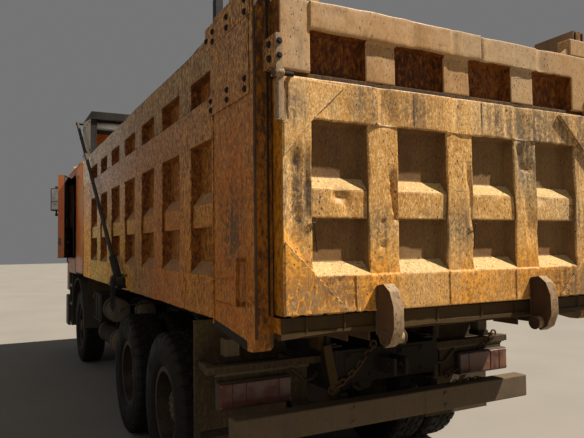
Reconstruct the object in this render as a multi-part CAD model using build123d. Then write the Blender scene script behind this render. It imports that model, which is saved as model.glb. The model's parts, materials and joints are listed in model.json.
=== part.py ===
from build123d import *
import os

# Three-axle tipper: long cab, twin drive axles, ribbed steel tipping bed with a
# raised extension and a top-hung tailgate.  Millimetres.  +X is forward, +Y is the
# driver's (left) side, +Z up; the ground is z = 0, the centre plane is y = 0.

# ---- driving dimensions -------------------------------------------------------
REAR = -4225.0            # x of the tailgate's outer face
def X(v):                 # distance forward of the tailgate's face -> x
    return REAR + v

# wheels and axles
TYRE_R, TYRE_W, BEAD_R = 557.0, 315.0, 285.0
RIM_W = 231.0
AXLE_Z = 557.0
X_FRONT, X_MID, X_REARAX = X(7080), X(3256), X(1900)
TWIN_OUT, TWIN_IN = 1092.5, 742.5      # twin tyre centres, from the centre plane
FRONT_Y = 1030.0                       # steered tyre centre
KINGPIN_Y = 820.0
ARM_X, TIE_Z = -190.0, 452.0           # steering arm's pin, behind the kingpin

# ladder frame
RAIL_IN, RAIL_OUT, RAIL_T = 345.0, 430.0, 12.0
RAIL_Z0, RAIL_Z1 = 820.0, 1115.0
RAIL_X0, RAIL_X1 = X(760), X(8330)

# tipping bed
BED_IN, BED_OUT, WALL_BACK = 1150.0, 1250.0, 1172.0
BED_X1 = X(6200)
SIDE_Z0, SIDE_Z1, EXT_Z0, EXT_Z1 = 1357.0, 2648.0, 2652.0, 3015.0
FLOOR_Z0, FLOOR_Z1 = 1372.0, 1480.0
TIP_X, TIP_Z = X(850), 1145.0          # tipping hinge axis
CORNER_TOP = 3225.0

# tailgate
GATE_HALF, GATE_T = 1142.0, 115.0
GATE_Z0, GATE_Z1 = 1427.0, 2606.0
UP_Z0, UP_Z1 = 2634.0, 3000.0
HANG_X, HANG_Z = X(-22), 2602.0        # tailgate hinge axis

# front telescopic hoist
HOIST_X, HOIST_Z, EYE_Z = X(6375), 800.0, 2700.0

# swinging cover frame
ARM_PIVOT_X, ARM_PIVOT_Z = X(3200), 1430.0
ARM_TIP_X, ARM_TIP_Z = X(6430), 3590.0
ARM_Y = 1310.0                         # middle of the cover frame's arms
HOOD_Z = 3576.0                        # top of the cover housing

# cab
CAB_HALF, CAB_WALL = 1220.0, 60.0
CAB_REAR, CAB_FRONT = X(6550), X(8500)
DOOR_X0, DOOR_X1 = X(7350), X(8200)
DOOR_Z0, DOOR_Z1 = 1370.0, 2930.0   # cab's lower edge, doors' upper edge
DOOR_FOOT, SILL_Z0 = 1600.0, 1340.0       # doors' lower edge, and the sill's below it
CAB_TOP = 3035.0
CAB_TILT_X, CAB_TILT_Z = X(8420), 1000.0
DOOR_OPEN = 18.0                       # driver's door stands this far open
GAP = 6.0

# ---- helpers --------------------------------------------------------------------
def box(x0, x1, y0, y1, z0, z1):
    return Pos((x0 + x1) / 2, (y0 + y1) / 2, (z0 + z1) / 2) * Box(abs(x1 - x0), abs(y1 - y0), abs(z1 - z0))

def cyl_x(x0, x1, y, z, r):
    return Pos((x0 + x1) / 2, y, z) * Rot(0, 90, 0) * Cylinder(r, abs(x1 - x0))

def cyl_y(x, y0, y1, z, r):
    return Pos(x, (y0 + y1) / 2, z) * Rot(90, 0, 0) * Cylinder(r, abs(y1 - y0))

def cyl_z(x, y, z0, z1, r):
    return Pos(x, y, (z0 + z1) / 2) * Cylinder(r, abs(z1 - z0))

def prism_y(pts, y0, y1):
    """Outline of (x, z) points, from y0 to y1."""
    lo, hi = min(y0, y1), max(y0, y1)
    face = make_face(Polyline(*[(p[0], hi, p[1]) for p in pts], close=True))
    return extrude(face, amount=hi - lo, dir=(0, -1, 0))

def prism_x(pts, x0, x1):
    """Outline of (y, z) points, from x0 to x1."""
    lo, hi = min(x0, x1), max(x0, x1)
    face = make_face(Polyline(*[(lo, p[0], p[1]) for p in pts], close=True))
    return extrude(face, amount=hi - lo, dir=(1, 0, 0))

def prism_z(pts, z0, z1):
    """Outline of (x, y) points, from z0 to z1."""
    face = make_face(Polyline(*[(p[0], p[1], z0) for p in pts], close=True))
    return extrude(face, amount=z1 - z0, dir=(0, 0, 1))

def join(items):
    items = list(items)
    out = items[0]
    for it in items[1:]:
        out = out + it
    return out

def flip(shape):
    """Mirror image across the centre plane."""
    return mirror(shape, about=Plane.XZ)

def rod(p, q, r):
    a, b = Vector(*p), Vector(*q)
    d = b - a
    return Plane(origin=(a + b) * 0.5, z_dir=d.normalized()) * Cylinder(r, d.length)

os.makedirs("parts", exist_ok=True)
def save(name, shape):
    solids = shape.solids()
    if len(solids) == 1:
        export_step(solids[0], "parts/%s.step" % name)
    else:
        export_step(Compound(children=list(solids)), "parts/%s.step" % name)

SIDES = (("left", 1), ("right", -1))
def both(shape):
    return shape + flip(shape)

# =================================================================================
# chassis
# =================================================================================
def rail():
    """One C-section rail, open towards the centre plane."""
    outer = box(RAIL_X0, RAIL_X1, RAIL_IN, RAIL_OUT, RAIL_Z0, RAIL_Z1)
    inner = box(RAIL_X0 - 1, RAIL_X1 + 1, RAIL_IN - 1, RAIL_OUT - RAIL_T, RAIL_Z0 + RAIL_T, RAIL_Z1 - RAIL_T)
    return outer - inner

# cross-members: x, half length in x, z low, z high
CROSS = ((X(800), 40, 860, 1080), (X(2578), 90, 860, 1060), (X(4200), 45, 860, 1040),
         (X(5500), 45, 860, 1040), (X(6115), 35, 850, 960), (X(6525), 30, 850, 960), (X(8270), 50, 840, 1080))
GAP0 = 0.5                              # working gap between neighbouring pieces
HALF = RAIL_OUT - RAIL_T - GAP0         # half length of a cross-member, inside the webs
# rails with, at the rear, a pair of cheeks for the tipping hinge, and at the front the cab's tilt pins
cheek = box(TIP_X - 85, TIP_X + 85, RAIL_OUT + GAP0, RAIL_OUT + 28, 905, TIP_Z + 62) - cyl_y(TIP_X, RAIL_OUT - 1, RAIL_OUT + 29, TIP_Z, 30.05)
tilt = box(RAIL_X1 + GAP0, CAB_TILT_X + 22, 395, RAIL_OUT, 930, 1018) + cyl_y(CAB_TILT_X, RAIL_OUT - 1, 474, CAB_TILT_Z, 18)
save("frame_rails", both(rail()) + both(cheek) + both(tilt))

members = [box(cx - hx, cx + hx, -HALF, HALF, z0, z1) for cx, hx, z0, z1 in CROSS]
# hoist cradle: two bearing plates between the cross-members either side of the trunnion
for s in (1, -1):
    y0, y1 = sorted((s * 125, s * 160))
    members.append(box(X(6150) + GAP0, X(6495) - GAP0, y0, y1, 700, 955) - cyl_y(HOIST_X, y0 - 1, y1 + 1, HOIST_Z, 40.05))
# brackets that carry the side tanks and boxes, outside the right rail
for bx in (X(4560), X(5540)):
    members.append(box(bx - 20, bx + 20, -500, -RAIL_OUT - GAP0, 860, 1080))
# drop arms that carry the underrun bar
for s in (1, -1):
    members.append(box(X(701), X(840), *sorted((s * 345, s * 400)), 640, 819))
# rear towing cheeks, with a level pin hole, and the front towing block, with an upright one
TOW_X, TOW_Z = X(635), 970
for s in (1, -1):
    y0, y1 = sorted((s * 35, s * 60))
    members.append(box(X(585), X(760) - GAP0, y0, y1, 915, 1025) - cyl_y(TOW_X, y0 - 1, y1 + 1, TOW_Z, 20))
members.append(box(X(8320) + GAP0, X(8470), -70, 70, 850, 930) - cyl_z(X(8430), 0, 840, 940, 22))
save("cross_members", Compound(children=[m for m in members]))

# steered axle beam with kingpin bosses
beam = prism_x([(-KINGPIN_Y, 505), (-700, 505), (-480, 440), (480, 440), (700, 505), (KINGPIN_Y, 505),
                (KINGPIN_Y, 600), (700, 600), (480, 545), (-480, 545), (-700, 600), (-KINGPIN_Y, 600)], X_FRONT - 50, X_FRONT + 50)
beam = beam + both(cyl_z(X_FRONT, KINGPIN_Y, 482, 628, 48))
beam = beam - both(cyl_z(X_FRONT, KINGPIN_Y, 400, 700, 22.05))
save("front_axle", beam)

# leaf packs: outline (x, z) about the axle, y range
front_pack = prism_y([(X_FRONT - 800, 790), (X_FRONT - 800, 745), (X_FRONT - 330, 655), (X_FRONT - 120, 600), (X_FRONT + 120, 600),
                      (X_FRONT + 330, 655), (X_FRONT + 800, 745), (X_FRONT + 800, 790), (X_FRONT + 120, 700), (X_FRONT - 120, 700)],
                     345, 435)
front_seat = box(X_FRONT - 110, X_FRONT + 110, 345, 435, 545.5, 600)
front_hang = box(X_FRONT - 850, X_FRONT - 770, 350, 430, 740, RAIL_Z0) + box(X_FRONT + 770, X_FRONT + 850, 350, 430, 740, RAIL_Z0)
BOGIE = (X_MID + X_REARAX) / 2
bogie_pack = prism_y([(X_REARAX - 110, 662), (BOGIE - 200, 760), (BOGIE + 200, 760), (X_MID + 110, 662), (X_MID + 110, 705),
                      (BOGIE + 160, 925), (BOGIE - 160, 925), (X_REARAX - 110, 705)], 445, 545)
trunnion = box(BOGIE - 150, BOGIE + 150, 430, 545, 500, 760) + box(BOGIE - 230, BOGIE + 230, 430, 445, 600, 1060)
save("leaf_springs", both(front_pack + front_seat + front_hang) + both(bogie_pack + trunnion))

# drive axles: banjo, tubes, spring seats, spindles; a propeller shaft runs between them and forward
def drive_axle(ax):
    banjo = Pos(ax, 0, AXLE_Z) * Rot(0, 90, 0) * Cylinder(215, 200)
    nose = cyl_x(ax + 60, ax + 260, 0, AXLE_Z, 120)
    tube = cyl_y(ax, -585, 585, AXLE_Z, 70)
    seat = both(box(ax - 90, ax + 90, 445, 545, AXLE_Z + 20, 661.5))
    spindle = both(cyl_y(ax, 580, 980, AXLE_Z, 45))
    return join([banjo, nose, tube, seat, spindle])
prop = cyl_x(X_REARAX + 255, X_MID - 95, 0, AXLE_Z, 55)
prop_front = rod((X_MID + 250, 0, AXLE_Z), (X(5885), 0, 700), 58)
save("drive_axles", join([drive_axle(X_MID), drive_axle(X_REARAX), prop, prop_front]))

# engine and gearbox, one block under the cab floor
save("engine_block", box(X(5900), X(6200), -118, 118, 560, 815) + box(X(6565), X(8180), -330, 330, 680, 1290)
     + box(X(6199), X(6570), -110, 110, 560, 665) + box(X(6550), X(6600), -110, 110, 560, 700))

# side tank, boxes and cylinders
tank = box(X(4400), X(5700), -1150, -500, 560, 1150)
tank = fillet(tank.edges().filter_by(Axis.X), 90)
save("fuel_tank", tank)
save("battery_box", box(X(5250), X(5830), 600, 1150, 840, 1160) + box(X(5230), X(5850), 560, 1160, 808, 840)
     + box(X(5500), X(5540), RAIL_OUT, 600, 860, 1080))
# cylinders along x: x0, x1, y, z, radius
TANKS = ((4850, 5205, 1000, 985, 140), (4700, 5205, 700, 985, 120), (4800, 5760, 980, 625, 125))
tanks = [cyl_x(X(a), X(b), y, z, r) for a, b, y, z, r in TANKS]
carry = box(X(5000), X(5040), RAIL_OUT, 990, 955, 1010) + box(X(5000), X(5040), 960, 1000, 560, 1000)
save("air_tanks", join(tanks + [carry]))

# rear underrun bar, lamp bar with lamps, mudguards
save("underrun_bar", box(X(590), X(700), -1160, 1160, 632, 788))
lamp = box(X(790), X(850), 705, 1180, 800, 950)
save("tail_lamps", both(lamp))
lampbar = box(X(841), X(900), RAIL_OUT + 28, 1240, 1000, 1045) + box(X(850.5), X(870), 560, 1180, 790, 1000)
guard = box(X(1075), X(1095), 600, 1245, 430, 1300) + box(X(900), X(1075), 620, 660, 1000, 1045) + box(X(900), X(1075), 1180, 1220, 1000, 1045)
save("rear_mudguards", both(lampbar + guard))

# front bumper: a centre length and two corner pieces that wrap round
centre = prism_z([(X(8525), -879), (X(8595), -879), (X(8600), 0), (X(8595), 879), (X(8525), 879)], 430, 940) - box(X(8300), X(8700), -90, 90, 830, 950)
corner_b = prism_z([(X(8520), 880), (X(8595), 880), (X(8560), 1120), (X(8480), 1240), (X(8180), 1240), (X(8180), 1180), (X(8430), 1180), (X(8500), 1060)], 430, 940)
carriers = both(box(X(8330), X(8522), 345, 430, 840, 929))
save("bumper", Compound(children=[centre, corner_b, flip(corner_b)] + list(carriers.solids())))

# wheel arches and entry steps
arch = cyl_y(X_FRONT, 860, 1215, AXLE_Z, 735) - cyl_y(X_FRONT, 855, 1220, AXLE_Z, 712) - box(X_FRONT - 800, X_FRONT + 800, 850, 1230, -300, AXLE_Z + 40)
arch = arch + box(X_FRONT - 40, X_FRONT + 40, 350, 885, 1125, 1160) + box(X_FRONT - 40, X_FRONT + 40, 350, 425, RAIL_Z1, 1126) + box(X_FRONT - 40, X_FRONT + 40, 861, 885, 1159, AXLE_Z + 720)
save("wheel_arches", both(arch))
# entry steps below each door: three treads between two cheeks and a back plate
steps = [box(X(7836), X(8149), 892, 1215, sz, sz + 40) for sz in (470, 800, 1110)]
steps = steps + [box(X(7815), X(7835), 880, 1215, 470, 1330), box(X(8150), X(8170), 880, 1215, 470, 1330), box(X(7836), X(8149), 870, 891, 470, 1330),
                 box(X(7900), X(8100), RAIL_OUT + GAP0, 869.5, 860, 920)]
save("cab_steps", Compound(children=[q for st in steps for q in (st, flip(st))]))

# =================================================================================
# wheels
# =================================================================================
def tyre(ax, yc):
    h = TYRE_W / 2
    pts = [(BEAD_R + 0.3, -114.5), (302, -114.5), (330, -142), (420, -h), (505, -h + 6), (540, -h + 22), (TYRE_R, -h + 42),
           (TYRE_R, h - 42), (540, h - 22), (505, h - 6), (420, h), (330, 142), (302, 114.5), (BEAD_R + 0.3, 114.5)]
    face = make_face(Polyline(*[(ax + r, yc + y, AXLE_Z) for r, y in pts], close=True))
    return revolve(face, axis=Axis((ax, 0, AXLE_Z), (0, 1, 0)), revolution_arc=360)

def ring(ax, y0, y1, ro, ri):
    return cyl_y(ax, y0, y1, AXLE_Z, ro) - cyl_y(ax, y0 - 1, y1 + 1, AXLE_Z, ri)

def rim_band(ax, yc):
    return join([ring(ax, yc - 122.5, yc + 122.5, BEAD_R, 265), ring(ax, yc - 122.5, yc - 115.5, 300, 270), ring(ax, yc + 115.5, yc + 122.5, 300, 270)])

def revolved(ax, pts):
    """Solid of revolution about the wheel's axis: (radius, y) outline."""
    face = make_face(Polyline(*[(ax + r, y, AXLE_Z) for r, y in pts], close=True))
    return revolve(face, axis=Axis((ax, 0, AXLE_Z), (0, 1, 0)), revolution_arc=360)

def front_wheel(ax):
    """Left steered wheel: rim, dished disc near the outside, hub and brake drum."""
    disc = revolved(ax, [(40.05, 1040), (200, 1040), (268, 1000), (268, 1016), (210, 1056), (150, 1070), (150, 1095), (95, 1105),
                         (80, 1160), (0, 1165), (0, 1112), (40.05, 1112)])
    drum = revolved(ax, [(40.05, 905), (205, 905), (205, 1042), (40.05, 1042)])
    holes = [Pos(ax, 0, AXLE_Z) * Rot(0, a, 0) * Pos(232, 1025, 0) * Rot(90, 0, 0) * Cylinder(24, 120) for a in range(0, 360, 36)]
    disc = disc - join(holes)
    return rim_band(ax, FRONT_Y) + disc + drum

def twin_wheel(ax):
    """Left twin wheel: two rims back to back, hub and brake drum."""
    disc_o = revolved(ax, [(45.05, 938), (215, 938), (268, 1000), (268, 1018), (205, 956), (165, 956), (165, 975), (118, 985), (110, 1150), (0, 1158),
                           (0, 985), (45.05, 985)])
    disc_i = revolved(ax, [(120, 939), (215, 939), (268, 835), (268, 815), (200, 915), (120, 915)])
    drum = revolved(ax, [(45.05, 625), (215, 625), (215, 800), (160, 810), (160, 940), (45.05, 940)])
    holes = [Pos(ax, 0, AXLE_Z) * Rot(0, a, 0) * Pos(235, 985, 0) * Rot(90, 0, 0) * Cylinder(22, 80) for a in range(0, 360, 36)]
    holes = holes + [Pos(ax, 0, AXLE_Z) * Rot(0, a, 0) * Pos(238, 870, 0) * Rot(90, 0, 0) * Cylinder(22, 110) for a in range(0, 360, 36)]
    return join([rim_band(ax, TWIN_OUT), rim_band(ax, TWIN_IN), (disc_o + disc_i) - join(holes), drum])

# wheel bodies: name, x, kind
WHEELS = (("front", X_FRONT), ("mid", X_MID), ("rear", X_REARAX))
for name, ax in WHEELS:
    rims = front_wheel(ax) if name == "front" else twin_wheel(ax)
    tyres = tyre(ax, FRONT_Y) if name == "front" else tyre(ax, TWIN_OUT) + tyre(ax, TWIN_IN)
    for side, s in SIDES:
        save("%s_%s_rim" % (name, side), rims if s > 0 else flip(rims))
        save("%s_%s_tyre" % (name, side), tyres if s > 0 else flip(tyres))

# steering knuckle: yoke round the axle's end, kingpin, spindle, and an arm rearward
def knuckle():
    y0, y1 = KINGPIN_Y, KINGPIN_Y + 77
    yoke = []
    for z0, z1 in ((634, 668), (442, 476)):
        yoke.append(box(X_FRONT - 45, X_FRONT + 45, y0, y1, z0, z1) + cyl_z(X_FRONT, y0, z0, z1, 45))
    yoke.append(box(X_FRONT - 60, X_FRONT + 60, y0 + 55, y1, 442, 668))
    yoke.append(cyl_z(X_FRONT, y0, 442, 668, 22))
    yoke.append(cyl_y(X_FRONT, y1 - 5, 1110, AXLE_Z, 40))
    yoke.append(box(X_FRONT + ARM_X, X_FRONT - 30, y0 - 24, y0 + 24, 442, 476) + cyl_z(X_FRONT + ARM_X, y0, 442, 476, 30))
    return join(yoke) - cyl_z(X_FRONT + ARM_X, y0, 430, 490, 14.05)
kn = knuckle()
save("left_knuckle", kn)
save("right_knuckle", flip(kn))
tie = rod((X_FRONT + ARM_X, -KINGPIN_Y, TIE_Z - 34), (X_FRONT + ARM_X, KINGPIN_Y, TIE_Z - 34), 17)
tie = tie + both(cyl_z(X_FRONT + ARM_X, KINGPIN_Y, TIE_Z - 56, TIE_Z - 13, 26) + cyl_z(X_FRONT + ARM_X, KINGPIN_Y, TIE_Z - 40, 486, 14))
save("tie_rod", tie)

# =================================================================================
# cab
# =================================================================================
def front_face(z):
    """x of the screen's outer face at height z."""
    return X(8500) - (z - 1960.0) * (X(8500) - X(8290)) / (3035.0 - 1960.0)
B_PILLAR, A_PILLAR = DOOR_X0 - GAP, DOOR_X1 + GAP
H, IN = CAB_HALF, CAB_HALF - CAB_WALL

rear_shell = box(CAB_REAR, B_PILLAR, -H, H, DOOR_Z0, CAB_TOP) - box(CAB_REAR + CAB_WALL, B_PILLAR + 1, -IN, IN, DOOR_Z0 - 1, CAB_TOP + 1)
rear_shell = rear_shell + both(box(B_PILLAR - 1, A_PILLAR, IN, H, DOOR_Z1 + GAP, CAB_TOP))
rear_shell = rear_shell + both(box(B_PILLAR - 1, A_PILLAR, IN, H, SILL_Z0, DOOR_FOOT - 3))
save("cab_rear_shell", rear_shell)

outer = prism_y([(A_PILLAR, 1030), (X(8500), 1030), (X(8500), 1960), (X(8290), CAB_TOP), (A_PILLAR, CAB_TOP)], -H, H)
inner = prism_y([(A_PILLAR - 5, 1020), (X(8440), 1020), (X(8440), 1945), (front_face(2975) - 62, 2975), (A_PILLAR - 5, 2975)], -IN, IN)
opening = box(X(8215), X(8600), -1090, 1090, 2020, 2880)
# eye plates that hang on the frame's tilt pins, and pockets for the doors' hinge barrels
eye = box(CAB_TILT_X - 40, X(8441), 440, 470, 962, 1100) - cyl_y(CAB_TILT_X, 438, 472, CAB_TILT_Z, 18.05)
HINGE_X, HINGE_Y = DOOR_X1 + 3, CAB_HALF
HINGES = ((1700, 1780), (1960, 2040))        # z low, z high of each hinge barrel
front_shell = outer - inner - opening + both(eye)
for z0, z1 in HINGES:
    front_shell = front_shell - both(cyl_z(HINGE_X, HINGE_Y, z0 - 2, z1 + 2, 15))
save("cab_front", front_shell)
save("windscreen", prism_y([(front_face(2023) - 34, 2023), (front_face(2877) - 34, 2877), (front_face(2877) - 26, 2877), (front_face(2023) - 26, 2023)], -1087, 1087))

# low roof whose long sides slope in from the gutters
roof = prism_y([(CAB_REAR, CAB_TOP), (X(8290), CAB_TOP), (X(8272), 3058), (X(8120), 3086), (X(6720), 3098), (X(6585), 3074)], -H, H)
roof = roof & prism_x([(-H, CAB_TOP), (H, CAB_TOP), (H, CAB_TOP + 6), (1080, 3100), (-1080, 3100), (-H, CAB_TOP + 6)], CAB_REAR, X(8290))
save("cab_roof", roof - box(CAB_REAR + 90, X(8150), -1060, 1060, CAB_TOP - 1, 3062))

floor = box(CAB_REAR + CAB_WALL, X(8440), -1150, 1150, DOOR_Z0, DOOR_Z0 + 60)
floor = floor + both(box(CAB_REAR + CAB_WALL, B_PILLAR - 10, 1140, IN, DOOR_Z0, DOOR_Z0 + 60))
WHEEL_HUB = (X(7950), 560.0, 1885.0)
COL = (0.5, 0.0, -0.8660254)
col_a = tuple(WHEEL_HUB[i] + COL[i] * 45 for i in range(3))
col_b = tuple(WHEEL_HUB[i] + COL[i] * 500 for i in range(3))
floor = floor + rod(col_a, col_b, 28)
save("cab_floor", floor)

save("dashboard", prism_y([(X(8160), 1780), (X(8439), 1780), (X(8439), 1930), (X(8400), 2015), (X(8240), 2015), (X(8160), 1950)], -IN + 5, IN - 5))

seat = []
for sy in (560, -560):
    cushion = box(X(7120), X(7640), sy - 240, sy + 240, 1640, 1770)
    back = prism_y([(X(7120), 1640), (X(7230), 1640), (X(7150), 2360), (X(7050), 2360)], sy - 235, sy + 235)
    stand = box(X(7180), X(7580), sy - 190, sy + 190, DOOR_Z0 + 60, 1641)
    seat.append(join([cushion, back, stand]))
save("seats", seat[0] + seat[1])

wheel_plane = Plane(origin=WHEEL_HUB, z_dir=(-COL[0], 0, -COL[2]))
sw = wheel_plane * Torus(215, 16)
sw = sw + wheel_plane * Cylinder(48, 50)
sw = sw + wheel_plane * Box(420, 34, 14) + wheel_plane * Pos(0, -105, 0) * Box(34, 210, 14)
save("steering_wheel", sw)

# doors, hinged at their front edge; built closed on the left, then opened or mirrored
door = box(DOOR_X0, DOOR_X1, IN, H, DOOR_FOOT, DOOR_Z1) + box(DOOR_X0, DOOR_X1 - 50, IN - 35, IN + 1, DOOR_FOOT, DOOR_Z1)
for z0, z1 in HINGES:
    door = door + cyl_z(HINGE_X, HINGE_Y, z0, z1, 12)
door = door - box(DOOR_X0 + 80, DOOR_X1 - 85, IN - 36, H + 1, 2080, DOOR_Z1 - 80)
door_glass = box(DOOR_X0 + 82, DOOR_X1 - 87, 1188, 1194, 2082, DOOR_Z1 - 82)
mirror_arm = [rod((DOOR_X1 - 60, H - 5, 2800), (DOOR_X1 - 90, 1420, 2800), 14), rod((DOOR_X1 - 60, H - 5, 2330), (DOOR_X1 - 90, 1420, 2330), 14),
              rod((DOOR_X1 - 90, 1420, 2316), (DOOR_X1 - 90, 1420, 2814), 14), box(DOOR_X1 - 150, DOOR_X1 - 80, 1340, 1500, 2400, 2780)]
door = join([door] + mirror_arm)
def swung(shape, deg):
    return Pos(HINGE_X, HINGE_Y, 0) * Rot(0, 0, -deg) * Pos(-HINGE_X, -HINGE_Y, 0) * shape
save("left_door", swung(door, DOOR_OPEN))
save("left_door_glass", swung(door_glass, DOOR_OPEN))
save("right_door", flip(door))
save("right_door_glass", flip(door_glass))

# =================================================================================
# tipping bed
# =================================================================================
# outer posts of each side: x low, x high
POSTS = ((1132, 1375), (1853, 2094), (2553, 2806), (3273, 3523), (4000, 4252), (4718, 4960))
BAY_X = [690] + [v for p in POSTS for v in p] + [5490]
BAYS = [(X(BAY_X[i] + (30 if i == 0 else 0)), X(BAY_X[i + 1])) for i in range(0, len(BAY_X), 2)]

side = box(X(690), BED_X1, BED_IN, BED_OUT, SIDE_Z0, SIDE_Z1)
for bx0, bx1 in BAYS:
    side = side - prism_x([(WALL_BACK, 2404), (BED_OUT + 5, 2404), (BED_OUT + 5, 2030), (1228, 2030), (WALL_BACK, 2110)], bx0, bx1)
    side = side - prism_x([(WALL_BACK, 1887), (BED_OUT + 5, 1887), (BED_OUT + 5, 1600), (1246, 1600), (WALL_BACK, 1680)], bx0, bx1)
    side = side - box(bx0, bx1, 1228, BED_OUT + 5, 1880, 2035)
# outboard seats of the cover frame's pivots
side = side + box(ARM_PIVOT_X - 90, ARM_PIVOT_X + 90, BED_OUT - 5, 1262, ARM_PIVOT_Z - 60, ARM_PIVOT_Z + 90) + cyl_y(ARM_PIVOT_X, 1261, 1278, ARM_PIVOT_Z, 58)
save("bed_sides", both(side))

ext = box(X(690), BED_X1, BED_IN, BED_OUT, EXT_Z0, EXT_Z1)
for bx0, bx1 in BAYS:
    ext = ext - box(bx0, bx1, WALL_BACK, BED_OUT + 5, EXT_Z0 - 1, 2820)
ext = ext + box(X(692), X(740), 1180, 1230, EXT_Z1 - 5, 3240)
save("side_extensions", both(ext))

# rear corners with the beam under the gate, and the upper gate between them
corner = prism_y([(X(690), 1320), (X(200), 1250), (X(140), 1252), (X(110), 1275), (X(100), 1310), (X(100), CORNER_TOP), (X(420), CORNER_TOP), (X(420), 3100), (X(664), 3100),
                  (X(664), EXT_Z1), (X(690), EXT_Z1)], BED_IN, BED_OUT)
corner = corner + prism_x([(1030, 1352), (BED_IN + 1, 1300), (BED_IN + 1, 1420), (1030, 1420)], X(130), X(330))
beam_r = box(X(20), X(330), -BED_IN, BED_IN, 1345, 1420) + box(X(128), X(330), -1120, 1120, 1300, 1346)
# hinge brackets that carry the gate, and their pins
for s in (1, -1):
    y0, y1 = sorted((s * 1157, s * 1192))
    corner_b = box(X(-45), X(100), y0, y1, 2640, 2790) + box(X(-45), X(-2), y0, y1, 2600, 2645) + cyl_y(HANG_X, y0, y1, HANG_Z, 24)
    beam_r = beam_r + corner_b + cyl_y(HANG_X, *sorted((s * 1090, s * 1192)), HANG_Z, 12)
loop = box(X(228), X(252), BED_OUT - 1, BED_OUT + 52, 1468, 1712) - box(X(220), X(260), BED_OUT + 0.5, BED_OUT + 30, 1490, 1690)
save("rear_frame", join([both(corner + loop), beam_r]))

# gate columns: y low, y high of each recessed bay
GATE_BAYS = ((-978, -636), (-440, -98), (98, 440), (636, 978))
RECESS = 80.0
upper = box(X(0), X(GATE_T), -BED_IN, BED_IN, UP_Z0, UP_Z1)
upper = upper + both(box(X(0), X(100), 978, BED_IN, UP_Z1 - 1, 3110))
for y0, y1 in GATE_BAYS:
    upper = upper - box(X(-1), X(RECESS), y0, y1, UP_Z0 - 1, 2847)
save("upper_tailgate", upper)

tail = box(X(0), X(GATE_T), -GATE_HALF, GATE_HALF, GATE_Z0, GATE_Z1)
for y0, y1 in GATE_BAYS:
    tail = tail - prism_y([(X(-1), 2399), (X(RECESS), 2399), (X(RECESS), 2122), (X(24), 2053), (X(-1), 2053)], y0, y1)
    tail = tail - box(X(-1), X(24), y0, y1, 1900, 2060)
    tail = tail - prism_y([(X(-1), 1908), (X(RECESS), 1908), (X(RECESS), 1690), (X(3), 1618), (X(-1), 1618)], y0, y1)
for s in (1, -1):
    y0, y1 = sorted((s * 1118, s * 1153))
    tail = tail + (box(X(-45), X(0.5), y0, y1, 2380, 2570) + box(X(-45), X(-2), y0, y1, 2569, 2602) + cyl_y(HANG_X, y0, y1, HANG_Z, 24)
                   - cyl_y(HANG_X, y0 - 1, y1 + 1, HANG_Z, 12.05))
    tail = tail - box(X(-46), X(0), *sorted((s * GATE_HALF, s * 1200)), 2300, 2380)
save("tailgate", tail)
# locking lugs welded to the gate's lower edge: outline (x, z)
lug = [(X(0), 1560), (X(-60), 1570), (X(-110), 1535), (X(-140), 1460), (X(-142), 1350), (X(-110), 1275), (X(-60), 1245), (X(0), 1300)]
lugs = []
for y0, y1 in ((540, 605), (-605, -540)):
    inboard = (y0 - 45, y0) if y0 > 0 else (y1, y1 + 45)
    lugs.append(prism_y(lug, y0, y1) + cyl_y(X(-60), *inboard, 1295, 34))
save("gate_lugs", lugs[0] + lugs[1])

# floor with its long members, cross-ribs and tipping pins
deck = box(X(125), X(6100), -BED_IN, BED_IN, FLOOR_Z1 - 25, FLOOR_Z1)
ribs = [box(X(rx), X(rx + 60), -BED_IN, BED_IN, FLOOR_Z0, FLOOR_Z1 - 24) for rx in (335, 900, 1400, 1900, 2400, 2900, 3400, 3900, 4400, 4900, 5400, 5900, 6040)]
longs = both(box(X(900), X(6100), RAIL_IN, RAIL_OUT, 1127, FLOOR_Z1 - 24))
pins = both(box(TIP_X - 60, TIP_X + 70, 465, 500, TIP_Z - 55, FLOOR_Z0 + 1) + box(TIP_X + 50, TIP_X + 110, RAIL_IN, 500, 1225, FLOOR_Z0 + 1) + cyl_y(TIP_X, 434, 470, TIP_Z, 30))
# slot that the hoist leans into as the bed rises, and the seat of the well that covers it
WELL_Y, WELL_WALL = 160.0, 20.0
save("bed_floor", join([deck] + ribs + [longs, pins]) - box(X(5830), X(6101), -WELL_Y, WELL_Y, FLOOR_Z0 - 5, FLOOR_Z1 + 5)
     - box(X(5805) - GAP0, X(6101), -WELL_Y - WELL_WALL - GAP0, WELL_Y + WELL_WALL + GAP0, FLOOR_Z1 - 25, FLOOR_Z1 + 5))

# headboard in three panels with upright ribs: two beside the hoist's slot and one over it, which holds the eye cheeks
panel = box(X(6100.5), BED_X1, WELL_Y + GAP0, BED_IN, SIDE_Z0, 3480)
for y0, y1 in ((190, 520), (620, 1000)):
    panel = panel - box(X(6130), X(6201), y0, y1, 1500, 2300) - box(X(6130), X(6201), y0, y1, 2400, 3000)
top_panel = box(X(6100.5), BED_X1, -WELL_Y, WELL_Y, 2350, 3480)
for s in (1, -1):
    y0, y1 = sorted((s * 75, s * 105))
    top_panel = top_panel + prism_y([(X(6190), 2560), (X(6330), 2620), (X(6440), 2640), (X(6440), 2760), (X(6330), 2800), (X(6190), 2860)], y0, y1)
save("headboard", Compound(children=[panel, flip(panel), top_panel]))
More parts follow.
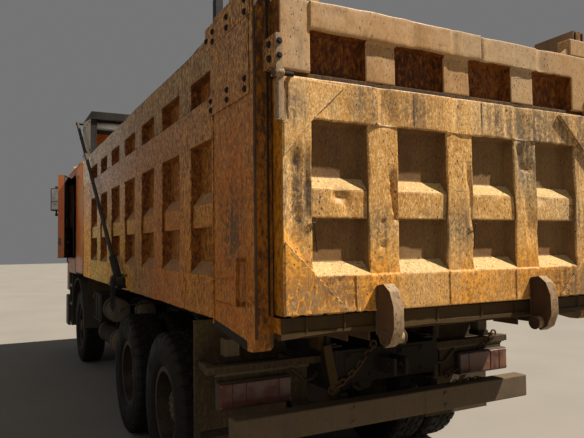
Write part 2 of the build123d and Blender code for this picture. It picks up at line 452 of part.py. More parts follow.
# hoist well: a wedge-shaped cover that stands into the bed over the slot, two cheeks and a sloping lid
cheek_w = prism_y([(X(5805), FLOOR_Z1 - 25), (X(6100), FLOOR_Z1 - 25), (X(6100), 2403), (X(5805), FLOOR_Z1)], WELL_Y + GAP0, WELL_Y + WELL_WALL)
lid = prism_y([(X(5805), FLOOR_Z1 - 25), (X(5830), FLOOR_Z1 - 25), (X(5830), FLOOR_Z1 + 10), (X(6100), 2343), (X(6100), 2403), (X(5805), FLOOR_Z1)], -WELL_Y, WELL_Y)
save("hoist_well", Compound(children=[cheek_w, flip(cheek_w), lid]))

# cover housing over the headboard: two cheeks and a hood, with the rolled cover inside
hood = both(box(X(5520), X(6270), 1176, BED_OUT, EXT_Z1, 3500)) + (box(X(5496), X(6270), -BED_OUT, BED_OUT, 3486, HOOD_Z))
hood = hood + box(X(5612), X(5692), -1180, 1180, 3316, 3356)
save("cover_housing", hood)
save("rolled_cover", cyl_y(X(5682), -1150, 1150, 3419, 62))

# swinging cover frame: two arms, outboard pivots and the cross tube
pivot = cyl_y(ARM_PIVOT_X, 1284, 1336, ARM_PIVOT_Z, 55)
arm = rod((ARM_PIVOT_X, ARM_Y, ARM_PIVOT_Z), (ARM_TIP_X, ARM_Y, ARM_TIP_Z), 21)
cross = cyl_y(ARM_TIP_X, -ARM_Y - 22, ARM_Y + 22, ARM_TIP_Z, 24)
save("cover_arms", join([both(pivot + arm), cross]))
# rope wound round the left arm above its pivot, and the rest of it hung in a hank beside the pivot
WIND = [(ARM_PIVOT_X + 0.8313 * t, ARM_Y, ARM_PIVOT_Z + 0.5559 * t) for t in (60, 436)]
HANK_X, HANK_Y0, HANK_Y1, HANK_Z0, HANK_Z1 = X(3225), 1341.0, 1389.0, 1140.0, 1530.0
hank = rod(WIND[0], WIND[1], 41) + box(HANK_X - 60, HANK_X + 60, HANK_Y0, HANK_Y1, HANK_Z0, HANK_Z1)
save("rope_hank", hank - rod((ARM_PIVOT_X, ARM_Y, ARM_PIVOT_Z), (ARM_TIP_X, ARM_Y, ARM_TIP_Z), 25))

# hoist: trunnioned barrel and three stages; lengths measured up from the trunnion
barrel = cyl_z(HOIST_X, 0, HOIST_Z - 60, HOIST_Z + 1640, 98) - cyl_z(HOIST_X, 0, HOIST_Z - 20, HOIST_Z + 1641, 86)
barrel = barrel + cyl_y(HOIST_X, -160, 160, HOIST_Z, 40) - cyl_z(HOIST_X, 0, HOIST_Z - 20, HOIST_Z + 1641, 86)
save("hoist_barrel", barrel)
# stages: name, outer radius, inner radius, top above the trunnion
STAGES = (("hoist_stage_1", 80, 68, 1680), ("hoist_stage_2", 62, 50, 1720), ("hoist_stage_3", 44, 0, 1860))
for sname, ro, ri, top in STAGES:
    z0 = HOIST_Z + {80: -10, 62: 0, 44: 10}[ro]
    st = cyl_z(HOIST_X, 0, z0, HOIST_Z + top, ro)
    if ri:
        st = st - cyl_z(HOIST_X, 0, z0 - 1, HOIST_Z + top + 1, ri)
    else:
        st = st + cyl_y(HOIST_X, -62, 62, EYE_Z, 60)
    save(sname, st)
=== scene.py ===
import bpy, bmesh, json, math
import numpy as np
from mathutils import Vector, Matrix

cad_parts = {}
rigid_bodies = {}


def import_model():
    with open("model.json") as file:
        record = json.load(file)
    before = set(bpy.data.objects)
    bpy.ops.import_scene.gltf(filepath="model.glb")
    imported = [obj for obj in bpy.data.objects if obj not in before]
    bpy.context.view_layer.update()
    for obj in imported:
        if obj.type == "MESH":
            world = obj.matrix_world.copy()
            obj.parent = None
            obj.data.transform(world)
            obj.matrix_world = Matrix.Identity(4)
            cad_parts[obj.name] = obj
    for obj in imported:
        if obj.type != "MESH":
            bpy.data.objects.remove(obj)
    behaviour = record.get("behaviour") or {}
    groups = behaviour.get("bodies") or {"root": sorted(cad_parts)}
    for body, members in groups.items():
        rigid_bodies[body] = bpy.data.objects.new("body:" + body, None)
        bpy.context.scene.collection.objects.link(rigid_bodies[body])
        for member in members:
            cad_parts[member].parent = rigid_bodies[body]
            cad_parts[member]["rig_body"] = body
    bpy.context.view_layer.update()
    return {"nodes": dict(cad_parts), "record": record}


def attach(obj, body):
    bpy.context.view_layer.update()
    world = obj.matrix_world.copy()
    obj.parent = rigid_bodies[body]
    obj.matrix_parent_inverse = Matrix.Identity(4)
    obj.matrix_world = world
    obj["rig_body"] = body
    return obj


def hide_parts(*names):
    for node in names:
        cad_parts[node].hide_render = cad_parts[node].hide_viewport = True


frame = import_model()
NODES = frame["nodes"]

# ---------------------------------------------------------------- frame of reference
REAR = -4.225                      # x of the tailgate's outer face, metres
def X(v):
    """Millimetres forward of the tailgate's face -> x in metres."""
    return REAR + v * 0.001
def M(v):
    return v * 0.001

SIDES = (("left", 1.0), ("right", -1.0))
SLOT_OF = {q["node"]: q["material_slot"] for q in frame["record"]["subparts"]}
TYRE_R, AXLE_Z = 0.557, 0.557
X_FRONT, X_MID, X_BACK = X(7080), X(3256), X(1900)

# ---------------------------------------------------------------- camera, as in the photograph
CAM_LOC = Vector((-6.694953, 2.369154, 1.779097))
YAW, PITCH, ROLL, FOCAL = -0.476359473, 0.0436087886, -0.0117588941, 575.261825
fw = Vector((math.cos(PITCH) * math.cos(YAW), math.cos(PITCH) * math.sin(YAW), math.sin(PITCH)))
r0 = Vector((math.sin(YAW), -math.cos(YAW), 0.0))
u0 = r0.cross(fw)
cr = math.cos(ROLL) * r0 + math.sin(ROLL) * u0
cu = -math.sin(ROLL) * r0 + math.cos(ROLL) * u0
cam_data = bpy.data.cameras.new("view")
cam_data.sensor_fit = "HORIZONTAL"
cam_data.sensor_width = 36.0
cam_data.lens = FOCAL / 584.0 * 36.0
cam_data.clip_start, cam_data.clip_end = 0.05, 400.0
camera = bpy.data.objects.new("view", cam_data)
camera.matrix_world = Matrix(((cr.x, cu.x, -fw.x, CAM_LOC.x), (cr.y, cu.y, -fw.y, CAM_LOC.y), (cr.z, cu.z, -fw.z, CAM_LOC.z), (0, 0, 0, 1)))
bpy.context.scene.collection.objects.link(camera)
bpy.context.scene.camera = camera

# ---------------------------------------------------------------- number helpers
def hash3(ix, iy, iz, seed):
    n = (ix * 374761393 + iy * 668265263 + iz * 2147483647 + seed * 1274126177) & 0xFFFFFFFF
    n = ((n ^ (n >> 13)) * 1274126177) & 0xFFFFFFFF
    n = (n ^ (n >> 16)) & 0xFFFFFFFF
    return n.astype(np.float64) / 4294967295.0

def vnoise(p, seed=0):
    """Smooth value noise in -1..1 at points p (n,3)."""
    p = np.asarray(p, float)
    i = np.floor(p).astype(np.int64)
    f = p - i
    f = f * f * f * (f * (f * 6 - 15) + 10)
    out = 0.0
    for dx in (0, 1):
        wx = f[:, 0] if dx else 1 - f[:, 0]
        for dy in (0, 1):
            wy = f[:, 1] if dy else 1 - f[:, 1]
            for dz in (0, 1):
                wz = f[:, 2] if dz else 1 - f[:, 2]
                out = out + wx * wy * wz * hash3(i[:, 0] + dx, i[:, 1] + dy, i[:, 2] + dz, seed)
    return out * 2 - 1

def fbm(p, seed=0, octaves=3):
    p = np.asarray(p, float)
    out, amp, tot = 0.0, 1.0, 0.0
    for k in range(octaves):
        out = out + amp * vnoise(p * (2 ** k) + 17.3 * k, seed + k)
        tot += amp
        amp *= 0.5
    return out / tot

def gauss(a, centre, width):
    return np.exp(-((a - centre) / width) ** 2)

def ramp01(a, lo, hi):
    t = np.clip((a - lo) / (hi - lo), 0, 1)
    return t * t * (3 - 2 * t)

def srgb(hexcode):
    h = hexcode.lstrip("#")
    out = []
    for k in (0, 2, 4):
        c = int(h[k:k + 2], 16) / 255.0
        out.append(c / 12.92 if c <= 0.04045 else ((c + 0.055) / 1.055) ** 2.4)
    return (out[0], out[1], out[2], 1.0)

# ---------------------------------------------------------------- material graph helper
class Graph:
    def __init__(self, name):
        self.mat = bpy.data.materials.new(name)
        self.mat.use_nodes = True
        self.t = self.mat.node_tree
        self.t.nodes.clear()
        self.out = self.t.nodes.new("ShaderNodeOutputMaterial")
        self.bsdf = self.t.nodes.new("ShaderNodeBsdfPrincipled")
        self.t.links.new(self.bsdf.outputs[0], self.out.inputs[0])
        self.tc = self.t.nodes.new("ShaderNodeTexCoord")
        self.P = self.tc.outputs["Object"]
    def put(self, sock, v):
        if isinstance(v, bpy.types.NodeSocket):
            self.t.links.new(v, sock)
        elif v is not None:
            sock.default_value = v
    def node(self, kind, ins=None, **props):
        n = self.t.nodes.new(kind)
        for k, v in props.items():
            setattr(n, k, v)
        for k, v in (ins or {}).items():
            self.put(n.inputs[k], v)
        return n
    def math(self, op, a, b=0.0, c=None, clamp=False):
        n = self.t.nodes.new("ShaderNodeMath")
        n.operation, n.use_clamp = op, clamp
        self.put(n.inputs[0], a); self.put(n.inputs[1], b)
        if c is not None:
            self.put(n.inputs[2], c)
        return n.outputs[0]
    def mul(self, a, b, clamp=False): return self.math("MULTIPLY", a, b, clamp=clamp)
    def add(self, a, b, clamp=False): return self.math("ADD", a, b, clamp=clamp)
    def sub(self, a, b, clamp=False): return self.math("SUBTRACT", a, b, clamp=clamp)
    def inv(self, a): return self.math("SUBTRACT", 1.0, a, clamp=True)
    def mapping(self, vec, scale=(1, 1, 1), loc=(0, 0, 0), rot=(0, 0, 0)):
        n = self.t.nodes.new("ShaderNodeMapping")
        self.put(n.inputs["Vector"], vec)
        n.inputs["Scale"].default_value, n.inputs["Location"].default_value, n.inputs["Rotation"].default_value = scale, loc, rot
        return n.outputs[0]
    def noise(self, vec, scale, detail=4.0, rough=0.55, dist=0.0):
        n = self.t.nodes.new("ShaderNodeTexNoise")
        self.put(n.inputs["Vector"], vec)
        n.inputs["Scale"].default_value, n.inputs["Detail"].default_value = scale, detail
        n.inputs["Roughness"].default_value, n.inputs["Distortion"].default_value = rough, dist
        return n.outputs[0]
    def voronoi(self, vec, scale, feature="F1", rnd=1.0, out="Distance"):
        n = self.t.nodes.new("ShaderNodeTexVoronoi")
        n.feature = feature
        self.put(n.inputs["Vector"], vec)
        n.inputs["Scale"].default_value, n.inputs["Randomness"].default_value = scale, rnd
        return n.outputs[out]
    def range(self, v, lo, hi, a=0.0, b=1.0, smooth=True):
        n = self.t.nodes.new("ShaderNodeMapRange")
        n.interpolation_type = "SMOOTHSTEP" if smooth else "LINEAR"
        self.put(n.inputs[0], v)
        for k, x in zip((1, 2, 3, 4), (lo, hi, a, b)):
            n.inputs[k].default_value = x
        return n.outputs[0]
    def ramp(self, v, stops, interp="LINEAR"):
        n = self.t.nodes.new("ShaderNodeValToRGB")
        n.color_ramp.interpolation = interp
        self.put(n.inputs[0], v)
        e = n.color_ramp.elements
        while len(e) < len(stops):
            e.new(0.5)
        for el, (p, c) in zip(e, stops):
            el.position = p
            el.color = srgb(c) if isinstance(c, str) else c
        return n.outputs[0]
    def mix(self, f, a, b, blend="MIX"):
        n = self.t.nodes.new("ShaderNodeMix")
        n.data_type, n.blend_type, n.clamp_factor = "RGBA", blend, True
        self.put(n.inputs[0], f)
        self.put(n.inputs[6], srgb(a) if isinstance(a, str) else a)
        self.put(n.inputs[7], srgb(b) if isinstance(b, str) else b)
        return n.outputs[2]
    def split(self, vec):
        n = self.t.nodes.new("ShaderNodeSeparateXYZ")
        self.put(n.inputs[0], vec)
        return n.outputs
    def normal(self):
        return self.split(self.t.nodes.new("ShaderNodeNewGeometry").outputs["Normal"])
    def pointy(self):
        return self.t.nodes.new("ShaderNodeNewGeometry").outputs["Pointiness"]
    def attr(self, name):
        n = self.t.nodes.new("ShaderNodeAttribute")
        n.attribute_name = name
        return n.outputs["Fac"]
    def edge(self, radius=0.006, samples=4):
        """1 on edges (convex or not), 0 on flats."""
        b = self.t.nodes.new("ShaderNodeBevel")
        b.samples = samples
        b.inputs["Radius"].default_value = radius
        g = self.t.nodes.new("ShaderNodeNewGeometry")
        d = self.t.nodes.new("ShaderNodeVectorMath")
        d.operation = "DOT_PRODUCT"
        self.t.links.new(b.outputs[0], d.inputs[0]); self.t.links.new(g.outputs["Normal"], d.inputs[1])
        return self.range(d.outputs["Value"], 0.98, 0.80)
    def spot(self, centre, radius, soft=0.5):
        """1 within radius of a point, falling to 0."""
        n = self.t.nodes.new("ShaderNodeVectorMath")
        n.operation = "DISTANCE"
        self.put(n.inputs[0], self.P)
        n.inputs[1].default_value = centre
        return self.range(n.outputs["Value"], radius * (1 + soft), radius * (1 - soft))
    def bump(self, height, strength=0.3, distance=0.005, normal=None):
        n = self.t.nodes.new("ShaderNodeBump")
        n.inputs["Strength"].default_value, n.inputs["Distance"].default_value = strength, distance
        self.put(n.inputs["Height"], height)
        if normal is not None:
            self.put(n.inputs["Normal"], normal)
        return n.outputs[0]
    def finish(self, color=None, rough=None, metal=None, normal=None, **consts):
        b = self.bsdf
        self.put(b.inputs["Base Color"], color)
        self.put(b.inputs["Roughness"], rough)
        self.put(b.inputs["Metallic"], metal)
        if normal is not None:
            self.put(b.inputs["Normal"], normal)
        for k, v in consts.items():
            b.inputs[k.replace("_", " ")].default_value = v
        return self.mat

# ---------------------------------------------------------------- materials
def painted(name, paints, dust, grime, rust="#5a3219", dust_amt=0.55, rust_amt=0.35, speck=0.7, streak=0.5, low=None, edge=0.6, edge_col="#c9a878",
            chips=(), stains_and_painted_shade=(), rough=0.55, bumpy=0.25, fade=None, grain=None, chip_amt=1.0, washed=(), wash_col="#c2701c", stain_col="#54483d", tint_and_painted_light=(),
            coarse=1.0, spec=0.28):
    """Old working paint: patchy colour, dust, grime runs, tar specks, scratches, chipped and rusty spots, a pale edge
    line that is partly painted highlight, and tints, some of which add painted light on the left face.
    chips and stain spots are (centre, radius) places in the object's frame with more paint loss or dirt; some stain
    spots are painted shade in creases and beside a pivot."""
    g = Graph(name)
    P = g.P
    big = g.noise(P, 0.8, 5, 0.6, 0.4)
    mid = g.noise(P, 4.5, 7, 0.68, 0.3)
    fine = g.noise(P, 42, 6, 0.72)
    runs = g.noise(g.mapping(P, (26, 26, 1.3)), 1.0, 6, 0.62, 0.35)
    runs2 = g.noise(g.mapping(P, (9, 9, 0.7), (3, 1, 2)), 1.0, 5, 0.6, 0.2)
    tone = g.add(g.mul(big, 0.45), g.add(g.mul(mid, 0.35), g.mul(runs, 0.2)))
    n = len(paints)
    lo, hi = 0.36, 0.64
    col = g.ramp(tone, [(lo + (hi - lo) * k / (n - 1), c) for k, c in enumerate(paints)])
    nx = g.normal()
    up = g.range(nx[2], 0.25, 0.9)
    # dust lies on what faces up, and hangs in patches elsewhere
    patch = g.range(g.add(g.mul(big, 0.5), g.mul(g.add(runs2, fine), 0.25)), 0.44, 0.60)
    dusty = g.mul(g.add(g.mul(patch, dust_amt), g.mul(up, 0.75), clamp=True), 1.0, clamp=True)
    dustc = g.mix(fine, dust, g_shade(dust, 0.78))
    col = g.mix(dusty, col, dustc)
    if fade is not None:                     # weathered above z0, fully from z1
        z0, z1, fc, fa = fade
        h = g.add(g.split(P)[2], g.mul(g.sub(mid, 0.5), 0.7))
        col = g.mix(g.mul(g.range(h, z0, z1), fa), col, g.mix(fine, fc, g_shade(fc, 0.8)))
    if grain is not None:                    # short upright mottling, as of rain in dust
        ga, gc, gl = grain
        gn = g.noise(g.mapping(P, (54 * coarse, 54 * coarse, 27 * coarse)), 1.0, 4, 0.68, 0.4)
        gn2 = g.noise(g.mapping(P, (23 * coarse, 23 * coarse, 12 * coarse), (5, 2, 1)), 1.0, 4, 0.62, 0.3)
        gm = g.add(g.mul(gn, 0.74), g.mul(gn2, 0.26))
        col = g.mix(g.mul(g.range(gm, 0.505, 0.575), ga), col, gc)
        col = g.mix(g.mul(g.range(gm, 0.475, 0.405), ga * 0.85), col, gl)
    for c, r in washed:                      # rain has washed these places down to the paint
        wv = g.mul(g.spot(c, r, 0.9), g.range(g.add(g.mul(runs, 0.5), g.mul(mid, 0.5)), 0.38, 0.58))
        col = g.mix(g.mul(wv, 0.85), col, g.mix(g.range(fine, 0.40, 0.60), wash_col, g_shade(wash_col, 0.62)))
    # grime that has run down
    run = g.range(g.add(g.mul(runs, 0.6), g.mul(mid, 0.4)), 0.53, 0.70)
    col = g.mix(g.mul(run, streak), col, grime)
    if low is not None:                      # splashed from below: z where it starts and ends, and its colour
        z0, z1, lc, la = low
        h = g.add(g.split(P)[2], g.mul(g.sub(mid, 0.5), 0.5))
        splash = g.range(h, z1, z0)
        col = g.mix(g.mul(splash, la), col, g.mix(fine, lc, g_shade(lc, 0.7)))
    # rust blooms and chipped places
    bloom = g.range(g.add(g.mul(mid, 0.55), g.add(g.mul(fine, 0.25), g.mul(runs, 0.2))), 0.60, 0.68)
    worn = g.mul(bloom, rust_amt)
    # stain spots: dirt, and at some places painted shade laid into creases and beside a pivot
    for c, r in stains_and_painted_shade:
        sv = g.mul(g.spot(c, r, 0.9), g.range(g.add(g.mul(runs, 0.55), g.mul(fine, 0.45)), 0.40, 0.58))
        col = g.mix(g.mul(sv, 0.86), col, g.mix(fine, stain_col, g_shade(stain_col, 0.55)))
    rustc = g.mix(g.range(fine, 0.4, 0.62), rust, g_shade(rust, 1.45))
    col = g.mix(worn, col, rustc)
    chipf = None
    if chips:
        area = None
        for c, r in chips:
            s = g.spot(c, r, 0.6)
            area = s if area is None else g.math("MAXIMUM", area, s)
        cells = g.voronoi(g.mapping(P, (1, 1, 0.55)), 24, "DISTANCE_TO_EDGE")
        chipf = g.mul(g.mul(area, chip_amt), g.range(g.add(g.mul(mid, 0.45), g.add(g.mul(fine, 0.45), g.mul(cells, 0.8))), 0.47, 0.53))
        col = g.mix(chipf, col, g.ramp(fine, [(0.35, "#33231a"), (0.5, "#654c38"), (0.62, "#a08c74")]))
    # tar and rust specks, two sizes
    up_long = g.mapping(P, (1.25, 1.25, 0.7))
    v = g.voronoi(up_long, 44, "F1")
    vr = g.voronoi(up_long, 44, "F1", out="Color")
    size = g.range(g.split(vr)[0], 0.25, 1.0, 0.0, 0.27, smooth=False)
    dots = g.mul(g.math("LESS_THAN", v, size), g.range(mid, 0.30, 0.54))
    v2 = g.voronoi(P, 150, "F1")
    dots2 = g.mul(g.math("LESS_THAN", v2, 0.20), g.range(big, 0.3, 0.7))
    col = g.mix(g.mul(g.math("MAXIMUM", dots, g.mul(dots2, 0.7)), speck), col, "#43290f")
    # long scrapes
    scr = g.noise(g.mapping(P, (3.0, 3.0, 55), rot=(0.5, 0.35, 0.2)), 1.0, 3, 0.5, 0.6)
    scr2 = g.noise(g.mapping(P, (60, 60, 2.2), rot=(-0.35, 0.3, 0)), 1.0, 3, 0.5, 0.4)
    scrape = g.mul(g.math("MAXIMUM", g.range(scr, 0.685, 0.70), g.range(scr2, 0.70, 0.715)), g.range(mid, 0.45, 0.6))
    col = g.mix(g.mul(scrape, 0.55), col, "#54402c")
    # edges: a pale line, part rubbed paint and part painted highlight, with grime on some of them
    e = g.edge(0.007, 4)
    rubbed_edge_and_highlight = g.mul(g.mul(e, edge), g.range(g.add(g.mul(fine, 0.5), g.mul(mid, 0.5)), 0.40, 0.56))
    col = g.mix(rubbed_edge_and_highlight, col, g.mix(g.range(fine, 0.45, 0.6), edge_col, grime))
    for axis, a0, a1, c0, c1, *left in tint_and_painted_light:  # the colour is multiplied from c0 to c1 along an axis; entries limited to the left side's outer face are painted light that lifts that shaded face
        f = g.range(g.split(P)[axis], a0, a1)
        if left:
            f = g.mul(f, g.range(g.split(P)[1], 1.18, 1.22))
        col = g.mix(1.0, col, g.mix(f, (*c0, 1.0), (*c1, 1.0)), "MULTIPLY")
    rg = g.range(g.add(g.mul(mid, 0.5), g.mul(dusty, 0.5)), 0.2, 0.9, rough - 0.12, rough + 0.3, smooth=False)
    h = g.add(g.mul(fine, 0.5), g.add(g.mul(mid, 0.7), g.mul(dots, 0.5)))
    h = g.sub(h, g.mul(scrape, 0.6))
    if chipf is not None:
        h = g.sub(h, g.mul(chipf, 0.8))
    return g.finish(color=col, rough=rg, normal=g.bump(h, bumpy, 0.004), Metallic=0.0, Specular_IOR_Level=spec)

def g_shade(hexcode, k):
    """A hex colour made darker (k < 1) or lighter."""
    h = hexcode.lstrip("#")
    v = [min(255, int(int(h[i:i + 2], 16) * k)) for i in (0, 2, 4)]
    return "#%02x%02x%02x" % tuple(v)

mat_gate = painted("paint_gate", ["#98662e", "#b98340", "#cd9a56", "#d6ab6e"], "#bc9c70", "#66492e", dust_amt=0.55, rust_amt=0.22, speck=0.95, streak=0.50,
                   chips=(((X(0), 1.05, 1.47), 0.15), ((X(0), 0.80, 1.45), 0.12), ((X(0), -1.02, 1.47), 0.10)), chip_amt=0.6,
                   # the stain spots at y 1.045 to 1.07 darken the left column's crease: painted shade there, with dirt
                   stains_and_painted_shade=(((X(0), 0.62, 2.52), 0.13), ((X(0), 0.30, 2.50), 0.12), ((X(0), -0.30, 2.5), 0.12), ((X(0), -0.60, 2.47), 0.20), ((X(0), -0.98, 2.45), 0.22), ((X(10), 1.07, 2.05), 0.16), ((X(0), 1.10, 2.46), 0.08), ((X(0), 0.56, 1.86), 0.10), ((X(20), 1.045, 2.18), 0.04), ((X(20), 1.05, 2.04), 0.05), ((X(20), 1.05, 1.90), 0.07),
                           ((X(0), 0.86, 1.57), 0.10), ((X(0), 0.03, 1.86), 0.14), ((X(0), -0.9, 1.5), 0.16), ((X(10), -0.54, 2.2), 0.14), ((X(0), -1.05, 1.9), 0.14)),
                   washed=(((X(0), 0.53, 1.68), 0.12), ((X(0), 1.12, 1.78), 0.10), ((X(0), 1.02, 1.56), 0.24), ((X(0), 0.62, 1.50), 0.18), ((X(0), -0.05, 1.50), 0.22), ((X(0), -0.75, 1.48), 0.20),
                           ((X(0), -0.53, 1.66), 0.10)), wash_col="#ea9c2e",
                   coarse=2.1, grain=(0.50, "#70481e", "#f2cf94"), edge=0.75, edge_col="#ecd0a0", tint_and_painted_light=((2, 1.58, 1.80, (1.04, 1.04, 1.0), (1.13, 1.25, 1.42)),))
# darker coat for the gate's hollows: dirt, and painted shade in the recesses
mat_deep_dirt_and_shade = painted("gate_hollows_dirt_and_shade", ["#5f4428", "#74532f", "#82623a", "#8d6e46"], "#8c714a", "#46331f", rust="#5c3414", dust_amt=0.45, rust_amt=0.4, speck=0.7, streak=0.55, rough=0.8,
                   coarse=2.1, grain=(0.30, "#4a341d", "#987d54"), edge=0.3, edge_col="#8f7553")
mat_ledge = painted("gate_ledges", ["#a98248", "#bf985c", "#cba76c", "#d3b27c"], "#cdb07c", "#8a6c44", dust_amt=0.6, rust_amt=0.15, speck=0.9, streak=0.2, rough=0.8,
                    coarse=2.1, grain=(0.42, "#80602f", "#ecd29c"), edge=0.5, edge_col="#ead0a0")
mat_top = painted("paint_gate_top", ["#86623a", "#a67d4d", "#b68e5d", "#c09b6c"], "#ae9675", "#62503f", dust_amt=0.65, rust_amt=0.35, speck=0.85, streak=0.55,
                  coarse=1.8, grain=(0.30, "#6a4e33", "#bda07a"), edge=0.6, edge_col="#c9ab83")
mat_body = painted("paint_body", ["#82501a", "#a2681f", "#ba7c2a", "#c08c3a"], "#9a7a52", "#4e3214", dust_amt=0.42, rust_amt=0.35, speck=0.6, streak=0.5,
                   # the wide stain spot 2.6 m forward is painted shadow beside the cover arm's pivot, with grime
                   stains_and_painted_shade=(((X(400), 1.25, 1.93), 0.14), ((X(420), 1.25, 1.80), 0.10), ((X(2600), 1.25, 1.47), 0.38)), fade=(1.75, 2.75, "#937659", 0.75), grain=(0.85, "#4a2a0a", "#d29c50"), edge=0.6,
                   washed=(((X(420), 1.25, 1.50), 0.40), ((X(400), 1.25, 2.2), 0.30), ((X(1900), 1.25, 1.46), 0.55), ((X(420), -1.25, 1.50), 0.40), ((X(1900), -1.25, 1.46), 0.55)), wash_col="#b8681a",
                   # tints limited to the left face (entries ending in 1) lift its forward part: painted light on that
                   # shaded face
                   edge_col="#c3a27a", rough=0.66, coarse=1.4, tint_and_painted_light=((2, 1.55, 2.35, (1.08, 0.92, 0.48), (1.12, 1.05, 1.18)), (0, X(300), X(1900), (1.0, 1.0, 0.80), (1.0, 1.0, 1.0)), (0, X(1900), X(5600), (1.0, 1.0, 1.0), (1.9, 3.0, 6.4), 1), (0, X(5470), X(5530), (1.0, 1.0, 1.0), (1.35, 1.10, 0.85), 1)))
# dark coats for the hollows of the sides and the upper gate, and for the hollows' backs: rust and dirt, and painted
# shade in the recesses
mat_recess_dirt_and_shade = painted("side_hollows_dirt_and_shade", ["#3f1f04", "#602f05", "#804607", "#915a0d"], "#6d4c22", "#2a1604", rust="#3a1a08", dust_amt=0.12, rust_amt=0.75, speck=0.95, streak=0.75, rough=0.75,
                     grain=(0.7, "#281203", "#9c6214"), edge=0.3, edge_col="#94703c")
mat_sideback_dirt_and_shade = painted("side_hollow_backs_dirt_and_shade", ["#633709", "#7a4710", "#925c1a", "#a06a26"], "#7c5a30", "#3a2208", rust="#4a240a", dust_amt=0.25, rust_amt=0.55, speck=0.9, streak=0.65, rough=0.75,
                       grain=(0.7, "#3a1d06", "#b98a3c"), edge=0.3, edge_col="#94703c", tint_and_painted_light=((0, X(1900), X(5600), (1.0, 0.90, 0.62), (1.2, 1.2, 1.2)),))
mat_slope = painted("side_ledges", ["#8c5c30", "#9c6a3a", "#ab7a48", "#b48654"], "#aa7e54", "#5f4128", rust="#5a3219", dust_amt=0.5, rust_amt=0.15, speck=0.4, streak=0.15, rough=0.85,
                    grain=(0.35, "#5d4434", "#b39a82"), edge=0.4, edge_col="#b89c80")
# tints lift the extension's left outer face towards the front: painted light on that shaded face
mat_ext = painted("paint_extension", ["#725230", "#8c6a46", "#9e7d54", "#a88a68"], "#9c8468", "#4e3a26", dust_amt=0.6, rust_amt=0.35, speck=0.6, streak=0.5, grain=(0.85, "#452c14", "#c2a276"),
                  edge=0.6, edge_col="#bfa27c", rough=0.7, tint_and_painted_light=((0, X(1900), X(5600), (1.0, 1.0, 1.0), (2.2, 3.0, 5.6), 1), (0, X(5480), X(5540), (1.0, 1.0, 1.0), (1.45, 1.5, 1.45), 1)), coarse=1.4)
# darker coat for the corners' rear faces and the upper gate's end faces: painted shade, with dirt
mat_cornerback_dirt_and_shade = painted("corner_back_dirt_and_shade", ["#56330a", "#754407", "#945808", "#a2680e"], "#674a1c", "#2a1a06", dust_amt=0.18, rust_amt=0.6, speck=0.85, streak=0.8, rough=0.7, grain=(0.7, "#2c1804", "#a86a10"),
                         fade=(1.9, 2.6, "#4a3826", 0.5), bumpy=0.5)
# darker coat for the lower gate's end faces: painted shade on those faces
mat_gateside_shade = painted("gate_side_shade", ["#6e4514", "#945a0f", "#b6710f", "#c5821c"], "#84632c", "#3a230b", dust_amt=0.2, rust_amt=0.6, speck=0.85, streak=0.8, rough=0.7, grain=(0.6, "#402606", "#c8861c"), bumpy=0.5)
mat_inner = painted("bed_inside", ["#6b5138", "#7d6148", "#8f7355", "#9a8062"], "#9c8465", "#54412f", dust_amt=0.8, rust_amt=0.5, speck=0.4, streak=0.6, rough=0.7)
# the tint lifts the rear of the cab's left side: painted light on that shaded face
mat_cab = painted("paint_cab", ["#ae5423", "#c0642b", "#cc7435", "#d28146"], "#b28b68", "#6a4126", dust_amt=0.55, tint_and_painted_light=((0, X(7400), X(7000), (1.0, 1.0, 1.0), (1.5, 1.8, 2.1), 1),), spec=0.4, rust_amt=0.10, speck=0.35, streak=0.35, rough=0.42,
                  edge=0.35, edge_col="#bd9470", low=(1.1, 1.9, "#5f4434", 0.75))
mat_chassis = painted("chassis_dirt", ["#120f0c", "#181410", "#1e1914", "#262019"], "#33291f", "#0f0c09", rust="#21140c", dust_amt=0.55, rust_amt=0.35, speck=0.3, streak=0.4,
                      rough=0.85, edge=0.35, edge_col="#5d503f", bumpy=0.6)
mat_under = painted("bed_under", ["#2c1e08", "#37260b", "#42300f", "#4c3815"], "#54401c", "#1a1206", dust_amt=0.5, rust_amt=0.4, speck=0.4, streak=0.5, rough=0.8, edge=0.5,
                    edge_col="#6e5638", bumpy=0.5)
mat_bar = painted("bar_dust", ["#453928", "#524434", "#5e4f3d", "#685946"], "#6b5a44", "#2c2217", dust_amt=0.8, rust_amt=0.3, speck=0.6, streak=0.35, rough=0.85, edge=0.5,
                  edge_col="#a08b6c", bumpy=0.45)
mat_strap = painted("strap_steel", ["#6e5236", "#82684a", "#94795a", "#9c8466"], "#9f8a6e", "#46351f", dust_amt=0.5, rust_amt=0.6, speck=0.8, streak=0.5, rough=0.7, bumpy=0.5, grain=(0.4, "#4b331d", "#b09470"),
                    edge=0.7, edge_col="#c9b493")
mat_rust = painted("rusty_steel", ["#2a1b0f", "#3a2415", "#4d321a", "#5d3e22"], "#6e5940", "#20150c", dust_amt=0.35, rust_amt=0.8, speck=0.5, streak=0.3, rough=0.8, edge=0.6,
                   edge_col="#93795a", bumpy=0.6)
mat_black = painted("black_plastic", ["#141316", "#19181b", "#1e1d20", "#242225"], "#463c32", "#0e0d0f", rust="#2a2520", dust_amt=0.3, rust_amt=0.1, speck=0.2, streak=0.2,
                    rough=0.6, edge=0.3, edge_col="#4b4744", low=(0.6, 1.7, "#5a4d3f", 0.6))

# dark coat for the bar in the gap between the gates, painted shade; the stop angles take it too
mat_gap_shade = painted("gate_gap", ["#2a1a08", "#3d260b", "#4e3310", "#5a3c14"], "#5c4522", "#150d05", rust="#331a08", dust_amt=0.3, rust_amt=0.5, speck=0.5, streak=0.6, rough=0.85, edge=0.4, bumpy=0.4, grain=(0.6, "#1c1106", "#7a5420"))

# ---------------------------------------------------------------- mesh helpers
COLL = bpy.context.scene.collection

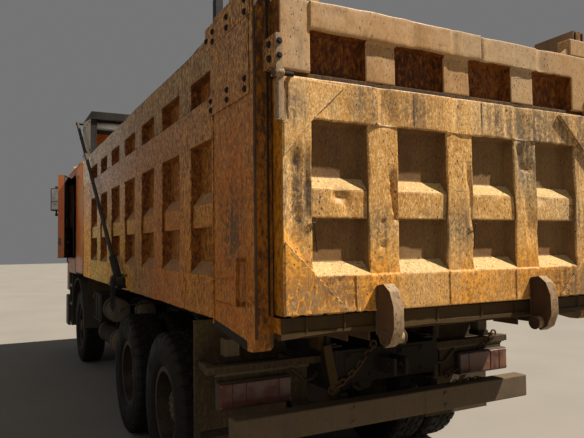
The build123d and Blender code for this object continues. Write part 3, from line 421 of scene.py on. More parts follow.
def make(name, verts, faces, mats, body, face_mat=None, smooth=True, angle=35.0, replaces=(), slot=None, attrs=None):
    """Mesh object from arrays; rides on a body."""
    me = bpy.data.meshes.new(name)
    me.from_pydata([tuple(map(float, v)) for v in verts], [], faces)
    me.validate(clean_customdata=False)
    for m in (mats if isinstance(mats, (list, tuple)) else [mats]):
        me.materials.append(m)
    if face_mat is not None:
        me.polygons.foreach_set("material_index", np.asarray(face_mat, np.int32))
    me.polygons.foreach_set("use_smooth", [smooth] * len(me.polygons))
    me.update()
    if smooth and angle:
        me.set_sharp_from_angle(angle=math.radians(angle))
    ob = bpy.data.objects.new(name, me)
    COLL.objects.link(ob)
    if body:
        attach(ob, body)
    if replaces:
        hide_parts(*replaces)
    return ob

class Kit:
    """Collects small solids into one mesh."""
    def __init__(self):
        self.v, self.f, self.m = [], [], []
        self.n = 0
    def add(self, verts, faces, mat=0):
        verts = np.asarray(verts, float).reshape(-1, 3)
        self.v.append(verts)
        self.f.extend([tuple(i + self.n for i in f) for f in faces])
        self.m.extend([mat] * len(faces))
        self.n += len(verts)
    def box(self, x0, x1, y0, y1, z0, z1, r=0.003, mat=0, rot=None, centre=None):
        """Box with chamfered edges; rot is a 3x3 turn about its middle (or about centre)."""
        lo = np.array([min(x0, x1), min(y0, y1), min(z0, z1)]); hi = np.array([max(x0, x1), max(y0, y1), max(z0, z1)])
        r = min(r, 0.45 * float((hi - lo).min()))
        v, idx = [], {}
        for cx in (0, 1):
            for cy in (0, 1):
                for cz in (0, 1):
                    c = np.array([hi[0] if cx else lo[0], hi[1] if cy else lo[1], hi[2] if cz else lo[2]])
                    s = np.array([-1 if cx else 1, -1 if cy else 1, -1 if cz else 1]) * r
                    for a in range(3):
                        p = c + s
                        p[a] = c[a]
                        idx[(cx, cy, cz, a)] = len(v)
                        v.append(p)
        f = []
        def ring(a, s):
            o = [(0, 0), (1, 0), (1, 1), (0, 1)]
            q = []
            for p0, p1 in o:
                k = [p0, p1]; k.insert(a, s)
                q.append(idx[(k[0], k[1], k[2], a)])
            good = s if a != 1 else 1 - s
            return q if good else q[::-1]
        for a in range(3):
            for s in (0, 1):
                f.append(ring(a, s))
        for a in range(3):
            b, c = [(1, 2), (0, 2), (0, 1)][a]
            for sb in (0, 1):
                for sc in (0, 1):
                    k0 = [0, 0, 0]; k1 = [0, 0, 0]
                    k0[a], k1[a] = 0, 1
                    k0[b] = k1[b] = sb; k0[c] = k1[c] = sc
                    q = [idx[(*k0, b)], idx[(*k1, b)], idx[(*k1, c)], idx[(*k0, c)]]
                    f.append(q)
        for cx in (0, 1):
            for cy in (0, 1):
                for cz in (0, 1):
                    f.append([idx[(cx, cy, cz, 0)], idx[(cx, cy, cz, 1)], idx[(cx, cy, cz, 2)]])
        v = np.array(v)
        mid = v.mean(0)
        out = []
        for q in f:                                   # outward winding
            p = v[q]
            nrm = np.cross(p[1] - p[0], p[2] - p[0])
            out.append(q if np.dot(nrm, p.mean(0) - mid) > 0 else q[::-1])
        if rot is not None:
            c = mid if centre is None else np.asarray(centre, float)
            v = (v - c) @ np.asarray(rot, float).T + c
        self.add(v, out, mat)
    def rod(self, p, q, r, n=12, mat=0, cap=0.15, r2=None):
        """Round bar from p to q with softened ends."""
        p, q = np.asarray(p, float), np.asarray(q, float)
        d = q - p
        L = np.linalg.norm(d)
        d = d / L
        a = np.cross(d, [0, 0, 1.0])
        if np.linalg.norm(a) < 1e-3:
            a = np.cross(d, [0, 1.0, 0])
        a /= np.linalg.norm(a); b = np.cross(d, a)
        r2 = r if r2 is None else r2
        c = min(cap * min(r, r2), 0.3 * L)
        rows = [(0, r - c), (c, r), (L - c, r2), (L, r2 - c)]
        v, f = [], []
        for t, rad in rows:
            for k in range(n):
                w = 2 * math.pi * k / n
                v.append(p + d * t + (a * math.cos(w) + b * math.sin(w)) * rad)
        for k in range(len(rows) - 1):
            for j in range(n):
                f.append((k * n + j, k * n + (j + 1) % n, (k + 1) * n + (j + 1) % n, (k + 1) * n + j))
        f.append(tuple(range(n))[::-1])
        f.append(tuple((len(rows) - 1) * n + j for j in range(n)))
        v = np.array(v)
        mid = v.mean(0)
        out = []
        for q_ in f:
            pp = v[list(q_)]
            nrm = np.cross(pp[1] - pp[0], pp[2] - pp[1])
            out.append(q_ if np.dot(nrm, pp.mean(0) - mid) > 0 else q_[::-1])
        self.add(v, out, mat)
    def tube(self, path, r, n=8, mat=0, closed=False, radii=None):
        """Tube along points, with parallel-transported rings."""
        path = np.asarray(path, float)
        k = len(path)
        if closed:
            tan = np.roll(path, -1, 0) - np.roll(path, 1, 0)
        else:
            tan = np.gradient(path, axis=0)
        tan /= np.linalg.norm(tan, axis=1)[:, None] + 1e-12
        a = np.cross(tan[0], [0.13, 0.31, 0.94]); a /= np.linalg.norm(a)
        v = []
        for i in range(k):
            a = a - tan[i] * np.dot(a, tan[i]); a /= np.linalg.norm(a)
            b = np.cross(tan[i], a)
            rr = r if radii is None else radii[i]
            for j in range(n):
                w = 2 * math.pi * j / n
                v.append(path[i] + (a * math.cos(w) + b * math.sin(w)) * rr)
        f = []
        for i in range(k if closed else k - 1):
            i2 = (i + 1) % k
            for j in range(n):
                f.append((i * n + j, i2 * n + j, i2 * n + (j + 1) % n, i * n + (j + 1) % n)[::-1])
        if not closed:
            f.append(tuple(range(n)))
            f.append(tuple((k - 1) * n + j for j in range(n))[::-1])
        self.add(v, f, mat)
    def bolt(self, p, axis, r=0.012, h=0.010, mat=0, washer=True):
        """Hexagon head on a washer, standing out along axis from p."""
        p, d = np.asarray(p, float), np.asarray(axis, float)
        d = d / np.linalg.norm(d)
        a = np.cross(d, [0.3, 0.2, 0.93]); a /= np.linalg.norm(a); b = np.cross(d, a)
        v, f = [], []
        rows = []
        if washer:
            rows += [(0, r * 1.45, 12), (0.0025, r * 1.45, 12)]
        base = 0.0025 if washer else 0.0
        rows += [(base, r, 6), (base + h * 0.8, r, 6), (base + h, r * 0.82, 6)]
        start = 0
        loops = []
        for t, rad, n in rows:
            loop = []
            for k in range(n):
                w = 2 * math.pi * k / n
                loop.append(len(v)); v.append(p + d * t + (a * math.cos(w) + b * math.sin(w)) * rad)
            loops.append(loop)
        groups = [loops[:2], loops[2:]] if washer else [loops]
        for g_ in groups:
            n = len(g_[0])
            for i in range(len(g_) - 1):
                for j in range(n):
                    f.append((g_[i][j], g_[i][(j + 1) % n], g_[i + 1][(j + 1) % n], g_[i + 1][j]))
            f.append(tuple(g_[-1])); f.append(tuple(g_[0])[::-1])
        self.add(v, f, mat)
    def prism(self, pts, axis, a0, a1, mat=0, r=0.0):
        """Flat outline extruded along an axis: 'y' takes (x, z) points, 'x' takes (y, z), 'z' takes (x, y)."""
        pts = [tuple(map(float, p)) for p in pts]
        area = sum(pts[i][0] * pts[(i + 1) % len(pts)][1] - pts[(i + 1) % len(pts)][0] * pts[i][1] for i in range(len(pts)))
        if area < 0:
            pts = pts[::-1]
        a0, a1 = min(a0, a1), max(a0, a1)
        def place(p, t):
            return {"y": (p[0], t, p[1]), "x": (t, p[0], p[1]), "z": (p[0], p[1], t)}[axis]
        n = len(pts)
        if r > 0:
            inner = offset(pts, r)
            rows = [(inner, a0), (pts, a0 + r), (pts, a1 - r), (inner, a1)]
        else:
            rows = [(pts, a0), (pts, a1)]
        v = [place(p, t) for ring, t in rows for p in ring]
        f = []
        for i in range(len(rows) - 1):
            for j in range(n):
                f.append((i * n + j, i * n + (j + 1) % n, (i + 1) * n + (j + 1) % n, (i + 1) * n + j))
        f.append(tuple(range(n))[::-1]); f.append(tuple((len(rows) - 1) * n + j for j in range(n)))
        if axis == "y":
            f = [q[::-1] for q in f]
        self.add(v, f, mat)
    def obj(self, name, mats, body, **k):
        return make(name, np.concatenate(self.v), self.f, mats, body, face_mat=self.m, **k)

def offset(pts, r):
    """Outline moved inwards by r (counter-clockwise points)."""
    n = len(pts)
    out = []
    for i in range(n):
        p0, p1, p2 = np.array(pts[i - 1]), np.array(pts[i]), np.array(pts[(i + 1) % n])
        d1 = (p1 - p0) / np.linalg.norm(p1 - p0); d2 = (p2 - p1) / np.linalg.norm(p2 - p1)
        n1 = np.array([-d1[1], d1[0]]); n2 = np.array([-d2[1], d2[0]])
        m = n1 + n2
        m = m / max(0.35, np.dot(m, n1) if abs(np.dot(m, n1)) > 1e-6 else 1.0)
        out.append(tuple(p1 + m * r))
    return out

def soften(node, mats, width=0.004, seg=2, name=None, angle=28, warp=None, cuts=0, body=None, dissolve=0.6, pick=None, hide=True):
    """Rounds a CAD node's edges in a copy that stands for it. pick(centre, normal) gives a face's material."""
    src = NODES[node]
    bm = bmesh.new()
    bm.from_mesh(src.data)
    bmesh.ops.remove_doubles(bm, verts=bm.verts, dist=0.00005)
    bmesh.ops.dissolve_limit(bm, angle_limit=math.radians(dissolve), verts=bm.verts, edges=bm.edges, delimit=set())
    bmesh.ops.dissolve_degenerate(bm, edges=bm.edges, dist=0.00005)
    if width > 0:
        sharp = [e for e in bm.edges if len(e.link_faces) == 2 and e.calc_face_angle(0) > math.radians(angle)]
        bmesh.ops.bevel(bm, geom=sharp, offset=width, offset_type="OFFSET", segments=seg, profile=0.5, affect="EDGES", clamp_overlap=True, harden_normals=False, miter_outer="ARC")
    if cuts:
        bmesh.ops.triangulate(bm, faces=[f for f in bm.faces if len(f.verts) > 4])
        for _ in range(cuts):
            long = [e for e in bm.edges if e.calc_length() > 0.12]
            bmesh.ops.subdivide_edges(bm, edges=long, cuts=1, use_grid_fill=False)
            bmesh.ops.triangulate(bm, faces=[f for f in bm.faces if len(f.verts) > 4])
    if warp:
        co = np.array([v.co for v in bm.verts], float)
        co = warp(co)
        for v, c in zip(bm.verts, co):
            v.co = c
    bmesh.ops.recalc_face_normals(bm, faces=bm.faces)
    me = bpy.data.meshes.new(name or node + "_skin")
    bm.to_mesh(me)
    bm.free()
    for m in (mats if isinstance(mats, (list, tuple)) else [mats]):
        me.materials.append(m)
    for p in me.polygons:
        p.use_smooth = True
        p.material_index = pick(p.center, p.normal) if pick else 0
    me.set_sharp_from_angle(angle=math.radians(40))
    ob = bpy.data.objects.new(name or node + "_skin", me)
    COLL.objects.link(ob)
    md = ob.modifiers.new("normals", "WEIGHTED_NORMAL")
    md.keep_sharp = True
    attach(ob, body or src["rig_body"])
    if hide:
        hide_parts(node)
    return ob

def paint(node, mat):
    """Gives a CAD node's own object a material."""
    for sl in NODES[node].material_slots:
        sl.material = mat

# ---- relief panels: a dense grid whose depth follows bays, ribs and rails, closed at the back
STEP_T = np.array([-10.0, -6.0, -3.0, -1.0, -0.2, 0.5, 2.0, 5.0, 10.0])
STEP_W = np.array([0.0, 0.006, 0.035, 0.09, 0.14, 0.93, 0.965, 0.99, 1.0])
def step(t):
    """0 outside, 1 inside, with a rounded outer edge and a welded inner corner; t in mm past the edge."""
    return np.interp(t, STEP_T, STEP_W)

def cluster(edges):
    out = []
    for e, s in edges:
        out += [e + s * t for t in (-10, -6, -3, -1, -0.2, 0.5, 2, 5, 10)]
    return out

def lines2(lo, hi, edges, knees, pitch, border=7.0):
    near = [lo, lo + 0.8, lo + 2.4, lo + border, hi - border, hi - 2.4, hi - 0.8, hi]
    near += cluster(edges)
    for k in knees:
        near += [k - 8, k - 3, k, k + 3, k + 8]
    near = sorted(x for x in set(np.round(near, 3)) if lo <= x <= hi)
    out = []
    for a, b in zip(near[:-1], near[1:]):
        out.append(a)
        n = int(max(1, round((b - a) / pitch)))
        if n > 1:
            out += [a + (b - a) * k / n for k in range(1, n)]
    out.append(near[-1])
    return np.array(out)

def edge_round(t, r=5.0):
    """Depth lost near a border, t mm from it."""
    u = np.clip(1 - t / r, 0, 1)
    return r * (1 - np.sqrt(np.clip(1 - u * u, 0, 1)))

def relief(name, U, V, depth, place, thick, mats, body, warp=None, replaces=(), slot=None, face_mat=None, rim=(0, 0)):
    """Grid over U x V (mm). depth(u, v) in mm from the outer face; place(u, v, d) gives metres. Closed by side strips and a back grid."""
    uu, vv = np.meshgrid(U, V, indexing="ij")
    d = depth(uu, vv)
    tb = np.minimum(np.minimum(uu - U[0], U[-1] - uu), np.minimum(vv - V[0], V[-1] - vv))
    d = d + edge_round(tb)
    u2, v2, d2 = (uu.copy(), vv.copy(), d)
    if warp:
        u2, v2, d2 = warp(uu, vv, d)
    nu, nv = len(U), len(V)
    front = place(u2.ravel(), v2.ravel(), d2.ravel())
    # back: coarse lines taken from the same grid, so that the rim closes
    idx = np.arange(nu * nv).reshape(nu, nv)
    q = np.stack([idx[:-1, :-1], idx[1:, :-1], idx[1:, 1:], idx[:-1, 1:]], -1).reshape(-1, 4)
    rim_idx = list(idx[:, 0]) + list(idx[-1, 1:]) + list(idx[-2::-1, -1]) + list(idx[0, -2:0:-1])
    ru, rv = u2.ravel()[rim_idx], v2.ravel()[rim_idx]
    back = place(ru, rv, np.full(len(rim_idx), float(thick)))
    n0 = len(front)
    verts = np.concatenate([front, back])
    faces = [tuple(r) for r in q.tolist()]
    m = len(rim_idx)
    for k in range(m):
        k2 = (k + 1) % m
        faces.append((rim_idx[k2], rim_idx[k], n0 + k, n0 + k2))
    faces.append(tuple(n0 + k for k in range(m))[::-1])
    # wind outwards: the front's normal must point away from the back
    p = front[idx[0, 0]], front[idx[1, 0]], front[idx[1, 1]]
    nrm = np.cross(p[1] - p[0], p[2] - p[1])
    c = front.mean(0) - back.mean(0)
    if np.dot(nrm, c) < 0:
        faces = [f[::-1] for f in faces]
    fm = None
    if face_mat is not None:
        cu_, cv_ = uu[:-1, :-1] + 0.5 * np.diff(uu, axis=0)[:, :-1], vv[:-1, :-1] + 0.5 * np.diff(vv, axis=1)[:-1, :]
        ends = np.array([q_ % nv == 0 or q_ % nv == nv - 1 for q_ in rim_idx])
        fm = list(face_mat(cu_.ravel(), cv_.ravel())) + [rim[1] if (ends[k] and ends[(k + 1) % m]) else rim[0] for k in range(m)] + [len(mats) - 1 if isinstance(mats, (list, tuple)) else 0]
    return make(name, verts, faces, mats, body, face_mat=fm, replaces=replaces, slot=slot, angle=42)

# ================================================================ tailgate and upper gate
GATE_BAYS = ((-978, -636), (-440, -98), (98, 440), (636, 978))
# the first piece ends on its slope; only 1908 and 2399 are real steps
def gate_depth(z):
    a = sum(np.interp(z + o, [1400, 1618, 1618.01, 1690, 1908], [0, 0, 3, 80, 80]) for o in (-4, -2, 0, 2, 4)) / 5
    b = sum(np.interp(z + o, [1908, 2053, 2122, 2399], [24, 24, 80, 80]) for o in (-4, -2, 0, 2, 4)) / 5
    s1 = 1 - step(1908 - z)
    s2 = 1 - step(2399 - z)
    return (a * (1 - s1) + b * s1) * (1 - s2)
def bays_weight(y, bays):
    w = np.zeros_like(y)
    for a, b in bays:
        w = np.maximum(w, step(y - a) * step(b - y))
    return w
def valley(t, left, right, soft=4.0):
    """V groove: 1 at t = 0, falling to 0 at t = left on one side and t = -right on the other."""
    v = np.where(t > 0, 1 - t / left, 1 + t / right)
    v = np.clip(v, 0, 1)
    return v * v * (3 - 2 * v) * 0.35 + v * 0.65

def gate_warp(y, z, d):
    y2, z2, d2 = y.copy(), z.copy(), d.copy()
    p = np.stack([y.ravel() / 330.0, z.ravel() / 330.0, np.zeros(y.size)], 1)
    d2 += (fbm(p, 5, 3) * 5.0).reshape(y.shape)
    d2 += (vnoise(p * 6.5, 9) * 1.0).reshape(y.shape)
    rail = ramp01(z, 2385, 2410)
    # kinks along the top rail
    for yc, zc, dep, l, r, tilt in ((530, 2500, 15, 75, 95, 0.15), (31, 2520, 9, 40, 55, 0.0), (-373, 2560, 8, 30, 40, 0.05), (-468, 2510, 17, 42, 120, 0.04), (905, 2540, 5, 60, 60, 0.3)):
        t = y - yc - (z - zc) * tilt
        d2 += dep * valley(t, l, r) * rail * (0.6 + 0.4 * gauss(z, zc, 110))
    d2 -= 7 * gauss(y, 600, 45) * gauss(z, 2490, 70)
    # lower edge of the top rail, torn and wavy
    lip = gauss(z, 2399, 9)
    z2 += lip * (vnoise(np.stack([y.ravel() / 40.0, np.zeros(y.size), np.zeros(y.size)], 1), 3).reshape(y.shape) * 3.0)
    z2 += 16 * gauss(y, 586, 9) * gauss(z, 2399, 7) - 9 * gauss(y, 604, 6) * gauss(z, 2399, 7)
    d2 -= 7 * gauss(y, 592, 14) * gauss(z, 2402, 12)
    # posts: crushed and kinked
    mid = ramp01(z, 1640, 1720) * (1 - ramp01(z, 2340, 2395))
    inpost = lambda a, b: ramp01(y, a - 2, a + 6) * (1 - ramp01(y, b - 6, b + 2))
    c = 462 + (z - 1912) * 0.155
    d2 += 34 * valley(y - c, 10, np.maximum(c - 438, 8), 2) * ramp01(z, 1880, 1920) * (1 - ramp01(z, 2090, 2190)) * inpost(436, 640)
    c = -524 + (z - 2094) * 0.12
    d2 += 30 * valley(y - c, 26, 118) * ramp01(z, 1700, 1900) * (1 - ramp01(z, 2350, 2395)) * inpost(-640, -436) * (0.75 + 0.25 * np.sin(z / 70.0))
    c = -70 + (z - 2079) * 0.09
    d2 += 17 * valley(y - c, 20, 34) * ramp01(z, 1820, 1930) * (1 - ramp01(z, 2160, 2260)) * inpost(-102, 102)
    d2 += 14 * gauss(y, 545, 16) * gauss(z, 1763, 16) + 12 * gauss(y, 547, 14) * gauss(z, 1890, 14)
    d2 += 10 * gauss(y, -560, 50) * gauss(z, 2230, 26) * inpost(-640, -436)
    for yc, amp, ph in ((538, 4.0, 0.0), (0, 9.0, 1.2), (-538, 7.0, 2.2), (-985, 6.0, 0.7)):
        y2 += mid * gauss(y, yc, 118) * (amp * np.sin((z - 1640) / 118.0 + ph) + 0.5 * amp * np.sin((z - 1640) / 47.0 + ph * 2))
    y2 += 14 * gauss(y, 0, 120) * gauss(z, 1690, 60)
    # left end: groove beside the bay
    g = np.where((y > 972) & (y < 1012), (y - 972) / 40.0, np.where((y >= 1012) & (y < 1020), (1020 - y) / 8.0, 0.0))
    d2 += 16 * g * ramp01(z, 1860, 1930) * (1 - ramp01(z, 2180, 2320))
    d2 += 21 * valley(y - 1094, 47, 108, 2) * ramp01(z, 1690, 1800) * (1 - ramp01(z, 2170, 2290))
    d2 += 7 * gauss(y, 1065, 18) * (gauss(z, 1920, 60) + 0.8 * gauss(z, 2190, 50))
    # mid rib of the left bay, punched in
    r2 = ((y - 808) / 42.0) ** 2 + ((z - 2030) / 36.0) ** 2
    d2 += 26 * np.exp(-r2 * 1.4) + 9 * np.exp(-((y - 770) / 20.0) ** 2 - ((z - 1990) / 60.0) ** 2)
    z2 -= 10 * np.exp(-r2) * (d > 1)
    d2 += 10 * gauss(y, -700, 40) * gauss(z, 2040, 25) + 6 * gauss(y, 250, 60) * gauss(z, 1925, 20)
    # lower rail: bolt hole, bruises, welded joint, bent bottom edge
    d2 += 9 * gauss(y, 825, 12) * gauss(z, 1590, 12) + 5 * gauss(y, 770, 60) * gauss(z, 1598, 14)
    d2 += 8 * gauss(y, 960, 90) * gauss(z, 1470, 50) + 6 * gauss(y, -740, 80) * gauss(z, 1500, 50)
    low = gauss(z, 1427, 26)
    nz = vnoise(np.stack([y.ravel() / 26.0, np.zeros(y.size), np.zeros(y.size)], 1), 21).reshape(y.shape)
    z2 += low * (5 + 6 * nz) * ramp01(y, 560, 700)
    z2 += low * (3 + 5 * nz) * (1 - ramp01(y, -900, -700))
    d2 -= low * 4 * (1 + nz) * ramp01(y, 560, 700)
    return y2, z2, d2

def gate_field(y, z):
    w = bays_weight(y, GATE_BAYS)
    posts = ramp01(z, 1612, 1622) * (1 - ramp01(z, 2394, 2403)) * (np.abs(y) < 978) * 9.0
    return w * gate_depth(z) + (1 - w) * posts

def gate_place(y, z, d):
    return np.stack([REAR + d * 0.001, y * 0.001, z * 0.001], 1)

gu = lines2(-1142, 1142, [(a, 1) for a, b in GATE_BAYS] + [(b, -1) for a, b in GATE_BAYS], [], 13)
gv = lines2(1427, 2606, [(1908, -1), (2399, -1)], [1618, 1690, 2053, 2122], 13)
# the shadowed underside of each step is the wide one, so its cluster points down
def gate_faces(y, z):
    # faces deeper than 10 mm take the darker hollow coat (painted shade with dirt), flat slopes the ledge coat, rib
    # fronts the gate's coat
    w = bays_weight(y, GATE_BAYS)
    flat = w > 0.97
    out = np.where(w * gate_depth(z) > 10, 1, 0)
    out = np.where(flat & (((z > 1620) & (z < 1688)) | ((z > 2055) & (z < 2120))), 2, out)
    return np.where(flat & (z > 1908) & (z < 2053), 0, out)
# hollows take the darker coat, painted shade with dirt; the end faces take the darker side coat, painted shade
gate = relief("tailgate_skin", gu, gv, gate_field, gate_place, 115, [mat_gate, mat_deep_dirt_and_shade, mat_ledge, mat_gateside_shade, mat_inner], "tailgate", warp=gate_warp, replaces=(), slot="body_orange",
              face_mat=gate_faces, rim=(3, 0))

UP_BAYS = GATE_BAYS
def up_field(y, z):
    w = bays_weight(y, UP_BAYS)
    s2 = 1 - step(2847 - z)
    bay = 80 * (1 - s2)
    posts = (1 - ramp01(z, 2843, 2851)) * (np.abs(y) < 978) * 20.0
    return w * bay + (1 - w) * posts

def up_warp(y, z, d):
    y2, z2, d2 = y.copy(), z.copy(), d.copy()
    p = np.stack([y.ravel() / 350.0, z.ravel() / 350.0, np.full(y.size, 3.0)], 1)
    d2 += (fbm(p, 15, 3) * 5.0).reshape(y.shape) + (vnoise(p * 7, 19) * 1.0).reshape(y.shape)
    rail = ramp01(z, 2835, 2860)
    d2 += rail * (12 * valley(y + 685, 30, 90) + 8 * valley(y - 330, 70, 60) + 7 * valley(y - 40, 25, 40))
    # the rail is made of two lengths that overlap by a hand's width, with a torn end
    lap = ramp01(y, -176, -172)
    d2 -= rail * 9 * lap * (1 - ramp01(y, 980, 984))
    d2 += rail * 9 * gauss(y, -184, 7)
    z2 += 5 * rail * ramp01(z, 2940, 3000) * vnoise(np.stack([y.ravel() / 120.0, np.zeros(y.size), np.zeros(y.size)], 1), 31).reshape(y.shape)
    z2 += 7 * gauss(y, -176, 8) * ramp01(z, 2980, 3000)
    z2 += gauss(z, 2847, 9) * vnoise(np.stack([y.ravel() / 55.0, np.zeros(y.size), np.zeros(y.size)], 1), 33).reshape(y.shape) * 3.5
    return y2, z2, d2
uu_ = lines2(-1149, 1149, [(a, 1) for a, b in UP_BAYS] + [(b, -1) for a, b in UP_BAYS] + [(-174, 1)], [], 15)
uv_ = lines2(2634, 3000, [(2847, -1)], [], 15)
# its bays take the dark hollow coat and its end faces the darker corner coat: painted shade with dirt
upgate = relief("upper_gate_skin", uu_, uv_, up_field, gate_place, 115, [mat_top, mat_recess_dirt_and_shade, mat_cornerback_dirt_and_shade, mat_inner], "bed", warp=up_warp, slot="body_orange",
                face_mat=lambda y, z: np.where(bays_weight(y, UP_BAYS) * 80 * step(2847 - z) > 8, 1, 0), rim=(2, 0))

# ================================================================ ribbed sides
POSTS = ((1132, 1375), (1853, 2094), (2553, 2806), (3273, 3523), (4000, 4252), (4718, 4960))
BAY_X = [720] + [v for p in POSTS for v in p] + [5490]
SIDE_BAYS = [(BAY_X[k], BAY_X[k + 1]) for k in range(0, len(BAY_X), 2)]
def side_depth(z):
    a = sum(np.interp(z + o, [1357, 1600, 1600.01, 1680, 1887], [0, 0, 4, 78, 78]) for o in (-4, -2, 0, 2, 4)) / 5
    b = sum(np.interp(z + o, [1887, 2030, 2110, 2404], [22, 22, 78, 78]) for o in (-4, -2, 0, 2, 4)) / 5
    s1 = 1 - step(1887 - z)
    s2 = 1 - step(2404 - z)
    return (a * (1 - s1) + b * s1) * (1 - s2)
def side_field(x, z):
    w = bays_weight(x, SIDE_BAYS)
    return w * side_depth(z)
def side_warp(seed):
    def f(x, z, d):
        x2, z2, d2 = x.copy(), z.copy(), d.copy()
        p = np.stack([x.ravel() / 420.0, z.ravel() / 420.0, np.full(x.size, 7.0)], 1)
        d2 += (fbm(p, seed, 3) * 6.0).reshape(x.shape) + (vnoise(p * 7, seed + 4) * 1.0).reshape(x.shape)
        mid = ramp01(z, 1640, 1720) * (1 - ramp01(z, 2340, 2395))
        rng = np.random.RandomState(seed)
        for a, b in POSTS:
            c, am, ph = (a + b) / 2, rng.uniform(1, 6), rng.uniform(0, 6)
            x2 += mid * gauss(x, c, 130) * am * np.sin((z - 1640) / 110.0 + ph)
            if rng.rand() < 0.6:
                yc, zc = rng.uniform(a + 30, b - 30), rng.uniform(1750, 2300)
                d2 += rng.uniform(6, 16) * gauss(x, yc, rng.uniform(25, 60)) * gauss(z, zc, rng.uniform(25, 80)) * mid
        for k in range(7):
            yc, zc = rng.uniform(900, 5300), rng.choice([1470, 2520]) + rng.uniform(-40, 40)
            d2 += rng.uniform(3, 9) * gauss(x, yc, rng.uniform(40, 130)) * gauss(z, zc, rng.uniform(30, 70))
        n1 = vnoise(np.stack([x.ravel() / 60.0, np.zeros(x.size), np.zeros(x.size)], 1), seed + 9).reshape(x.shape)
        z2 += gauss(z, 2404, 9) * n1 * 3 + gauss(z, 1357, 16) * n1 * 4
        return x2, z2, d2
    return f
su = lines2(692, 6198, [(a, 1) for a, b in SIDE_BAYS] + [(b, -1) for a, b in SIDE_BAYS], [], 24)
sv = lines2(1357, 2648, [(1887, -1), (2404, -1)], [1600, 1680, 2030, 2110], 22)
eu = lines2(692, 6198, [(a, 1) for a, b in SIDE_BAYS] + [(b, -1) for a, b in SIDE_BAYS], [], 26)
ev = lines2(2652, 3015, [(2820, -1)], [], 20)
def ext_field(x, z):
    return bays_weight(x, SIDE_BAYS) * 78 * step(2820 - z)
def ext_warp(seed):
    def f(x, z, d):
        x2, z2, d2 = x.copy(), z.copy(), d.copy()
        p = np.stack([x.ravel() / 450.0, z.ravel() / 450.0, np.full(x.size, 2.0)], 1)
        d2 += (fbm(p, seed, 3) * 6.0).reshape(x.shape)
        top = ramp01(z, 2900, 3015)
        n1 = vnoise(np.stack([x.ravel() / 300.0, np.zeros(x.size), np.zeros(x.size)], 1), seed + 3).reshape(x.shape)
        z2 += top * n1 * 6
        d2 += ramp01(z, 2830, 2860) * 8 * valley(x - 3900, 60, 120)
        return x2, z2, d2
    return f
def side_faces(x, z):
    # walls deeper than 8 mm take the dark hollow coat and flat backs the darker back coat: painted shade with dirt;
    # slopes take the ledge coat
    w = bays_weight(x, SIDE_BAYS)
    d = w * side_depth(z)
    ledge = ((z > 1604) & (z < 1676)) | ((z > 2034) & (z < 2106))
    flat = w > 0.97
    out = np.where((d > 8), 1, 0)
    out = np.where(flat & ledge, 2, out)
    out = np.where((out == 1) & flat, 3, out)
    return np.where(flat & (z > 1887) & (z < 2030), 0, out)
for side, s in SIDES:
    def sp(x, z, d, s=s):
        return np.stack([REAR + x * 0.001, s * (1.250 - d * 0.001), z * 0.001], 1)
    # hollows and their backs take the dark coats: painted shade with dirt
    relief("bed_side_%s_skin" % side, su, sv, side_field, sp, 100, [mat_body, mat_recess_dirt_and_shade, mat_slope, mat_sideback_dirt_and_shade, mat_inner], "bed", warp=side_warp(11 if s > 0 else 23), slot="body_orange", face_mat=side_faces)
    relief("side_extension_%s_skin" % side, eu, ev, ext_field, sp, 100, [mat_ext, mat_recess_dirt_and_shade, mat_sideback_dirt_and_shade, mat_inner], "bed", warp=ext_warp(41 if s > 0 else 57), slot="body_orange",
           face_mat=lambda x, z: np.where(ext_field(x, z) > 6, np.where((bays_weight(x, SIDE_BAYS) > 0.97) & (step(2820 - z) > 0.97), 2, 1), 0))

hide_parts("tailgate")
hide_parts("upper_tailgate")
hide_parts("bed_sides")
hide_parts("side_extensions")

# ================================================================ rear corners, beam and gate fittings
def mm(K, x0, x1, y0, y1, z0, z1, r=3.0, mat=0, **k):
    """Chamfered box in millimetres, x measured forward of the gate's face."""
    K.box(X(x0), X(x1), y0 * 0.001, y1 * 0.001, z0 * 0.001, z1 * 0.001, r * 0.001, mat, **k)
def pt(x, y, z):
    return (X(x), y * 0.001, z * 0.001)
def turn(axis, deg):
    return np.array(Matrix.Rotation(math.radians(deg), 3, axis))
def weld(K, a, b, r=0.005, mat=0, seed=1, n=None):
    """Weld bead from a to b: a wavy half-round run."""
    a, b = np.array(a, float), np.array(b, float)
    L = np.linalg.norm(b - a)
    k = int(max(4, L / 0.012)) if n is None else n
    t = np.linspace(0, 1, k)
    rng = np.random.RandomState(seed)
    path = a + (b - a) * t[:, None] + rng.normal(0, r * 0.12, (k, 3))
    K.tube(path, r, 6, mat, radii=r * (1 + 0.22 * np.sin(np.arange(k) * 2.1) + rng.normal(0, 0.08, k)))

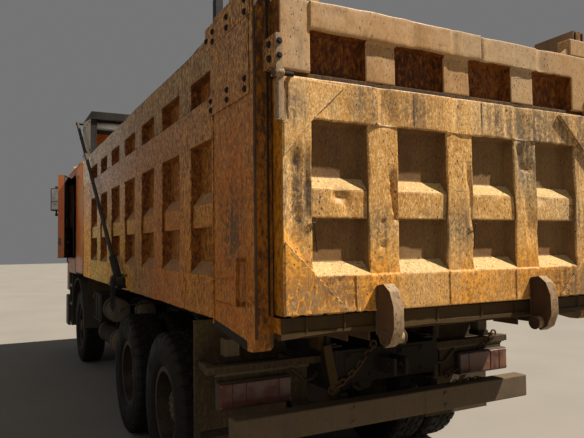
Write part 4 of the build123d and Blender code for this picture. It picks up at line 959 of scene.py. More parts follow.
def corner_warp(co):
    out = co.copy()
    p = co * np.array([2.2, 2.2, 2.2])
    side = (np.abs(co[:, 1]) > 1.2485)
    out[:, 1] -= np.sign(co[:, 1]) * side * (0.0035 + 0.0035 * fbm(p, 61, 3))
    back = co[:, 0] < X(104)
    out[:, 0] += back * (0.003 + 0.003 * fbm(p * 1.7, 62, 3))
    low = gauss(co[:, 2], 1.262, 0.045) * side
    out[:, 2] += low * 0.004 * vnoise(co * 30, 63)
    lip = (np.abs(co[:, 1]) < 1.149) & (co[:, 0] < X(24)) & (co[:, 2] < 1.43)
    out[:, 2] += lip * (0.005 * fbm(co * np.array([0, 2.6, 0]), 64, 2) - 0.001)
    out[:, 0] += lip * 0.006 * (1 + fbm(co * np.array([0, 3.3, 0]), 65, 2))
    return out
def corner_pick(c, n):
    z, y, x = c[2], abs(c[1]), c[0] - REAR
    if y < 1.149 and z < 1.43:
        return 2
    if z > 2.58 and x < 0.1 and y < 1.2:
        return 3 if n[0] < -0.5 else 0
    # rear-facing faces take the darker corner coat: painted shade of the gate's shadow, with dirt
    if n[0] < -0.55:
        return 1
    if n[2] < -0.6:
        return 2
    if abs(n[1]) > 0.6 and n[1] * c[1] < 0 and y < 1.16:
        return 4
    return 0
corner = soften("rear_frame", [mat_body, mat_cornerback_dirt_and_shade, mat_under, mat_strap, mat_inner], 0.006, 2, "rear_corner_skin", cuts=6, warp=corner_warp, pick=corner_pick)

K = Kit()
BODY, STRAP, DARK, RUST = 0, 1, 2, 3
for s in (1, -1):
    o = 1250 * s
    # bolted strap plates and the plate between them
    mm(K, 152, 716, o, o + s * 5, 2652, 2932, 2, 0)
    mm(K, 148, 742, o, o + s * 9, 2533, 2650, 2.5, 0)
    mm(K, 132, 800, o, o + s * 9, 2934, 3072, 2.5, 0)
    for bx, bz in ((182, 2616), (182, 2562), (432, 2618), (432, 2565), (694, 2614), (694, 2562), (181, 3022), (181, 2958), (434, 3022), (434, 2963), (660, 3016), (660, 2958), (767, 2992)):
        K.bolt(pt(bx, o + s * 9, bz), (0, s, 0), 0.013, 0.010, 2)
    # seams and scars
    for a, b in (((716, 2650), (716, 2540)), ((150, 2652), (742, 2652))):
        weld(K, pt(a[0], o + s * 2, a[1]), pt(b[0], o + s * 2, b[1]), 0.0035, 0, 5)
    weld(K, pt(700, o + s, 1583), pt(360, o + s, 1600), 0.005, 0, 7)
    weld(K, pt(654, o + s, 1461), pt(405, o + s, 1455), 0.004, 0, 8)
    weld(K, pt(690, o + s, 1330), pt(690, o + s, 2530), 0.004, 0, 9)
    # inner gusset of the corner, seen under the side
    K.prism([(X(690), 1.357), (X(690), 1.318), (X(205), 1.249), (X(205), 1.30)], "y", s * 1.236, s * 1.249, 2, r=0.002)
    # rear edge: rolled lip of the corner plate
    K.tube([pt(103, s * 1243, z) for z in np.linspace(1320, 3215, 40)], 0.007, 8, 3)
    K.tube([pt(103, s * 1172, z) for z in np.linspace(1430, 3215, 30)], 0.006, 8, 2)
    # post of the upper gate, with its cap and gussets
    y0, y1 = sorted((s * 978, s * 1150))
    mm(K, 0, 100, y0, y1, 2999, 3110, 6, 4)
    K.prism([(s * 0.978, 3.0), (s * 0.978, 3.06), (s * 0.90, 3.0)], "x", X(14), X(26), 4, r=0.002)
    # bolt heads and pads on the bracket that carries the gate
    for bz in (2680, 2750):
        K.bolt(pt(-45, s * 1175, bz), (-1, 0, 0), 0.011, 0.009, 2)
        K.bolt(pt(30, s * 1193, bz), (0, s, 0), 0.013, 0.010, 2)
    K.rod(pt(-22, s * 1090, 2602), pt(-22, s * 1200, 2602), 0.0125, 16, 2)
    K.rod(pt(-22, s * 1193, 2602), pt(-22, s * 1201, 2602), 0.021, 20, 3)
    # ties on the underside beam
    mm(K, 128, 330, s * 560, s * 572, 1255, 1302, 3, 3)
    mm(K, 128, 330, s * 700, s * 712, 1262, 1302, 3, 3)
    # stakes at the top
    mm(K, 692, 740, s * 1180, s * 1230, 3012, 3240, 5, 5)
    mm(K, 686, 746, s * 1172, s * 1238, 3010, 3024, 3, 5)
rearkit = K.obj("rear_fittings", [mat_body, mat_strap, mat_chassis, mat_rust, mat_top, mat_black], "bed", slot="body_orange")

# flange under the beam, wavy, with its thin lit edge
K = Kit()
ys = np.linspace(-1148, 1148, 150)
dz = fbm(np.stack([ys / 260.0, ys * 0, ys * 0], 1), 71, 2)
top = [(pt(26 + 3 * d, y, 1346 - 3 * d)) for y, d in zip(ys, dz)]
v, f = [], []
for y, d in zip(ys, dz):
    zl = 1330 - 12 * max(0, (abs(y) - 1020) / 120.0) + 9 * d
    for x, z in ((22, 1350), (22, zl), (30, zl - 2), (38, zl), (38, 1350)):
        v.append(pt(x + 2 * d, y, z))
for i in range(len(ys) - 1):
    for j in range(5):
        f.append((i * 5 + j, i * 5 + (j + 1) % 5, (i + 1) * 5 + (j + 1) % 5, (i + 1) * 5 + j))
f.append(tuple(range(5))[::-1]); f.append(tuple((len(ys) - 1) * 5 + j for j in range(5)))
K.add(v, [q[::-1] for q in f], 0)
for yc in (-1000, -760, -430, -150, 180, 420, 790, 1010):
    weld(K, pt(21, yc, 1352), pt(21, yc, 1418), 0.004, 0, int(abs(yc)))
K.obj("rear_beam_lip", [mat_under], "bed", slot="body_orange")

# gate fittings: hinge straps, gussets, seams, wires
K = Kit()
for s in (1, -1):
    y0, y1 = sorted((s * 1146, s * 1180))
    mm(K, -34, 12, y0, y1, 2376, 2570, 5, 1)
    mm(K, -34, -4, y0, y1, 2560, 2602, 5, 1)
    mm(K, 4, 60, s * 1139, s * 1152, 2390, 2560, 3, 1)
    K.rod(pt(-22, y0, 2602), pt(-22, y1, 2602), 0.024, 24, 1)
    weld(K, pt(-1, s * 1143, 2385), pt(-1, s * 1143, 2565), 0.005, 1, 3)
    weld(K, pt(-33, y0, 2374), pt(-33, y1, 2374), 0.004, 1, 4)
def plate(K, pts, x0, x1, mat=0, r=0.0025):
    K.prism([(y * 0.001, z * 0.001) for y, z in pts], "x", X(x0), X(x1), mat, r=r)
plate(K, [(785, 2583), (1112, 2598), (1112, 2385), (1135, 2372), (1135, 2212), (965, 2410)], -7, 6)
plate(K, [(1136, 1787), (1136, 1436), (777, 1436), (966, 1621)], -9, 6)
plate(K, [(-828, 2583), (-1112, 2598), (-1112, 2385), (-1135, 2372), (-1135, 2275), (-1080, 2337), (-960, 2455)], -24, 4)
plate(K, [(-1136, 1760), (-1136, 1436), (-806, 1436), (-1045, 1673)], -16, 4)
for a, b, r in (((785, 2583), (965, 2410), 4), ((965, 2410), (1135, 2212), 4), ((1136, 1787), (966, 1621), 5), ((966, 1621), (777, 1436), 5), ((-828, 2581), (-1080, 2337), 5), ((-806, 1436), (-1045, 1673), 4)):
    weld(K, pt(-5, a[0], a[1]), pt(-5, b[0], b[1]), r * 0.001, 0, int(abs(a[0])))
# seams of the lower rail and the rail laps
for y, z0, z1 in ((728, 1618, 1433), (100, 1616, 1433), (-420, 1610, 1440)):
    weld(K, pt(-1, y, z0), pt(-1, y - 3, z1), 0.0045, 0, int(abs(y)))
for y, z0, z1 in ((-174, 2600, 2404), (330, 2600, 2404)):
    weld(K, pt(0, y, z0), pt(0, y, z1), 0.0035, 0, int(abs(y)) + 1)
# wires tied in the bays: from a loop at the rib's edge straight down into the bay
for a, b in ((pt(-8, 975, 1884), pt(58, 925, 1738)), (pt(-8, -92, 1884), pt(58, -140, 1735))):
    a, b = np.array(a), np.array(b)
    K.tube([a, a + (b - a) * 0.35 + np.array([0.004, 0, 0]), a + (b - a) * 0.7, b], 0.0040, 6, 2)
    K.tube([a + np.array([0.0, 0.010 * math.cos(t), 0.012 + 0.014 * math.sin(t)]) for t in np.linspace(0, 5.6, 16)], 0.0032, 6, 2)
K.obj("gate_fittings", [mat_gate, mat_strap, mat_rust], "tailgate", slot="body_orange")
# dark bar behind the gap between the two gates: painted shade that stands in for the gap's shadow
K = Kit()
mm(K, 22, 62, -1112, 1112, 2610, 2633, 3, 0)
# stop angles on the corners, just ahead of the closed gate
for s in (1, -1):
    mm(K, 123, 133, s * 1070, s * 1152, 1434, 2628, 3, 0)
K.obj("gate_gap_shade_and_stops", [mat_gap_shade], "bed", slot="body_orange")

# locking lugs
def lug_shade_pick(c, n):
    # sides (normal along y) take the dark rusty coat and the other faces the pale strap coat: painted shade on the
    # sides and painted light on the rims
    return 0 if abs(n[1]) > 0.7 else 1
soften("gate_lugs", [mat_rust, mat_strap], 0.004, 2, "gate_lug_skin", pick=lug_shade_pick, cuts=3)
K = Kit()
for s in (1, -1):
    for side in (538.5, 606.5):
        K.tube([pt(-60 + 34 * math.cos(t), s * side, 1295 + 34 * math.sin(t)) for t in np.linspace(0, 2 * math.pi, 28, endpoint=False)], 0.006, 8, 0, closed=True)
    y0, y1 = sorted((s * 486, s * 495))
    K.rod(pt(-60, y0, 1295), pt(-60, y1, 1295), 0.040, 20, 0)
    K.rod(pt(-60, s * 480, 1295), pt(-60, s * 486, 1295), 0.016, 6, 0)
    for za, zb in ((1308, 1430), (1440, 1552)):
        weld(K, pt(-2, s * 537, za), pt(-2, s * 537, zb), 0.006, 0, 11)
        weld(K, pt(-2, s * 608, za), pt(-2, s * 608, zb), 0.006, 0, 12)
K.obj("gate_lug_details", [mat_rust], "tailgate", slot="rust_steel")

# ================================================================ cover frame's pivot seats on the sides
K = Kit()
for s in (1, -1):
    o = s * 1250
    mm(K, 3110, 3290, o - s * 4, o + s * 12, 1370, 1520, 4, 0)
    y0, y1 = sorted((o + s * 11, o + s * 28))
    K.rod(pt(3200, y0, 1430), pt(3200, y1, 1430), 0.058, 32, 1)
    for bx, bz in ((3130, 1390), (3270, 1390), (3130, 1500), (3270, 1500)):
        K.bolt(pt(bx, o + s * 12, bz), (0, s, 0), 0.011, 0.008, 1)
    # joints of the side plates
    for wx in (1254, 2680, 4126, 5500):
        weld(K, pt(wx, o + s * 0.5, 1370), pt(wx + 4, o + s * 0.5, 1590), 0.0045, 0, wx)
    weld(K, pt(5494, o, 1600), pt(5494, o, 2640), 0.004, 0, 3)
K.obj("side_fittings", [mat_body, mat_chassis], "bed", slot="body_orange")

# ================================================================ tyres
def rubber(name, tread):
    g = Graph(name)
    P = g.P
    n1 = g.noise(P, 6, 6, 0.65); n2 = g.noise(P, 70, 5, 0.7); n3 = g.noise(P, 1.2, 3, 0.5)
    col = g.ramp(g.add(g.mul(n1, 0.6), g.mul(n2, 0.4)), [(0.35, "#0a0908"), (0.6, "#12100e")])
    dust = g.range(g.add(g.mul(n1, 0.5), g.add(g.mul(n3, 0.3), g.mul(n2, 0.2))), 0.40, 0.60)
    col = g.mix(g.mul(dust, 0.34 if tread else 0.18), col, "#342b20")
    e = g.edge(0.006, 4)
    col = g.mix(g.mul(e, 0.28), col, "#4c4030")
    return g.finish(color=col, rough=g.range(dust, 0, 1, 0.62, 0.92), normal=g.bump(g.add(n2, g.mul(n1, 0.5)), 0.3, 0.002), Metallic=0.0, Specular_IOR_Level=0.25)
mat_tread, mat_wall = rubber("tyre_tread", True), rubber("tyre_wall", False)

H2 = 157.5
HALF_ROWS = [(285.6, 114), (292, 114), (301, 115.5), (303.5, 121), (312, 129), (316, 134), (320, 133), (330, 142), (352, 149.5), (380, 154), (410, 156.6), (414, 157.4), (430, 157.4), (436, 156.2), (468, 155.4),
             (472, 153.5), (500, 151.5), (508, 150.5), (520, 146), (531, 141.5), (541, 135.5), (549, 128), (553.5, 121), (555.5, 114)]
CROWN = [92, 70, 66.5, 60.5, 57, 40, 22, 11, 8.5, 3]
def tyre_mesh():
    rows = [(r, -y, 0) for r, y in HALF_ROWS] + [(557 - (y / 115.0) ** 2 * 1.6, -y, 1) for y in CROWN] + [(557 - (y / 115.0) ** 2 * 1.6, y, 1) for y in CROWN[::-1]] + [(r, y, 0) for r, y in HALF_ROWS[::-1]]
    pitches = 34
    frac = [0.0, 0.035, 0.25, 0.475, 0.54, 0.72, 0.90]
    ang = np.array([(k + f) / pitches * 2 * math.pi for k in range(pitches) for f in frac])
    ph = np.array([f for k in range(pitches) for f in frac])
    odd = np.array([k % 2 for k in range(pitches) for f in frac])
    nr, na = len(rows), len(ang)
    R = np.zeros((na, nr)); Y = np.zeros((na, nr))
    for j, (r, y, kind) in enumerate(rows):
        rr = np.full(na, float(r)); yy = np.full(na, float(y))
        a = abs(y)
        lat = (ph >= 0.475) & (ph <= 0.90)                 # shoulder groove, wide
        if r > 515 or kind:
            wob = 4.5 * np.sin(2 * math.pi * ph)
            if 57.5 < a < 69.0 and kind:
                rr -= 15; yy += wob
            elif a > 60 or not kind:
                depth = 17.0 * ramp01(np.array([float(r)]), 508, 545)[0] if not kind else 17.0
                rr = np.where(lat & (ph > 0.50) & (ph < 0.88), rr - depth, rr)
                if a < 75: yy += wob
            elif 8.0 < a < 12.0:
                rr -= 13; yy += wob
            elif a > 12:
                g2 = (ph >= 0.035) & (ph <= 0.25)
                rr = np.where(g2, rr - 12, rr)
                if a > 50: yy += wob
                # sipe
                rr = np.where((ph >= 0.71) & (ph < 0.73), rr - 4, rr)
            else:
                rr = np.where((ph >= 0.54) & (ph <= 0.72), rr - 11, rr); yy += wob
        elif 440 < r < 512:
            rr = rr - 0
            yy = np.sign(y) * (a + np.where((ph > 0.54) & (ph < 0.90), -3.0, 0.0))
        R[:, j], Y[:, j] = rr, yy
    v = np.stack([R * np.cos(ang)[:, None] * 0.001, Y * 0.001, R * np.sin(ang)[:, None] * 0.001], -1).reshape(-1, 3)
    f, m = [], []
    for i in range(na):
        i2 = (i + 1) % na
        for j in range(nr - 1):
            f.append((i * nr + j, i * nr + j + 1, i2 * nr + j + 1, i2 * nr + j))
            m.append(0 if rows[j][0] > 525 else 1)
        # inside of the casing, bead to bead
        f.append((i * nr + nr - 1, i * nr, i2 * nr, i2 * nr + nr - 1)); m.append(1)
    return v, f, m
TV, TF, TM = tyre_mesh()
def tyre_at(K, x, y, spin, crushed=0.0):
    c, s_ = math.cos(spin), math.sin(spin)
    v = TV.copy()
    v = np.stack([v[:, 0] * c - v[:, 2] * s_, v[:, 1], v[:, 0] * s_ + v[:, 2] * c], 1)
    v = v + np.array([x, y, AXLE_Z])
    K.v.append(v); K.f.extend([tuple(q + K.n for q in f) for f in TF]); K.m.extend(TM); K.n += len(v)

def rim_paint(name):
    g = Graph(name)
    P = g.P
    n1 = g.noise(P, 5, 6, 0.65); n2 = g.noise(P, 60, 5, 0.7)
    col = g.ramp(g.add(g.mul(n1, 0.6), g.mul(n2, 0.4)), [(0.35, "#231d18"), (0.5, "#362d25"), (0.62, "#473b30")])
    rust = g.range(g.add(g.mul(n1, 0.5), g.mul(n2, 0.5)), 0.54, 0.64)
    col = g.mix(g.mul(rust, 0.8), col, g.mix(g.range(n2, 0.45, 0.6), "#4a2c1b", "#6b4329"))
    dust = g.range(g.add(g.mul(n1, 0.7), g.mul(n2, 0.3)), 0.42, 0.60)
    col = g.mix(g.mul(dust, 0.45), col, "#52422f")
    col = g.mix(g.mul(g.edge(0.005, 4), 0.5), col, "#8b7860")
    return g.finish(color=col, rough=g.range(n1, 0.3, 0.7, 0.5, 0.85), normal=g.bump(g.add(n2, n1), 0.35, 0.002), Metallic=0.0, Specular_IOR_Level=0.3)
mat_rim = rim_paint("rim_paint")
mat_nut = painted("wheel_nuts", ["#3a2a1e", "#4b382a", "#5c4736", "#6a5544"], "#7a6650", "#241a12", dust_amt=0.5, rust_amt=0.8, speck=0.4, streak=0.2, rough=0.7, bumpy=0.4)

def wheel_parts(name, side, s, x):
    body = "%s_%s_wheel" % (name, side)
    rng = np.random.RandomState(abs(hash3(np.int64(int(x * 100)), np.int64(int(s)), np.int64(3), 5) * 1e6).astype(int) % 9999)
    K = Kit()
    for k, yc in enumerate((1.0925, 0.7425) if name != "front" else (1.03,)):
        tyre_at(K, x, s * yc, rng.uniform(0, 6.28))
    tn = "%s_%s_tyre" % (name, side)
    K.obj(tn + "_skin", [mat_tread, mat_wall], body, replaces=(tn,), slot="tyre_black", angle=38)
    rn = "%s_%s_rim" % (name, side)
    paint(rn, mat_rim)
    K = Kit()
    if name == "front":
        bolt_r, y_face, hub_r, y_hub, nb = 0.168, 1.066, 0.080, 1.1655, 8
        hub_ring_y = 1.104
    else:
        bolt_r, y_face, hub_r, y_hub, nb = 0.185, 0.957, 0.085, 1.153, 10
        hub_ring_y = 0.984
    for k in range(10):
        w = 2 * math.pi * (k + 0.5) / 10
        p = (x + bolt_r * math.cos(w), s * (y_face + (0.002 if name == "front" else -0.001)), AXLE_Z + bolt_r * math.sin(w))
        if name == "front":
            K.bolt(p, (0, s, 0), 0.017, 0.024, 0)
            K.rod((p[0], p[1] + s * 0.022, p[2]), (p[0], p[1] + s * 0.040, p[2]), 0.010, 10, 0)
        else:
            K.bolt(p, (0, s, 0), 0.017, 0.026, 0)
            K.rod((p[0], p[1] + s * 0.022, p[2]), (p[0], p[1] + s * 0.046, p[2]), 0.011, 10, 0)
    for k in range(nb):
        w = 2 * math.pi * k / nb
        rr = 0.062 if name == "front" else 0.080
        if name != "front":
            K.bolt((x + rr * math.cos(w), s * y_hub, AXLE_Z + rr * math.sin(w)), (0, s, 0), 0.010, 0.010, 0, washer=False)
        rr2 = 0.118 if name == "front" else 0.135
        yy = 1.0945 if name == "front" else 0.9835
        K.bolt((x + rr2 * math.cos(w + 0.2), s * (yy - (0.004 if name == "front" else 0.004)), AXLE_Z + rr2 * math.sin(w + 0.2)), (0, s, 0), 0.010, 0.012, 0, washer=False)
    # hub end: ring and centre boss
    K.tube([(x + 0.068 * math.cos(t), s * (1.158 if name == "front" else 1.150), AXLE_Z + 0.068 * math.sin(t)) for t in np.linspace(0, 2 * math.pi, 40, endpoint=False)], 0.006, 8, 0, closed=True)
    K.rod((x, s * (1.15 if name == "front" else 1.145), AXLE_Z), (x, s * (1.168 if name == "front" else 1.164), AXLE_Z), 0.022, 6, 0)
    # lock ring of the rim and valve
    yr = 1.03 + 0.1235 if name == "front" else 1.0925 + 0.1235
    K.tube([(x + 0.278 * math.cos(t), s * (yr - 0.012), AXLE_Z + 0.278 * math.sin(t)) for t in np.linspace(0.1, 2 * math.pi - 0.06, 60)], 0.006, 8, 1)
    va = rng.uniform(0, 6.28)
    K.tube([(x + r_ * math.cos(va), s * y_, AXLE_Z + r_ * math.sin(va)) for r_, y_ in ((0.262, yr - 0.08), (0.256, yr - 0.05), (0.246, yr - 0.02), (0.240, yr - 0.005))], 0.0045, 8, 0)
    K.obj(rn + "_nuts", [mat_nut, mat_rim], body, slot="rim_grey")
for wname, wx in (("front", X_FRONT), ("mid", X_MID), ("rear", X_BACK)):
    for side, s in SIDES:
        wheel_parts(wname, side, s, wx)

# ================================================================ chassis
mat_tank = painted("tank_dust", ["#4b4439", "#5c5346", "#6c6253", "#7a6f60"], "#7c6d58", "#332b22", rust="#3f2a1b", dust_amt=0.7, rust_amt=0.2, speck=0.3, streak=0.5, rough=0.65, edge=0.4, edge_col="#9a8e7c",
                   bumpy=0.35)
def lamp_mat():
    g = Graph("lamp_lens")
    n1 = g.noise(g.P, 9, 5, 0.6); n2 = g.noise(g.P, 90, 4, 0.7)
    wv = g.math("SINE", g.mul(g.split(g.P)[1], 900.0))
    col = g.ramp(n1, [(0.35, "#3a0f05"), (0.6, "#5c1f0b")])
    dust = g.range(g.add(g.mul(n1, 0.7), g.mul(n2, 0.3)), 0.38, 0.62)
    # the dust runs from pale on the right lamp to dark on the left lamp: painted shade on the left lamp
    col = g.mix(g.mul(dust, 0.5), col, g.mix(g.range(g.split(g.P)[1], -0.3, 0.3), "#8a6a50", "#3c2110"))
    return g.finish(color=col, rough=g.range(dust, 0, 1, 0.28, 0.8), normal=g.bump(g.add(g.mul(wv, 0.3), n2), 0.3, 0.0015), Metallic=0.0, Coat_Weight=0.2)
mat_lamp = lamp_mat()
mat_cast = painted("oily_cast", ["#1a1613", "#241f1a", "#2f2820", "#3a3128"], "#4d4031", "#120f0c", rust="#2f1d10", dust_amt=0.6, rust_amt=0.4, speck=0.2, streak=0.4, rough=0.75, edge=0.4, edge_col="#5f523f",
                   bumpy=0.7)
mat_glint = painted("zinc_fittings", ["#4c473f", "#5a554c", "#68635a", "#77726a"], "#7c6d58", "#2e2922", rust="#4a2f1c", dust_amt=0.5, rust_amt=0.4, speck=0.2, streak=0.2, rough=0.5, bumpy=0.3)

for node, mat, wid in (("frame_rails", mat_chassis, 0.004), ("cross_members", mat_chassis, 0.004), ("front_axle", mat_cast, 0.006), ("underrun_bar", mat_bar, 0.010), ("fuel_tank", mat_tank, 0.0),
                       ("battery_box", mat_chassis, 0.006), ("engine_block", mat_cast, 0.010), ("bumper", mat_black, 0.012), ("wheel_arches", mat_black, 0.004), ("cab_steps", mat_black, 0.003)):
    if wid:
        soften(node, [mat], wid, 2)
    else:
        paint(node, mat)
for node in ("drive_axles", "air_tanks", "left_knuckle", "right_knuckle", "tie_rod"):
    paint(node, mat_cast if node != "air_tanks" else mat_chassis)

# leaf packs: each leaf its own strip, with clips and U-bolts
K = Kit()
def leaf_pack(K, xc, y0, y1, half, z_mid, z_end, n, t, taper, up=True, mat=0):
    for k in range(n):
        h = half - k * taper
        u = np.linspace(-1, 1, 25)
        zc = z_mid + (z_end - z_mid) * (u * h / half) ** 2 + (k * (t + 0.0008)) * (-1 if up else 1)
        pts_top = [(xc + a * h, z_) for a, z_ in zip(u, zc + t / 2)]
        pts_bot = [(xc + a * h, z_) for a, z_ in zip(u[::-1], (zc - t / 2)[::-1])]
        K.prism(pts_top + pts_bot, "y", y0, y1, mat, r=0.0015)
for s in (1, -1):
    y0, y1 = sorted((s * 0.350, s * 0.430))
    leaf_pack(K, X_FRONT, y0, y1, 0.79, 0.682, 0.778, 6, 0.0135, 0.10, True)
    for sx in (-1, 1):
        for yy in (s * 0.352, s * 0.428):
            K.tube([(X_FRONT + sx * 0.075, yy, 0.57), (X_FRONT + sx * 0.075, yy, 0.705), (X_FRONT + sx * 0.075, yy, 0.712)], 0.009, 10, 1)
            K.rod((X_FRONT + sx * 0.075, yy, 0.548), (X_FRONT + sx * 0.075, yy, 0.560), 0.015, 6, 1)
        K.rod((X_FRONT + sx * 0.80, s * 0.345, 0.78), (X_FRONT + sx * 0.80, s * 0.436, 0.78), 0.030, 20, 1)
        K.rod((X_FRONT + sx * 0.40, s * 0.346, 0.68), (X_FRONT + sx * 0.40, s * 0.434, 0.68), 0.008, 8, 1)
    mm(K, 6968, 7192, s * 345, s * 435, 546, 606, 6, 1)
    mm(K, 6976, 7184, s * 347, s * 433, 690, 708, 4, 1)
    for hx in (6230, 7850):
        mm(K, hx, hx + 80, s * 352, s * 366, 740, 822, 4, 1)
        mm(K, hx, hx + 80, s * 416, s * 430, 740, 822, 4, 1)
    # damper
    K.rod((X_FRONT + 0.18, s * 0.50, 0.60), (X_FRONT + 0.30, s * 0.50, 0.83), 0.030, 20, 1)
    K.rod((X_FRONT + 0.30, s * 0.50, 0.83), (X_FRONT + 0.38, s * 0.50, 0.98), 0.038, 20, 1)
    K.rod((X_FRONT + 0.38, s * 0.43, 0.985), (X_FRONT + 0.38, s * 0.53, 0.985), 0.014, 12, 1)
    K.rod((X_FRONT + 0.18, s * 0.44, 0.595), (X_FRONT + 0.18, s * 0.53, 0.595), 0.014, 12, 1)
    # bogie: pack on a trunnion, ends on the axles
    bog = (X_MID + X_BACK) / 2
    y0, y1 = sorted((s * 0.450, s * 0.540))
    leaf_pack(K, bog, y0, y1, 0.765, 0.900, 0.715, 11, 0.0155, 0.042, True)
    for sx in (-1, 1):
        for yy in (s * 0.454, s * 0.537):
            K.tube([(bog + sx * 0.095, yy, 0.72), (bog + sx * 0.095, yy, 0.918), (bog + sx * 0.095, yy, 0.924)], 0.011, 10, 1)
        K.rod((bog + sx * 0.36, s * 0.446, 0.80), (bog + sx * 0.36, s * 0.543, 0.80), 0.009, 8, 1)
    mm(K, (bog - REAR) * 1000 - 120, (bog - REAR) * 1000 + 120, s * 448, s * 542, 908, 925, 5, 1)
    K.prism([(bog - 0.22, 1.055), (bog + 0.22, 1.055), (bog + 0.16, 0.70), (bog + 0.06, 0.52), (bog - 0.06, 0.52), (bog - 0.16, 0.70)], "y", s * 0.4315, s * 0.446, 1, r=0.003)
    K.rod((bog, s * 0.430, 0.62), (bog, s * 0.545, 0.62), 0.092, 32, 1)
    K.rod((bog, s * 0.540, 0.62), (bog, s * 0.549, 0.62), 0.055, 24, 1)
    K.box(bog - 0.11, bog + 0.11, s * 0.450, s * 0.540, 0.66, 0.725, 0.006, 1)
    for k in range(8):
        w = k * math.pi / 4
        K.bolt((bog + 0.075 * math.cos(w), s * 0.545, 0.62 + 0.075 * math.sin(w)), (0, s, 0), 0.009, 0.004, 1, washer=False)
    for bx in (-0.18, -0.06, 0.06, 0.18):
        K.bolt((bog + bx, s * 0.446, 1.02), (0, s, 0), 0.013, 0.011, 1)
        K.bolt((bog + bx, s * 0.446, 0.93), (0, s, 0), 0.013, 0.011, 1)
K.obj("leaf_spring_packs", [mat_chassis, mat_cast], "chassis", replaces=("leaf_springs",), slot="frame_dark")

# rails: rivets, brackets, wiring and air pipes
K = Kit()
for s in (1, -1):
    for rx in list(range(960, 8200, 165)):
        for rz in (870, 1065):
            if (rx // 165) % 3 != 0 or rz == 870:
                K.bolt(pt(rx, s * 430, rz), (0, s, 0), 0.011, 0.008, 0, washer=False)
    mm(K, 780, 5800, s * 372, s * 420, 1115, 1126, 3, 2)
    K.tube([pt(x_, s * (436 + 3 * math.sin(x_ / 300.0)), 1000 + 5 * math.sin(x_ / 210.0)) for x_ in range(900, 6400, 120)], 0.011, 8, 1)
    K.tube([pt(x_, s * (444 + 2 * math.sin(x_ / 250.0)), 975 + 4 * math.sin(x_ / 180.0)) for x_ in range(900, 2300, 100)], 0.008, 8, 1)
    for cx in range(1000, 6300, 480):
        mm(K, cx, cx + 22, s * 429, s * 450, 962, 1016, 3, 0)
for tx_ in (820, 2578, 4200, 5500, 6115):
    for s in (1, -1):
        for dz_ in (900, 950, 1000):
            K.bolt(pt(tx_ - 12, s * 430, dz_), (0, s, 0), 0.012, 0.009, 0)
# brake chambers and torque arms on the drive axles
for ax in (X_MID, X_BACK):
    for s in (1, -1):
        c = np.array([ax - 0.22, s * 0.36, 0.62])
        K.rod(c + np.array([0, 0, 0]), c + np.array([-0.07, 0, 0.02]), 0.080, 28, 3)
        K.rod(c + np.array([-0.07, 0, 0.02]), c + np.array([-0.16, 0, 0.045]), 0.072, 28, 3)
        K.tube([c + np.array([-0.075 + 0.0006 * 0, 0.083 * math.cos(t), 0.021 + 0.083 * math.sin(t)]) for t in np.linspace(0, 2 * math.pi, 32, endpoint=False)], 0.006, 8, 3, closed=True)
        K.rod(c + np.array([0, 0, 0]), c + np.array([0.12, s * 0.05, -0.02]), 0.010, 10, 0)
        K.tube([c + np.array([-0.10, 0, 0.12]), c + np.array([-0.10, s * 0.02, 0.20]), c + np.array([-0.06, s * 0.05, 0.27]), c + np.array([0.0, s * 0.06, 0.34])], 0.009, 8, 1)
    K.rod((ax, 0, 0.70), (ax + 0.52, 0, 0.93), 0.026, 16, 0)
    K.rod((ax, -0.05, 0.70), (ax, 0.05, 0.70), 0.045, 20, 0)
    K.tube([(ax + 0.105, 0.20 * math.cos(t), AXLE_Z + 0.20 * math.sin(t)) for t in np.linspace(0, 2 * math.pi, 48, endpoint=False)], 0.012, 8, 3, closed=True)
    for k in range(14):
        w = 2 * math.pi * k / 14
        K.bolt((ax - 0.1, 0.185 * math.cos(w), AXLE_Z + 0.185 * math.sin(w)), (-1, 0, 0), 0.011, 0.010, 3, washer=False)
    K.rod((ax - 0.100, 0, AXLE_Z), (ax - 0.155, 0, AXLE_Z), 0.15, 40, 3, r2=0.10)
K.obj("frame_fittings", [mat_chassis, mat_black, mat_bar, mat_cast], "chassis", slot="frame_dark")

# rear of the frame: plate, hook, lever, chains, lamps, mudguards
def link(K, c, d, n, size, r, mat):
    """One chain link centred at c, long along d, in the plane of d and n."""
    c, d, n = np.asarray(c, float), np.asarray(d, float), np.asarray(n, float)
    d = d / np.linalg.norm(d); n = n - d * np.dot(n, d); n = n / np.linalg.norm(n)
    L, W = size
    path = []
    for k in range(16):
        t = 2 * math.pi * k / 16
        e = np.array([math.cos(t), math.sin(t)])
        path.append(c + d * (e[0] * W / 2 + math.copysign((L - W) / 2, e[0])) + n * e[1] * W / 2)
    K.tube(path, r, 7, mat, closed=True)
def chain(K, pts, size=(0.056, 0.036), r=0.0058, mat=0, seed=1):
    pts = np.asarray(pts, float)
    seg = np.linalg.norm(np.diff(pts, axis=0), axis=1); s_ = np.concatenate([[0], np.cumsum(seg)])
    pitch = size[0] - 2 * r * 1.05
    n = int(s_[-1] / pitch)
    rng = np.random.RandomState(seed)
    pos = lambda t: np.array([np.interp(t, s_, pts[:, k]) for k in range(3)])
    for i in range(n):
        a, b = pos(i * pitch), pos((i + 1) * pitch)
        d = b - a
        side = np.cross(d, [0, 0, 1.0])
        if np.linalg.norm(side) < 1e-4: side = np.array([0, 1.0, 0])
        up = np.cross(side, d)
        nn = side / np.linalg.norm(side) if i % 2 == 0 else up / np.linalg.norm(up)
        nn = nn + 0.25 * rng.normal(0, 1, 3) * 0.5
        link(K, (a + b) / 2, d, nn, size, r, mat)
def sagged(a, b, sag, n=24):
    a, b = np.array(a, float), np.array(b, float)
    t = np.linspace(0, 1, n)[:, None]
    p = a + (b - a) * t
    p[:, 2:3] -= sag * 4 * t * (1 - t)
    return p
K = Kit()
